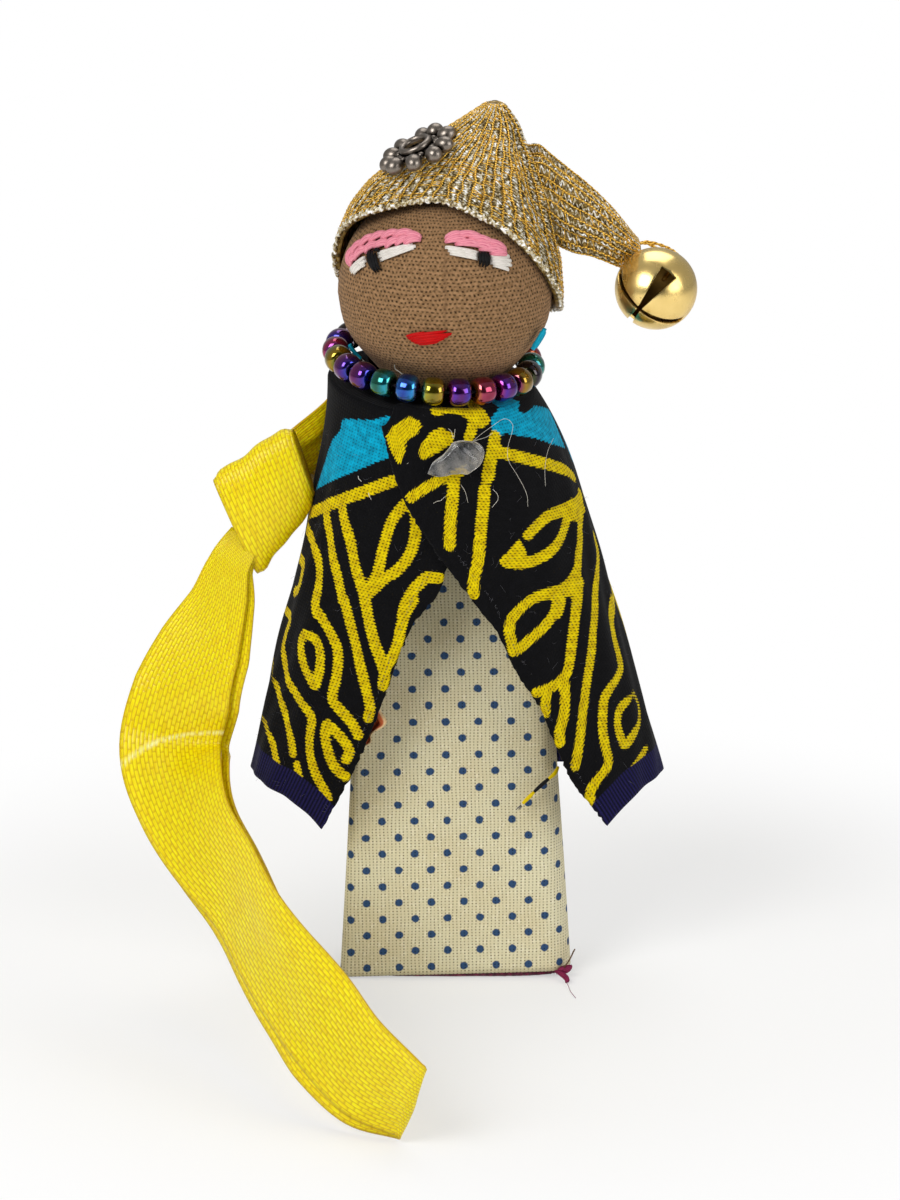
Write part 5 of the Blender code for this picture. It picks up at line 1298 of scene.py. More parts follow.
def buildHat():
    ground, lurex, film = buildKnitGround(), buildLurex(), buildFilm()
    columns, rows = 120, 44

    def place(around, up):
        return hatPoint(-math.pi + 2 * math.pi * around, min(up, 0.999), -0.05)

    bm = bmesh.new()
    bm.loops.layers.uv.new("cloth")
    warpGrid(bm, columns, rows, place, (103.0, 40.0))
    bmesh.ops.remove_doubles(bm, verts=bm.verts, dist=0.01 * mm)
    rim = [edge for edge in bm.edges if edge.is_boundary and edge.verts[0].co.z > 0.128]
    if rim:
        bmesh.ops.contextual_create(bm, geom=rim)
    bmesh.ops.recalc_face_normals(bm, faces=bm.faces)
    crown = finishPiece("hatCloth", bm, ground, "doll", ("hat_crown",))
    addSolidify(crown, hat["wall"], -1)
    applyModifiers(crown)

    angles = [-math.pi + 2 * math.pi * k / hat["wales"] for k in range(hat["wales"])]
    gold, glass = knitCover(hatPoint, angles, lambda k: (0.012, 0.985 if k % 2 else 0.72), 36.0)
    finishPiece("hatGold", gold, lurex, "doll", ())
    finishPiece("hatFilm", glass, film, "doll", ())

    # the brim's edge: clear yarn knitted off in small lumps
    edge = bmesh.new()
    edge.loops.layers.uv.new("thread")
    for turn in range(2):
        line = []
        count = 330
        for step in range(count):
            angle = -math.pi + 2 * math.pi * step / count
            bob = 0.22 * math.sin(step * 1.35 + turn * 2.2) + 0.15 * noise.noise(Vector((step * 0.37, turn * 5.0, 0)))
            line.append(
                hatPoint(
                    angle, 0.0, 0.08 + 0.18 * math.cos(step * 1.35 + turn)
                ) + Vector((0, 0, bob - 0.1 + 0.2 * turn))
            )
        strand(edge, line, 0.26, 6, closed=True)
    closeStrands(edge)
    finishPiece("hatBrimEdge", edge, film, "doll", ())

    bm = bmesh.new()
    bm.loops.layers.uv.new("cloth")
    columns, rows = 112, 60
    warpGrid(bm, columns, rows, lambda around, along: tailPoint(2 * math.pi * around, along), (36.0, 18.0))
    bmesh.ops.remove_doubles(bm, verts=bm.verts, dist=0.01 * mm)
    bmesh.ops.holes_fill(bm, edges=[edge for edge in bm.edges if edge.is_boundary], sides=0)
    bmesh.ops.recalc_face_normals(bm, faces=bm.faces)
    form = finishPiece("hatTailCloth", bm, ground, "tail", ("hat_tail",))
    angles = [2 * math.pi * k / tail["wales"] for k in range(tail["wales"])]
    gold, glass = knitCover(tailPoint, angles, lambda k: (0.06, 0.985), 21.0)
    finishPiece("hatTailGold", gold, lurex, "tail", ())
    finishPiece("hatTailFilm", glass, film, "tail", ())
    print("doll: hat is knitted")


buildHat()


# face stitches: (across, up) at the start, then at the end, in shares of the head's radius
floss = {
    "lidWide": 0.6, "lidThick": 0.44, "lidLift": 0.55,
    "whiteWide": 0.33, "whiteThick": 0.22, "whiteLift": 0.42,
    "pupilWide": 0.26, "pupilThick": 0.17, "pupilLift": 0.82,
    "whiteTaper": 0.2, "mouthWide": 0.25, "mouthThick": 0.2, "mouthLift": 0.48,
}
lidLeft = (
    (-0.873, 0.315, -0.792, 0.485), (-0.837, 0.391, -0.713, 0.549), (-0.763, 0.47, -0.618, 0.608),
    (-0.679, 0.535, -0.512, 0.645), (-0.573, 0.58, -0.395, 0.667), (-0.467, 0.614, -0.279, 0.672),
    (-0.378, 0.634, -0.218, 0.646), (-0.853, 0.309, -0.774, 0.431), (-0.814, 0.376, -0.667, 0.51),
    (-0.723, 0.459, -0.584, 0.555), (-0.634, 0.512, -0.478, 0.58), (-0.533, 0.534, -0.378, 0.615),
    (-0.444, 0.565, -0.29, 0.637), (-0.367, 0.583, -0.224, 0.627),
)
lidRight = (
    (0.002, 0.644, 0.172, 0.665), (0.062, 0.659, 0.327, 0.638), (0.194, 0.642, 0.448, 0.565),
    (0.326, 0.605, 0.548, 0.513), (0.002, 0.618, 0.194, 0.623), (0.09, 0.598, 0.326, 0.567),
    (0.216, 0.603, 0.47, 0.504), (0.304, 0.549, 0.542, 0.49), (0.403, 0.505, 0.547, 0.479),
)
whiteLeft = (
    (-0.864, 0.279, -0.728, 0.426), (-0.852, 0.265, -0.718, 0.402), (-0.828, 0.266, -0.727, 0.366),
    (-0.609, 0.481, -0.297, 0.588), (-0.604, 0.455, -0.269, 0.58), (-0.586, 0.43, -0.286, 0.564),
)
whiteRight = (
    (0.002, 0.578, 0.295, 0.523), (0.03, 0.553, 0.295, 0.501), (0.047, 0.528, 0.295, 0.474),
    (0.405, 0.481, 0.578, 0.463), (0.405, 0.458, 0.595, 0.423), (0.408, 0.434, 0.598, 0.387),
    (0.436, 0.41, 0.572, 0.354),
)
pupilLeft = (
    (-0.688, 0.48, -0.644, 0.338), (-0.669, 0.494, -0.624, 0.321), (-0.647, 0.5, -0.601, 0.328),
    (-0.624, 0.481, -0.581, 0.349), (-0.622, 0.503, -0.58, 0.498),
)
pupilRight = (
    (0.304, 0.523, 0.308, 0.42), (0.326, 0.529, 0.335, 0.404), (0.35, 0.525, 0.361, 0.397),
    (0.374, 0.511, 0.381, 0.407),
)
mouthStitches = (
    (-0.352, -0.224, -0.189, -0.176), (-0.35, -0.233, 0.013, -0.158), (-0.341, -0.245, 0.058, -0.184),
    (-0.327, -0.258, 0.054, -0.196), (-0.309, -0.273, 0.024, -0.215), (-0.285, -0.287, -0.009, -0.237),
    (-0.245, -0.298, -0.054, -0.259),
)


def buildFloss(name, light, dark, roughness=0.42):
    # stranded cotton floss: fine lengthwise filaments with a soft silky sheen
    made, tree, shader = newMaterial(name, Roughness=roughness)
    shader.inputs["Specular IOR Level"].default_value = 0.16
    thread = addNode(tree, "UVMap", {"uv_map": "thread"})
    stretched = addNode(tree, "Mapping", {}, {"Vector": thread, "Scale": (26.0, 0.7, 1.0)})
    fibre = addNode(tree, "TexNoise", {}, {"Vector": stretched, "Scale": 1.0, "Detail": 3.0, "Roughness": 0.6})
    shade = addNode(
        tree, "Mix", {"data_type": "RGBA"},
        {0: addNode(tree, "ValToRGB", ((0.32, 1.0), (0.6, 0.0)), {0: fibre}), 6: light, 7: dark},
        2,
    )
    tree.links.new(shade, shader.inputs["Base Color"])
    bump = addNode(tree, "Bump", {}, {"Strength": 0.5, "Distance": 0.08 * mm, "Height": fibre})
    tree.links.new(bump, shader.inputs["Normal"])
    return made


# one plump stitch over the face: it dives into the cloth at both ends and bends a little to one side
def faceStitch(bm, stitch, wide, thick, lift, bend=0.0, plump=0.55):
    centre = Vector(head["centre"])
    points, radii, facing = [], [], []
    steps = 10
    for step in range(steps + 1):
        t = step / steps
        arch = math.sin(math.pi * t)
        across = stitch[0] + (stitch[2] - stitch[0]) * t - (stitch[3] - stitch[1]) * bend * arch
        up = stitch[1] + (stitch[3] - stitch[1]) * t + (stitch[2] - stitch[0]) * bend * arch
        points.append(facePoint(across, up, (lift + thick * 0.3) * (0.25 + 0.75 * arch**0.45)))
        fullness = (1 - plump) + plump * arch**0.6
        radii.append((wide * fullness, thick * fullness))
        facing.append((points[-1] - centre).normalized())
    strand(bm, points, radii, 10, facing)


def buildFace():
    pink = buildFloss("pink stranded floss", "F29FAC", "C9607A", 0.4)
    white = buildFloss("white stranded floss", "F1EDE6", "BDB4A8", 0.5)
    black = buildFloss("black stranded floss", "0C0B0D", "020203", 0.5)
    red = buildFloss("red stranded floss", "CC0000", "980002", 0.42)
    patches = (
        ("lidLeft", lidLeft, "lid", pink, "eyelid_left", "pink_floss", 0.1),
        ("lidRight", lidRight, "lid", pink, "eyelid_right", "pink_floss", 0.06),
        ("eyeWhiteLeft", whiteLeft, "white", white, "eye_white_left", "white_floss", 0.0),
        ("eyeWhiteRight", whiteRight, "white", white, "eye_white_right", "white_floss", 0.0),
        ("pupilLeft", pupilLeft, "pupil", black, "pupil_left", "black_floss", 0.0),
        ("pupilRight", pupilRight, "pupil", black, "pupil_right", "black_floss", 0.0),
        ("mouth", mouthStitches, "mouth", red, "mouth", "red_floss", 0.04),
    )
    for name, stitches, kind, material, replaced, slot, bend in patches:
        bm = bmesh.new()
        bm.loops.layers.uv.new("thread")
        for index, stitch in enumerate(stitches):
            lift = floss[kind + "Lift"] + 0.03 * (index % 3)
            faceStitch(
                bm, stitch, floss[kind + "Wide"], floss[kind + "Thick"], lift, bend, floss.get(kind + "Taper", 0.55)
            )
        closeStrands(bm)
        finishPiece(name, bm, material, "doll", (replaced,))

    # the thread that draws the stocking in at the neck, twisted from two plies
    brown = buildFloss("brown sewing thread", "6E5238", "3D2A1B", 0.6)
    bm = bmesh.new()
    bm.loops.layers.uv.new("thread")
    centre = Vector((head["centre"][0], head["centre"][1], 89.0))
    for ply in range(2):
        line = []
        for step in range(180):
            angle = 2 * math.pi * step / 180
            twist = 40 * angle + math.pi * ply
            reach = 6.58 + 0.1 * math.cos(twist)
            line.append(centre + Vector((reach * math.cos(angle), reach * math.sin(angle), 0.1 * math.sin(twist))))
        strand(bm, line, 0.11, 6, closed=True)
    closeStrands(bm)
    finishPiece("neckThread", bm, brown, "doll", ("neck_thread",))
    print("doll: face is stitched")


buildFace()


beads = {
    "radius": 2.05,
    "length": 3.2,
    "hole": 0.7,
    "round": 2.5,  # how square the side is: 2 is a ball
}
# iris glass: rim, shoulder, belly, shoulder and rim colours along the bead's axis
irisColours = {
    "olive": ("4FC7B4", "B9B23A", "9E9420", "BFA52E", "7D8A2A"),
    "purple": ("B23A86", "7B3FB8", "7E2A8E", "5A48C0", "A33A9A"),
    "rose": ("C8913E", "B85A78", "A93C66", "C0507E", "7A4AB8"),
    "blue": ("A0469A", "2F8BD0", "2F62B8", "38A8DC", "A0469A"),
    "teal": ("3E7F9A", "36A898", "23806E", "2FB8CC", "5E9A4A"),
    "gold": ("9A3F7E", "B59A22", "A88E1C", "C9A23A", "B0507A"),
    "violet": ("C8A85A", "B0509A", "8A2F86", "6A3FA8", "3F62C8"),
    "dark": ("5E6A2E", "4E3A52", "3C2B44", "57482E", "4A2A4E"),
}
beadOrder = (
    "olive", "purple", "rose", "purple", "gold", "dark", "teal", "rose", "olive", "violet", "teal", "rose",
    "olive", "violet", "blue", "rose", "dark", "violet", "rose", "olive", "violet", "violet", "teal", "blue",
)


def buildIris(name, colours):
    # mirror-bright iris coating: the colour runs in bands from rim to rim
    iris, tree, shader = newMaterial("iris glass " + name, Metallic=0.92, Roughness=0.1)
    shader.inputs["Coat Weight"].default_value = 0.7
    shader.inputs["Coat Roughness"].default_value = 0.03
    thread = addNode(tree, "UVMap", {"uv_map": "thread"})
    split = addNode(tree, "SeparateXYZ", {}, {0: thread}, out=None)
    warp = addNode(tree, "TexNoise", {}, {"Vector": thread, "Scale": 1.6, "Detail": 1.0})
    along = addNode(
        tree, "Math", "ADD", (split.outputs[1], addNode(tree, "Math", "MULTIPLY_ADD", (warp, 0.16, -0.08)))
    )
    stops = zip((0.06, 0.24, 0.45, 0.66, 0.84), colours)
    deep = addNode(tree, "Gamma", {}, {"Color": addNode(tree, "ValToRGB", tuple(stops), {0: along}), "Gamma": 1.5})
    tree.links.new(deep, shader.inputs["Base Color"])
    return iris


# a bead's outline round its side and back through the hole, share 0 to 1: (reach, height along the axis)
def beadOutline(share):
    half = beads["length"] / 2
    if share > 0.9:
        return beads["hole"], half * (1 - 2 * (1 - share) / 0.1)
    angle = math.pi * (share / 0.9)
    power = 2 / beads["round"]
    height = -half * math.copysign(abs(math.cos(angle)) ** power, math.cos(angle))
    reach = beads["hole"] + (beads["radius"] - beads["hole"]) * math.sin(angle) ** power
    return reach, height


def buildNecklace():
    looks = {name: buildIris(name, colours) for name, colours in irisColours.items()}
    turn = Matrix.Rotation(
        math.radians(necklace["tilts"][0]), 4, "X"
    ) @ Matrix.Rotation(math.radians(necklace["tilts"][1]), 4, "Y")
    frameAt = Matrix.Translation(Vector(necklace["centre"])) @ turn
    made = []
    for index in range(necklace["count"]):
        # no two beads have quite the same size, and each sits a little askew on the string
        wide = 1 + 0.025 * noise.noise(Vector((index * 1.7, 0.3, 0)))
        tilt = Matrix.Rotation(math.radians(3.0 * noise.noise(Vector((index * 2.3, 5.1, 0)))), 4, "Z")
        stand = frameAt @ Matrix.Rotation(2 * math.pi * index / necklace["count"], 4, "Z")
        stand = stand @ Matrix.Translation((0, -necklace["radius"], 0)) @ tilt

        def place(around, along):
            reach, height = beadOutline(along)
            angle = 2 * math.pi * around
            return stand @ Vector((
                height * (2 - wide), reach * wide * math.cos(angle), reach * wide * math.sin(angle)
            ))

        bm = bmesh.new()
        bm.loops.layers.uv.new("thread")
        warpGrid(bm, 36, 30, place, (1.0, 1.0))
        closeStrands(bm)
        bmesh.ops.recalc_face_normals(bm, faces=bm.faces)
        name = f"bead{index + 1:02d}"
        replaced = (f"bead_{index + 1:02d}",)
        made.append(finishPiece(
            name, bm, looks[beadOrder[index]], "necklace", replaced
        ))

    black = buildFloss("black bead string", "262327", "0A090B", 0.6)
    bm = bmesh.new()
    bm.loops.layers.uv.new("thread")
    for ply in range(2):
        line = []
        for step in range(288):
            angle = 2 * math.pi * step / 288
            twist = 60 * angle + math.pi * ply
            spot = Vector((math.sin(angle), -math.cos(angle), 0)) * (necklace["radius"] + 0.13 * math.cos(twist))
            line.append(frameAt @ (spot + Vector((0, 0, 0.13 * math.sin(twist)))))
        strand(bm, line, 0.16, 6, closed=True)
    closeStrands(bm)
    finishPiece("necklaceString", bm, black, "necklace", ("necklace_string",))
    print("doll: necklace is strung")


buildNecklace()


ribbon = {
    "width": 15.0,
    "thickness": 0.22,
    "layers": 1.0,  # spacing of the two layers at the middle of the loop
    "knot": (-28.2, -2.0, 71.8),
    "loopStart": (-32.9075, -3.5675, 63.145),
    "run": 111.16,
    "strapHeight": 83.4,
    "strapWidth": 10.2,
    # where the strap leaves the cape and where it goes in behind the knot: middle, then half its width
    "strapEnd": (((-19.5, 4.7, 79.9), (1.05, 0.5, 6.06)), ((-22.6, 1.9, 77.8), (-1.35, 0.0, 4.3))),
    "floatWidth": 0.6,
    "floatLength": 1.7,
    "crease": 46.2,  # mm down the loop, where it reaches the table
}
# the loop's way from the knot: place in shares of the run, the cloth's width direction, the share of its width
ribbonWay = (
    ((-0.02, -0.006, -0.035), (0.9, -0.25, -0.36), 0.34),
    ((-0.042, -0.014, -0.073), (0.9, -0.25, -0.36), 0.42),
    ((-0.056, -0.016, -0.123), (0.94, -0.32, 0.1), 0.6),
    ((-0.079, -0.02, -0.181), (0.95, -0.3, 0.0), 0.84),
    ((-0.103, -0.027, -0.244), (0.97, -0.24, 0.0), 1.0),
    ((-0.121, -0.037, -0.315), (1.0, 0.0, 0.0), 1.0),
    ((-0.102, -0.12, -0.354), (0.82, -0.04, 0.57), 1.0),
    ((-0.07, -0.198, -0.394), (0.56, -0.14, 0.82), 1.0),
    ((-0.029, -0.275, -0.429), (0.43, -0.18, 0.88), 1.0),
    ((0.007, -0.354, -0.464), (0.41, -0.17, 0.9), 1.0),
    ((0.046, -0.436, -0.495), (0.43, -0.11, 0.9), 1.0),
    ((0.086, -0.516, -0.521), (0.47, -0.04, 0.88), 1.0),
    ((0.137, -0.587, -0.554), (0.38, -0.13, 0.92), 1.0),
    ((0.198, -0.651, -0.573), (0.25, -0.45, 0.86), 1.0),
)


def buildSatin():
    # polyester satin ribbon: bright floats on a slant, tight selvedge on both edges; its soft lengthwise sheen is
    # painted into the colour as streaks
    satin, tree, shader = newMaterial("yellow satin ribbon", Roughness=0.32)
    shader.inputs["Specular IOR Level"].default_value = 0.3
    shader.inputs["Anisotropic"].default_value = 0.5
    shader.inputs["Subsurface Weight"].default_value = 0.3
    shader.inputs["Subsurface Radius"].default_value = (1.0, 0.8, 0.1)
    shader.inputs["Subsurface Scale"].default_value = 1.2 * mm
    cloth = addNode(tree, "UVMap", {"uv_map": "cloth"})
    split = addNode(tree, "SeparateXYZ", {}, {0: cloth}, out=None)
    # floats run down the ribbon, each column's ends stepped on from the last one's
    place = addNode(tree, "Math", "MULTIPLY", (split.outputs[0], 1 / ribbon["floatWidth"]))
    step = addNode(tree, "Math", "MULTIPLY", (addNode(tree, "Math", "FLOOR", {0: place}), 0.44))
    along = addNode(
        tree, "Math", "FRACT",
        {0: addNode(
            tree, "Math", "ADD",
            (addNode(tree, "Math", "MULTIPLY", (split.outputs[1], 1 / ribbon["floatLength"])), step),
        )},
    )
    twill = addNode(tree, "ValToRGB", ((0.0, 0.0), (0.16, 1.0), (0.7, 1.0), (1.0, 0.35)), {0: along})
    rib = addNode(tree, "Math", "SINE", {0: addNode(tree, "Math", "MULTIPLY", (place, math.pi))})
    rib = addNode(tree, "Math", "ABSOLUTE", {0: rib})
    twill = addNode(tree, "Math", "MULTIPLY", (twill, addNode(tree, "Math", "POWER", (rib, 0.5))))
    stretch = addNode(tree, "Mapping", {}, {"Vector": cloth, "Scale": (3.2, 0.35, 1.0)})
    sheenStreak = addNode(tree, "TexNoise", {}, {"Vector": stretch, "Scale": 1.0, "Detail": 4.0})
    # painted sheen: lighter and darker yellow streaks down the ribbon
    shade = addNode(
        tree, "Mix", {"data_type": "RGBA"},
        {0: addNode(tree, "ValToRGB", ((0.34, 0.0), (0.66, 1.0)), {0: sheenStreak}), 6: "FFEE08", 7: "F2D000"},
        2,
    )
    shade = addNode(
        tree, "Mix", {"data_type": "RGBA"},
        {0: addNode(tree, "ValToRGB", ((0.1, 0.75), (0.75, 0.0)), {0: twill}), 6: shade, 7: "CFA000"},
        2,
    )
    shade = addNode(
        tree, "Mix", {"data_type": "RGBA"},
        {0: addNode(tree, "ValToRGB", ((0.1, 0.5), (0.5, 0.0)), {0: rib}), 6: shade, 7: "C89A00"},
        2,
    )
    edge = addNode(
        tree, "Math", "ABSOLUTE", {0: addNode(tree, "Math", "SUBTRACT", (split.outputs[0], ribbon["width"] / 2))}
    )
    selvedge = addNode(
        tree, "ValToRGB", ((0.93, 0.0), (0.955, 1.0)),
        {0: addNode(tree, "Math", "DIVIDE", (edge, ribbon["width"] / 2))},
    )
    shade = addNode(
        tree, "Mix", {"data_type": "RGBA"},
        {0: addNode(tree, "Math", "MULTIPLY", (selvedge, 0.35)), 6: shade, 7: "B98E00"},
        2,
    )
    # pale flecks along the fold where it meets the table: partly wear, partly a painted highlight on the fold
    slant = addNode(tree, "Math", "MULTIPLY_ADD", (split.outputs[0], 0.48, split.outputs[1]))
    fold = addNode(tree, "Math", "ABSOLUTE", {0: addNode(tree, "Math", "SUBTRACT", (slant, ribbon["crease"]))})
    worn = addNode(
        tree, "Math", "MULTIPLY",
        (
            addNode(tree, "ValToRGB", ((0.1, 1.0), (0.7, 0.0)), {0: fold}),
            addNode(tree, "ValToRGB", ((0.42, 0.0), (0.6, 1.0)), {0: sheenStreak}),
        ),
    )
    shade = addNode(tree, "Mix", {"data_type": "RGBA"}, {0: worn, 6: shade, 7: "FFF6A0"}, 2)
    tree.links.new(shade, shader.inputs["Base Color"])
    height = addNode(
        tree, "Math", "ADD",
        (addNode(tree, "Math", "MULTIPLY", (twill, 0.6)), addNode(tree, "Math", "MULTIPLY", (rib, 0.35))),
    )
    height = addNode(tree, "Math", "ADD", (height, addNode(tree, "Math", "MULTIPLY", (selvedge, 1.2))))
    bump = addNode(tree, "Bump", {}, {"Strength": 0.55, "Distance": 0.12 * mm, "Height": height})
    tree.links.new(bump, shader.inputs["Normal"])
    return satin


def clothStrip(middles, halves, columns, width, length, curl=None):
    bm = bmesh.new()
    bm.loops.layers.uv.new("cloth")
    last = len(middles) - 1

    def place(across, along):
        index = round(along * last)
        spot = middles[index] + halves[index] * (2 * across - 1)
        return spot + (curl(index, 2 * across - 1) if curl else Vector())

    warpGrid(bm, columns, last, place, (width, length))
    return bm


def buildRibbonLoop(satin):
    start = Vector(ribbon["loopStart"]) - ribbon["run"] * Vector(ribbonWay[1][0])
    points = smoothRoute([start + ribbon["run"] * Vector(row[0]) for row in ribbonWay], 8)
    sides = smoothRoute([row[1] for row in ribbonWay], 8)
    spreads = np.interp(
        np.linspace(0, len(ribbonWay) - 1, len(points)), range(len(ribbonWay)), [row[2] for row in ribbonWay]
    )
    last = len(points) - 1
    upper, lower = [], []
    for index, point in enumerate(points):
        ahead = (points[min(index + 1, last)] - points[max(index - 1, 0)]).normalized()
        share = index / last
        # square to its way until near the end, which is folded on a slant
        square = 1 - float(smoothstep((share - 0.8) / 0.2))
        side = (sides[index] - ahead * sides[index].dot(ahead) * square).normalized()
        out = ahead.cross(side).normalized()
        # the two layers part a little, slide sideways on each other, and meet in a round fold at the end
        apart = ribbon["layers"] / 2 * (1.0 + 0.5 * math.sin(math.pi * share) ** 2)
        slide = side * float(np.interp(
            share, (0, 0.22, 0.42, 0.52, 0.62, 0.85, 1), (0, -1.5, -1.0, 0.5, 1.8, 2.3, 1.2)
        ))
        half = side * spreads[index] * ribbon["width"] / 2
        ripple = out * 0.25 * math.sin(9 * share * math.pi)
        upper.append((point - out * apart + ripple - slide * 0.8, half))
        lower.append((point + out * apart + ripple + slide * 0.2, half))
    ahead = (points[-1] - points[-2]).normalized()
    turn = []
    for step in range(1, 8):
        angle = math.pi * step / 8
        start, end = upper[-1][0], lower[-1][0]
        middle = (start + end) / 2
        turn.append((
            middle + (start - middle) * math.cos(angle) + ahead * (start - end).length / 2 * math.sin(angle),
            upper[-1][1],
        ))
    # the layer that faces the front comes first
    rows = [*lower, *reversed(turn), *reversed(upper)]
    length = sum((b[0] - a[0]).length for a, b in zip(rows, rows[1:]))

    def curl(index, across):
        along = index / (len(rows) - 1)
        wave = 0.28 * math.sin(3.0 * across + 16 * along) + 0.18 * noise.noise(Vector((2.2 * across, 22 * along, 1.3)))
        wave += 1.1 * math.exp(-(((along - 0.31) / 0.06) ** 2)) * math.sin(1.7 * across + 0.3)
        half = rows[index][1]
        before, after = rows[max(index - 1, 0)][0], rows[min(index + 1, len(rows) - 1)][0]
        out = (after - before).cross(half)
        return out.normalized() * wave * 0.6 if out.length else Vector()

    bm = clothStrip([row[0] for row in rows], [row[1] for row in rows], 24, ribbon["width"], length, curl
    )
    loop = finishPiece("ribbonLoop", bm, satin, "loop", ("ribbon_loop",))
    addSolidify(loop, ribbon["thickness"])
    applyModifiers(loop)
    print("doll: ribbon loop", round(length), "mm long")


def buildKnot(satin):
    # one turn of ribbon pulled tight round the loop's neck: a fat roll that shows the cloth's full width
    knot = Vector(ribbon["knot"])
    corners = [
        knot + 15.0 * Vector((x, 0, z)) for x, z in ((-0.468, 0.255), (0.291, 0.764), (0.518, 0.095), (-0.052, -0.68))
    ]
    steps = 56
    middles, halves = [], []
    for step in range(steps + 1):
        angle = 2 * math.pi * step / steps
        share = 0.5 - 0.5 * math.cos(angle)
        depth = -math.copysign(abs(math.sin(angle)) ** 0.75, math.sin(angle)) * 2.9
        left = corners[0].lerp(corners[3], share)
        right = corners[1].lerp(corners[2], share)
        bulge = Vector((-0.52, 0, 0.85)) * 0.35 * math.cos(angle)
        middles.append((left + right) / 2 + Vector((0, depth, 0)) + bulge)
        halves.append((right - left) / 2)
    length = sum((b - a).length for a, b in zip(middles, middles[1:]))

    def curl(index, across):
        angle = 2 * math.pi * index / steps
        wave = 0.18 * math.sin(4.5 * across + 2.0 * math.sin(angle)) + 0.1 * math.sin(9 * across - angle)
        tuck = -1.5 * float(smoothstep((abs(across) - 0.78) / 0.22)) * 0.5
        out = Vector((-0.52 * math.cos(angle), -math.sin(angle), 0.85 * math.cos(angle)))
        return out * (wave + tuck)

    bm = clothStrip(middles, halves, 26, ribbon["width"], length, curl)
    bmesh.ops.remove_doubles(bm, verts=bm.verts, dist=0.01 * mm)
    band = finishPiece("ribbonKnot", bm, satin, "knot", ("ribbon_knot",))
    addSolidify(band, 0.3, -1)
    applyModifiers(band)


def buildStrap(satin):
    # the ribbon's tails, gathered flat round the back of the shoulder and down behind the knot
    turns = (-162, -150, -138, -124)
    middles = [Vector(capeSurface(angle, ribbon["strapHeight"], 1.35)) for angle in turns]
    uppers = [
        Vector(capeSurface(angle, ribbon["strapHeight"] + 4.6, 1.35)) - middle
        for angle, middle in zip(turns, middles)
    ]
    middles += [Vector(spot) for spot, _ in ribbon["strapEnd"]]
    uppers += [Vector(half) for _, half in ribbon["strapEnd"]]
    line, sides = smoothRoute(middles, 8), smoothRoute(uppers, 8)
    length = sum((b - a).length for a, b in zip(line, line[1:]))

    def curl(index, across):
        share = index / (len(line) - 1)
        out = (line[min(index + 1, len(line) - 1)] - line[max(index - 1, 0)]).cross(sides[index]).normalized()
        return out * (0.22 * math.sin(7.0 * across + 2 * share) + 0.1 * math.sin(15 * across))

    bm = clothStrip(line, sides, 20, ribbon["width"], length, curl)
    strap = finishPiece("ribbonStrap", bm, satin, "doll", ("ribbon_strap",))
    addSolidify(strap, 0.3)
    applyModifiers(strap)


satinRibbon = buildSatin()
buildRibbonLoop(satinRibbon)
buildKnot(satinRibbon)
buildStrap(satinRibbon)
print("doll: ribbon is tied")


charm = {
    "rise": 20.4,
    "turn": 21.0,  # degrees
    "longAxis": (0.9, 0.12, 0.42),
    "normal": (-0.4, -0.18, 0.9),
    "ballRadius": 1.22,
    "balls": 10,
    "circle": 4.6,
    "ring": (2.05, 0.6),
    "settle": (0.9, -1.5, -0.9),  # how far it sags into the soft knit
}
# each ball: how far out of its place round the ring (degrees), its reach, its length along the stem, its lift
charmBalls = (
    (0, 1.02, 1.2, 0.15), (3, 0.98, 1.1, 0.3), (-3, 1.03, 1.2, -0.1), (2, 1.0, 1.26, -0.2), (-2, 0.97, 1.18, -0.15),
    (4, 1.0, 1.12, 0.1), (-4, 1.02, 1.15, 0.2), (0, 0.99, 1.2, 0.1), (3, 1.0, 1.1, -0.1), (-2, 1.0, 1.18, 0.0),
)


def buildPewter():
    # antique pewter: polished high spots, dark patina left in the hollows
    pewter, tree, shader = newMaterial("antique pewter", Metallic=1.0)
    spots = addNode(tree, "TexCoord", out=None).outputs["Object"]
    hollow = addNode(tree, "AmbientOcclusion", {"samples": 8}, {"Distance": 1.1 * mm}, out=None).outputs["AO"]
    grain = addNode(tree, "TexNoise", {}, {"Vector": spots, "Scale": 2600.0, "Detail": 4.0})
    shade = addNode(
        tree, "Mix", {"data_type": "RGBA"},
        {0: addNode(tree, "ValToRGB", ((0.35, 0.0), (0.9, 1.0)), {0: hollow}), 6: "070605", 7: "877E75"},
        2,
    )
    tree.links.new(shade, shader.inputs["Base Color"])
    tree.links.new(addNode(tree, "ValToRGB", ((0.3, 0.28), (0.7, 0.4)), {0: grain}), shader.inputs["Roughness"])
    bump = addNode(tree, "Bump", {}, {"Strength": 0.12, "Distance": 0.05 * mm, "Height": grain})
    tree.links.new(bump, shader.inputs["Normal"])
    return pewter


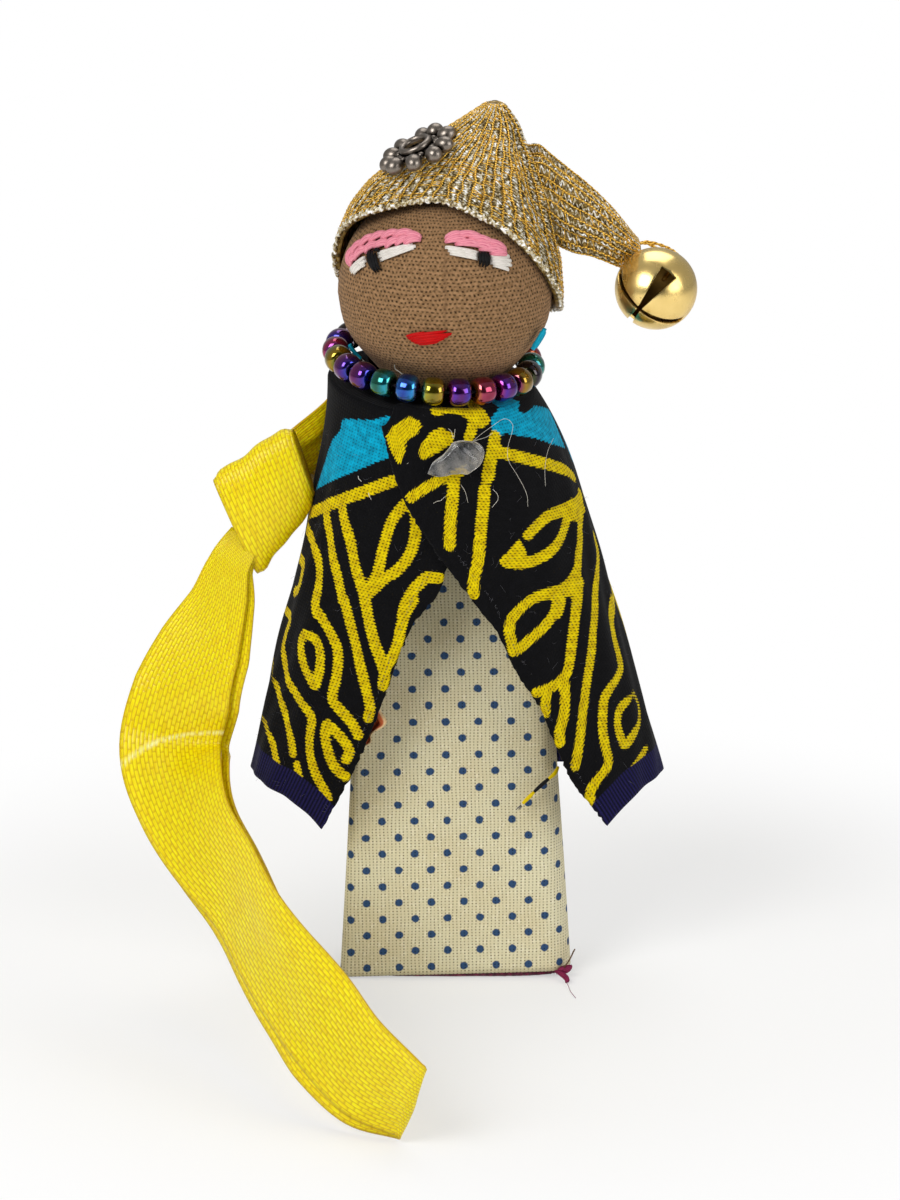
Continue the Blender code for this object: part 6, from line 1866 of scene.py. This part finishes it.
def buildCharm():
    normal = Vector(charm["normal"]).normalized()
    longAxis = Vector(charm["longAxis"])
    longAxis = (longAxis - normal * longAxis.dot(normal)).normalized()
    turn = Matrix((longAxis, normal.cross(longAxis), normal)).transposed()
    # the seat is on the solid hat's own surface, so that the charm stays where the frame has it
    angle = math.pi + math.radians(charm["turn"])
    share = charm["rise"] / hat["peak"]
    reaches = [
        hat["radius"] * float(np.interp(share, [row[0] for row in hatSections], [row[column] for row in hatSections]))
        for column in range(1, 5)
    ]
    across = (reaches[0] + reaches[1]) / 2 + (reaches[1] - reaches[0]) / 2 * math.cos(angle)
    seat = Vector(head["centre"]) + Vector((across, reaches[2] * math.sin(angle), charm["rise"]))
    middle = seat + normal * (charm["ballRadius"] + 0.8) + Vector(charm["settle"])

    bm = bmesh.new()
    bm.loops.layers.uv.new("thread")
    reach, wire = charm["ring"]
    ring = [
        middle + turn @ Vector((reach * math.cos(2 * math.pi * k / 64), reach * math.sin(2 * math.pi * k / 64), 0.8))
        for k in range(64)
    ]
    facing = [turn @ Vector((0, 0, 1))] * 64
    strand(bm, ring, [(wire * 0.75, wire)] * 64, 12, facing, closed=True)
    for index, (askew, far, long, lift) in enumerate(charmBalls):
        spin = 2 * math.pi * index / charm["balls"] + math.radians(askew)
        out = turn @ Vector((math.cos(spin), math.sin(spin), 0))
        ball = middle + out * charm["circle"] * far + normal * lift
        start = middle + out * reach
        line = [start + (ball - start) * t for t in (0.0, 0.3, 0.55, 0.72, 0.85)]
        strand(bm, line, [0.6, 0.46, 0.46, 0.62, 0.9], 14, normal)
        stretch = Matrix.Scale(long, 4, out)
        settle = Matrix.Translation(ball * mm) @ stretch
        bmesh.ops.create_uvsphere(bm, u_segments=30, v_segments=20, radius=charm["ballRadius"] * mm, matrix=settle)
        half = spin + math.pi / charm["balls"]
        grain = middle + turn @ Vector((
            (reach + wire + 0.25) * math.cos(half), (reach + wire + 0.25) * math.sin(half), 0.1
        ))
        bmesh.ops.create_uvsphere(
            bm, u_segments=16, v_segments=10, radius=0.55 * mm, matrix=Matrix.Translation(grain * mm)
        )
    bmesh.ops.remove_doubles(bm, verts=bm.verts, dist=0.001 * mm)
    finishPiece("flowerCharm", bm, buildPewter(), "doll", ("flower_charm",))
    print("doll: charm is cast")


buildCharm()


bell = {
    "centre": (28.8926, -1.1934, 103.9115),
    "radius": 5.95,
    "wall": 0.4,
    "pole": (-0.44, -0.84, -0.32),
    "slitFace": (0.454, -0.513, 0.727),
    "slitAtPole": 0.5,
    "slitEnds": (2.7, 1.3, 1.2, 1.3),  # the four slits' widths at their ends
    "slitReach": 72.0,  # degrees from the pole
    "eyeHole": 0.45,
    "pellet": 1.3,
}
# the thread from the tail through the wire eye, in the bell's frame, in shares of its radius
bellThread = (
    (-0.02, -1.06, 0.66), (0.12, -0.93, 0.9), (0.08, -0.57, 1.11), (0, -0.2, 1.15), (0, 0.06, 1.15), (0, 0.2, 1.22),
    (0, 0.23, 1.34),
    (0, 0.16, 1.45), (0, 0, 1.49), (0.05, -0.27, 1.45), (0.1, -0.6, 1.26), (0.1, -0.93, 0.98), (0.0, -1.04, 0.72),
)


def bellFrame():
    up = -Vector(bell["pole"]).normalized()
    face = Vector(bell["slitFace"])
    face = (face - up * face.dot(up)).normalized()
    return Matrix((face, up.cross(face), up)).transposed()


def buildBrass(name, high, low, roughness, mottle=0.5):
    # satin brass: brushed sheen, a little tarnish and a few dark specks
    brass, tree, shader = newMaterial(name, Metallic=1.0, Roughness=roughness)
    spots = addNode(tree, "TexCoord", out=None).outputs["Object"]
    cloud = addNode(tree, "TexNoise", {}, {"Vector": spots, "Scale": 260.0, "Detail": 4.0})
    speck = addNode(tree, "TexNoise", {}, {"Vector": spots, "Scale": 1900.0, "Detail": 2.0})
    shade = addNode(
        tree, "Mix", {"data_type": "RGBA"},
        {
            0: addNode(
                tree, "Math", "MULTIPLY", (addNode(tree, "ValToRGB", ((0.35, 0.0), (0.7, 1.0)), {0: cloud}), mottle)
            ),
            6: high, 7: low,
        },
        2,
    )
    shade = addNode(
        tree, "Mix", {"data_type": "RGBA"},
        {0: addNode(tree, "ValToRGB", ((0.7, 0.0), (0.78, 0.6)), {0: speck}), 6: shade, 7: "6A4E1E"},
        2,
    )
    tree.links.new(shade, shader.inputs["Base Color"])
    tree.links.new(
        addNode(tree, "ValToRGB", ((0.3, roughness - 0.06), (0.75, roughness + 0.1)), {0: cloud}),
        shader.inputs["Roughness"],
    )
    bump = addNode(tree, "Bump", {}, {"Strength": 0.08, "Distance": 0.05 * mm, "Height": speck})
    tree.links.new(bump, shader.inputs["Normal"])
    return brass


def buildBell():
    brass = buildBrass("satin brass", "FFE092", "DDB965", 0.25)
    # the inner wall gets a darker, duller brass
    inside = buildBrass("darker brass inside", "B08C48", "7A5C28", 0.45, 1.0)
    turn, centre = bellFrame(), Vector(bell["centre"])
    reach = math.radians(bell["slitReach"])
    hole = math.asin(bell["eyeHole"] / bell["radius"])
    slitRows, domeRows, columns = 22, 20, 22

    # how far a petal's edge stands off the slit's middle line, in radians of turn, at this angle from the pole
    def edgeTurn(polar, end):
        half = (bell["slitAtPole"] + (end - bell["slitAtPole"]) * polar / reach) / 2
        return math.asin(min(half / (bell["radius"] * math.sin(polar)), 0.7071))

    tip = 0.0
    for _ in range(30):
        half = (bell["slitAtPole"] + (bell["slitEnds"][0] - bell["slitAtPole"]) * tip / reach) / 2
        tip = math.asin(half / 0.7071 / bell["radius"])
    polars = [tip + (reach - tip) * step / slitRows for step in range(slitRows + 1)]
    polars += [reach + 0.012 + (math.pi - hole - reach - 0.012) * step / domeRows for step in range(domeRows + 1)]
    bm = bmesh.new()
    bm.loops.layers.uv.new("thread")
    for petal in range(4):

        def place(across, along):
            polar = polars[round(along * (len(polars) - 1))]
            cuts = [
                edgeTurn(polar, bell["slitEnds"][(petal + k) % 4]) if polar <= reach + 0.001 else 0.0
                for k in range(2)
            ]
            angle = math.pi / 2 * petal + cuts[0] + (math.pi / 2 - cuts[0] - cuts[1]) * across
            spot = Vector((math.sin(polar) * math.cos(angle), math.sin(polar) * math.sin(angle), -math.cos(polar)))
            return centre + turn @ (spot * bell["radius"])

        warpGrid(bm, columns, len(polars) - 1, place, (1.0, 1.0))
    bmesh.ops.remove_doubles(bm, verts=bm.verts, dist=0.004 * mm)
    bmesh.ops.recalc_face_normals(bm, faces=bm.faces)
    shell = finishPiece("bellShell", bm, brass, "bell", ("bell_shell",))
    shell.data.materials.append(inside)
    wall = addSolidify(shell, bell["wall"], -1)
    wall.material_offset = 1
    edge = shell.modifiers.new("worn edges", "BEVEL")
    edge.width = 0.09 * mm
    edge.segments = 2
    edge.limit_method = "ANGLE"
    edge.angle_limit = math.radians(50)
    applyModifiers(shell)

    # the wire eye: its feet are spread inside the shell
    steel = buildBrass("brass wire", "D2B368", "A9843C", 0.3)
    arch = bell["radius"] + 1.0
    wire = [(-1.9, 0, 4.68), (-1.3, 0, 4.85), (-1.0, 0, 5.3), (-1.0, 0, arch - 0.4)]
    wire += [(1.0 * math.cos(math.pi * (1 - k / 12)), 0, arch + math.sin(math.pi * k / 12)) for k in range(13)]
    wire += [(1.0, 0, arch - 0.4), (1.0, 0, 5.3), (1.3, 0, 4.85), (1.9, 0, 4.68)]
    bm = bmesh.new()
    bm.loops.layers.uv.new("thread")
    strand(bm, [centre + turn @ Vector(spot) for spot in wire], 0.3, 14, turn @ Vector((0, 1, 0)))
    closeStrands(bm)
    finishPiece("bellEye", bm, steel, "bell", ("bell_shank",))

    bm = bmesh.new()
    bmesh.ops.create_uvsphere(bm, u_segments=28, v_segments=18, radius=bell["pellet"] * mm)
    drop = bell["radius"] - bell["wall"] - 0.3 - bell["pellet"]
    bmesh.ops.translate(bm, verts=bm.verts, vec=(centre - Vector((0, 0, drop))) * mm)
    finishPiece("bellPellet", bm, steel, "pellet", ("bell_pellet",))

    # two-ply gold thread from the tail's end through the eye and back
    route = smoothRoute([centre + turn @ (Vector(spot) * bell["radius"]) for spot in bellThread], 12)
    bm = bmesh.new()
    bm.loops.layers.uv.new("thread")
    for ply in range(2):
        line = []
        for index, spot in enumerate(route):
            after = route[min(index + 1, len(route) - 1)] - route[max(index - 1, 0)]
            side = after.orthogonal().normalized()
            side.rotate(Matrix.Rotation(index * 0.55 + math.pi * ply, 3, after.normalized()))
            line.append(spot + side * 0.13)
        strand(bm, line, 0.14, 6)
    closeStrands(bm)
    finishPiece("bellThread", bm, bpy.data.materials["gold lurex yarn with painted glints"], "bell_link", ("bell_thread",))
    print("doll: bell is hung")


buildBell()


small = {
    "glueSpot": (-354, 82.2),
    "glueHalf": (4.35, 0.9, 2.65),
    "glueRise": 25.0,
    "baseTop": 1.2,
}
# long pale threads over the cape's front: radius, lift off the cloth, then (degrees, height) along each
longHairs = (
    (0.028, 0.5, ((-346.5, 83.9), (-341.8, 85.0), (-332.5, 86.3), (-322.2, 87.2), (-319.0, 86.5), (-320.9, 85.5),
        (-327.3, 83.4), (-329.3, 81.5), (-326.8, 79.0), (-324.8, 76.5), (-325.5, 74.6))),
    (0.026, 0.45, ((-293.1, 82.8), (-304.5, 81.6), (-310.8, 79.5), (-313.4, 77.0))),
    (0.03, 0.35, ((-344.0, 84.5), (-341.3, 84.8), (-336.0, 85.1), (-331.7, 85.5))),
    (0.09, 0.3, ((-21.4, 81.1), (-20.5, 80.3), (-19.6, 79.5))),
    (0.035, 0.4, ((-365.4, 75.8), (-363.5, 76.2), (-362.2, 76.3), (-360.1, 76.9))),
    (0.03, 0.4, ((-353.1, 78.5), (-351.8, 77.5), (-351.1, 75.9))),
    (0.035, 0.4, ((-339.6, 77.6), (-338.3, 76.9), (-338.6, 76.1), (-341.4, 75.0))),
    (0.03, 0.5, ((-353.9, 86.6), (-352.8, 86.2), (-352.6, 85.2), (-350.5, 86.5))),
    (0.03, 0.4, ((-17.0, 80.9), (-15.8, 81.4), (-14.2, 81.7))),
    (0.06, 0.3, ((-42.0, 78.6), (-40.9, 78.3), (-39.9, 77.9))),
    (0.05, 0.3, ((-35.6, 76.4), (-34.5, 76.0), (-34.0, 75.5))),
)


def buildGlue():
    # hot glue gone cold: cloudy clear blob, waxy where it is thick
    glue, tree, shader = newMaterial("hot glue", Roughness=0.14, IOR=1.4)
    spots = addNode(tree, "TexCoord", out=None).outputs["Object"]
    cloud = addNode(tree, "TexNoise", {}, {"Vector": spots, "Scale": 420.0, "Detail": 3.0})
    shade = addNode(
        tree, "Mix", {"data_type": "RGBA"},
        {0: addNode(tree, "ValToRGB", ((0.35, 0.0), (0.65, 1.0)), {0: cloud}), 6: "B4B8BE", 7: "DDD6CA"},
        2,
    )
    tree.links.new(shade, shader.inputs["Base Color"])
    tree.links.new(
        addNode(tree, "ValToRGB", ((0.34, 0.96), (0.7, 0.7)), {0: cloud}), shader.inputs["Transmission Weight"]
    )
    fold = addNode(tree, "TexNoise", {}, {"Vector": spots, "Scale": 520.0, "Detail": 1.0})
    bump = addNode(tree, "Bump", {}, {"Strength": 0.35, "Distance": 0.25 * mm, "Height": fold})
    tree.links.new(bump, shader.inputs["Normal"])

    # two lobes pressed flat along a slant, the right one ridged by a finger, the left one pulled out to a tongue
    spot = Vector(capeSurface(*small["glueSpot"], 0.18 + 0.3 + small["glueHalf"][1]).tolist())
    tilt = Matrix.Rotation(-math.radians(small["glueRise"]), 3, "Y")
    half = small["glueHalf"]
    bm = bmesh.new()
    bmesh.ops.create_icosphere(bm, subdivisions=6, radius=1)
    for vertex in bm.verts:
        x, y, z = vertex.co
        tall = 0.62 + 0.38 * float(smoothstep((x + 0.35) / 0.5))
        tall -= 0.25 * float(smoothstep((-x - 0.72) / 0.25))
        waist = 1 - 0.12 * math.exp(-(((x + 0.02) / 0.14) ** 2))
        ridge = 0.16 * math.sin(17 * x + 4 * z) * float(smoothstep((x - 0.12) / 0.2))
        furrow = 0.12 * math.sin(7 * z - 5 * x) * float(smoothstep((-x - 0.1) / 0.3))
        bulge = 0.2 * noise.noise(Vector((1.8 * x, 2.0 * z, 0.4)))
        side = 0.16 * noise.noise(Vector((2.1 * x, 0.0, 6.0)))
        deep = y * (1 + ridge + furrow + bulge) if y < 0 else y
        body = Vector((x * half[0], deep * half[1], (z * waist + side * 0.5 - 0.1 * (1 - tall)) * half[2] * tall))
        vertex.co = (spot + tilt @ body) * mm
    finishPiece("glueBlob", bm, glue, "doll", ("glue_blob",))


def buildScrap():
    # thin rust-coloured cotton with a pale cut edge, pleated where it is caught under the cape
    rust, tree, shader = newMaterial("rust cotton scrap", Roughness=0.75)
    cloth = addNode(tree, "UVMap", {"uv_map": "cloth"})
    split = addNode(tree, "SeparateXYZ", {}, {0: cloth}, out=None)
    weave = addNode(
        tree, "Math", "SINE",
        {0: addNode(
            tree, "Math", "MULTIPLY",
            (addNode(tree, "Math", "ADD", (split.outputs[0], split.outputs[1])), 2 * math.pi / 0.3),
        )},
    )
    patch = addNode(tree, "TexNoise", {}, {"Vector": cloth, "Scale": 0.7, "Detail": 4.0})
    shade = addNode(
        tree, "Mix", {"data_type": "RGBA"},
        {0: addNode(tree, "ValToRGB", ((0.35, 0.0), (0.65, 1.0)), {0: patch}), 6: "B4531B", 7: "8E3A14"},
        2,
    )
    edge = addNode(
        tree, "ValToRGB", ((0.28, 1.0), (0.5, 0.0)), {0: addNode(tree, "Math", "SUBTRACT", (8.0, split.outputs[0]))}
    )
    shade = addNode(tree, "Mix", {"data_type": "RGBA"}, {0: edge, 6: shade, 7: "D8B98A"}, 2)
    tree.links.new(shade, shader.inputs["Base Color"])
    bump = addNode(tree, "Bump", {}, {"Strength": 0.4, "Distance": 0.06 * mm, "Height": weave})
    tree.links.new(bump, shader.inputs["Normal"])

    def place(across, up):
        height = 37.9 + 7.2 * up
        edgeAt = float(np.interp(height / 88.0, *zip(*capeUnderEdge)))
        peek = 5.2 * abs(math.sin(math.pi * up)) ** 0.8 - 0.8 + 1.3 * math.sin(4.2 * math.pi * up + 0.6)
        degrees = edgeAt - 9 + (9 + peek) * across
        pleat = 0.55 * (1 - math.cos(2 * math.pi * (2.6 * across + 1.1 * up)))
        return Vector(capeSurface(degrees, height, -(0.18 + 0.35 + 0.1 + pleat)).tolist())

    bm = bmesh.new()
    bm.loops.layers.uv.new("cloth")
    warpGrid(bm, 40, 30, place, (8.0, 7.5))
    scrap = finishPiece("rustScrap", bm, rust, "doll", ("cloth_scrap",))
    addSolidify(scrap, 0.16)
    applyModifiers(scrap)


def buildBase():
    # magenta wool felt, fuzzy on the cut edge
    felt, tree, shader = newMaterial("magenta wool felt", Roughness=0.95, Sheen_Weight=0.5, Sheen_Roughness=0.6)
    spots = addNode(tree, "TexCoord", out=None).outputs["Object"]
    patch = addNode(tree, "TexNoise", {}, {"Vector": spots, "Scale": 1800.0, "Detail": 4.0})
    shade = addNode(
        tree, "Mix", {"data_type": "RGBA"},
        {0: addNode(tree, "ValToRGB", ((0.35, 0.0), (0.65, 1.0)), {0: patch}), 6: "4A1430", 7: "8C2450"},
        2,
    )
    tree.links.new(shade, shader.inputs["Base Color"])
    bump = addNode(tree, "Bump", {}, {"Strength": 0.8, "Distance": 0.25 * mm, "Height": patch})
    tree.links.new(bump, shader.inputs["Normal"])
    profile = ((0.0, 0.0), (0.7, 0.0), (1.0, 0.12), (1.0, 0.85), (0.985, 1.0), (0.6, 1.0), (0.0, 1.0))

    def place(around, along):
        row = along * (len(profile) - 1)
        reach = float(np.interp(row, range(len(profile)), [spot[0] for spot in profile]))
        rise = float(np.interp(row, range(len(profile)), [spot[1] for spot in profile]))
        angle = 2 * math.pi * around
        across = math.copysign(abs(math.cos(angle)) ** 0.5, math.cos(angle)) * 16.4
        deep = math.copysign(abs(math.sin(angle)) ** 0.5, math.sin(angle)) * 5.7
        rough = 1 + 0.02 * noise.noise(Vector((across * 1.6, deep * 1.6, rise * 2.0)))
        return Vector((across * reach * rough, deep * reach * rough, small["baseTop"] * rise))

    bm = bmesh.new()
    bm.loops.layers.uv.new("thread")
    warpGrid(bm, 160, 24, place, (70.0, 12.0))
    closeStrands(bm)
    bmesh.ops.recalc_face_normals(bm, faces=bm.faces)
    finishPiece("feltBase", bm, felt, "doll", ("base_pad",))

    # loose tufts and a thread end at the right corner of the felt, and the brown stitch that goes up into the hem
    magenta = buildFloss("magenta felt thread", "8E2A52", "571330", 0.7)
    bm = bmesh.new()
    bm.loops.layers.uv.new("thread")
    tuft = smoothRoute(
        [(14.9, -6.1, 1.1), (15.6, -6.9, 1.0), (16.3, -7.6, 0.75), (16.6, -8.4, 0.5), (16.4, -9.0, 0.45)], 6
    )
    strand(
        bm, tuft,
        [0.12 + 0.3 * math.sin(math.pi * min(k / (len(tuft) - 1) * 0.8 + 0.1, 1)) ** 1.3 for k in range(len(tuft))],
        10,
    )
    fine = smoothRoute([(16.4, -8.9, 0.45), (16.7, -10.2, 0.25), (17.0, -12.2, 0.12), (17.7, -14.8, 0.07)], 6)
    strand(bm, fine, 0.045, 5)
    knob = smoothRoute([(15.3, -6.0, 1.2), (16.2, -6.2, 1.35), (17.0, -6.0, 1.7), (17.3, -5.6, 1.9)], 5)
    strand(
        bm, knob,
        [0.3, 0.42, 0.5, 0.55, 0.6, 0.62, 0.62, 0.6, 0.55, 0.5, 0.42, 0.36, 0.28, 0.2, 0.12, 0.06][: len(knob)],
        10,
    )
    for k in range(26):
        start = Vector((4 + k * 0.46, -5.75, 0.9 + 0.2 * noise.noise(Vector((k * 1.9, 0, 0)))))
        drift = Vector((
            0.5 * noise.noise(Vector((k * 0.7, 3, 0))), -0.5, -0.35 + 0.3 * noise.noise(Vector((k * 1.1, 9, 0)))
        ))
        strand(bm, [start, start + drift * 0.5, start + drift + Vector((0.1, 0, 0.1))], [0.06, 0.05, 0.02], 4)
    closeStrands(bm)
    finishPiece("feltThreads", bm, magenta, "doll", ())
    brown = bpy.data.materials["brown sewing thread"]
    bm = bmesh.new()
    bm.loops.layers.uv.new("thread")
    strand(
        bm, smoothRoute([(16.1, -6.75, 1.9), (16.9, -6.65, 3.0), (17.5, -6.1, 4.1), (17.75, -5.7, 4.4)], 4), 0.11, 6
    )
    closeStrands(bm)
    finishPiece("hemStitch", bm, brown, "doll", ())


def buildThreads():
    generator = np.random.default_rng(11)
    # clear and off-white thread ends left by the glue and the stitching
    pale = buildFloss("pale thread end", "E9E4D6", "A9A59A", 0.35)
    bm = bmesh.new()
    bm.loops.layers.uv.new("thread")
    for radius, lift, route in longHairs:
        points = []
        for index, (degrees, height) in enumerate(route):
            rise = lift + 0.25 * math.sin(math.pi * index / (len(route) - 1))
            points.append(Vector(capeSurface(degrees, height, 0.18 + rise).tolist()))
        strand(bm, smoothRoute(points, 5), radius, 5)
    for route in (
        ((-0.826, -0.542), (-0.79, -0.588), (-0.754, -0.625), (-0.7, -0.681)),
        ((-0.451, -0.534), (-0.442, -0.581), (-0.416, -0.6), (-0.38, -0.629), (-0.362, -0.65)),
    ):
        strand(bm, smoothRoute([facePoint(*spot, 0.6) for spot in route], 5), 0.06, 5)
    closeStrands(bm)
    finishPiece("threadEnds", bm, pale, "doll", ())

    # one yarn pulled out of the wax print: yellow, black and yellow again, with a grey fuzzy end
    yarnWay = smoothRoute(
        [
            (15.1, -5.0, 32.6), (14.6, -6.6, 32.2), (13.6, -7.3, 31.5), (12.2, -7.6, 30.3), (10.7, -7.8, 28.8),
            (9.4, -7.9, 27.4),
        ],
        8,
    )
    yellow = buildFloss("yellow yarn end", "F0D400", "C9A800", 0.6)
    dark = buildFloss("black yarn end", "1C1B1E", "08080A", 0.7)
    parts = ((0, 16, yellow, "yarnYellowTop"), (15, 28, dark, "yarnBlack"), (27, 37, yellow, "yarnYellowTip"))
    for start, end, material, name in parts:
        bm = bmesh.new()
        bm.loops.layers.uv.new("thread")
        count = end - start
        radii = [0.2 + 0.1 * math.sin(math.pi * (k / count)) for k in range(count + 1)]
        strand(bm, yarnWay[start : end + 1], radii, 10)
        closeStrands(bm)
        finishPiece(name, bm, material, "doll", ())
    grey = buildFloss("grey lint", "77767C", "3E3D42", 0.8)
    bm = bmesh.new()
    bm.loops.layers.uv.new("thread")
    for k in range(16):
        start = Vector((9.6, -7.85, 27.6)) + Vector(generator.normal(0, 0.12, 3))
        drift = Vector((-0.5, -0.1, -0.55)) + Vector(generator.normal(0, 0.16, 3))
        strand(bm, [start, start + drift * 0.5, start + drift], [0.03, 0.025, 0.01], 3)
    # short loose fibres that stand on the black cloth and along its cut edges
    for k in range(520):
        if k < 330:
            degrees = generator.uniform(-372, -262) if k % 2 else generator.uniform(-98, -8)
            height = generator.uniform(30, 84)
            edgeAt = float(np.interp(height / 88.0, *zip(*(capeOverEdge if k % 2 else capeUnderEdge))))
            # off the cloth
            if degrees > edgeAt or (k % 2 and not edgeAt <= degrees + 360 <= 90):
                continue
            size, thick, rise = generator.uniform(0.5, 1.6), 0.016, 0.2
        else:
            height = generator.uniform(28, 70)
            if k % 2:
                degrees = float(np.interp(height / 88.0, *zip(*capeOverEdge))) - 360
            else:
                degrees = float(np.interp(height / 88.0, *zip(*capeUnderEdge)))
            size, thick, rise = generator.uniform(0.3, 0.9), 0.022, 0.1
        spot = Vector(capeSurface(degrees, height, 0.18 + rise).tolist())
        way = Vector(generator.normal(0, 1, 3))
        way.y *= 0.35
        way = way.normalized() * size
        bend = Vector(generator.normal(0, 0.25, 3)) * size
        bend.y = -abs(bend.y)
        strand(bm, [spot - way / 2, spot + bend * 0.6, spot + way / 2], [thick * 0.6, thick, thick * 0.4], 3)
    closeStrands(bm)
    finishPiece("capeLint", bm, grey, "doll", ())

    # the cape's rolled collar edge, between the beads and the head on either side
    teal = buildFloss("turquoise rolled edge", "12A5C4", "0A7C98", 0.8)
    bm = bmesh.new()
    bm.loops.layers.uv.new("thread")
    right = ((0.745, -0.42), (0.788, -0.36), (0.825, -0.3), (0.85, -0.24))
    route = smoothRoute([facePoint(*spot, 1.2) for spot in right], 6)
    radii = [(0.7, 0.4) if 2 < k < len(route) - 3 else (0.45, 0.3) for k in range(len(route))]
    centre = Vector(head["centre"])
    strand(bm, route, radii, 12, [(spot - centre).normalized() for spot in route])
    left = ((-0.855, -0.495), (-0.828, -0.541), (-0.793, -0.586), (-0.757, -0.623))
    route = smoothRoute([facePoint(*spot, 0.7) for spot in left], 6)
    strand(bm, route, [(0.5, 0.3)] * len(route), 10, [(spot - centre).normalized() for spot in route])
    closeStrands(bm)
    finishPiece("collarRoll", bm, teal, "doll", ())
    print("doll: threads and lint are laid")


buildGlue()
buildScrap()
buildBase()
buildThreads()
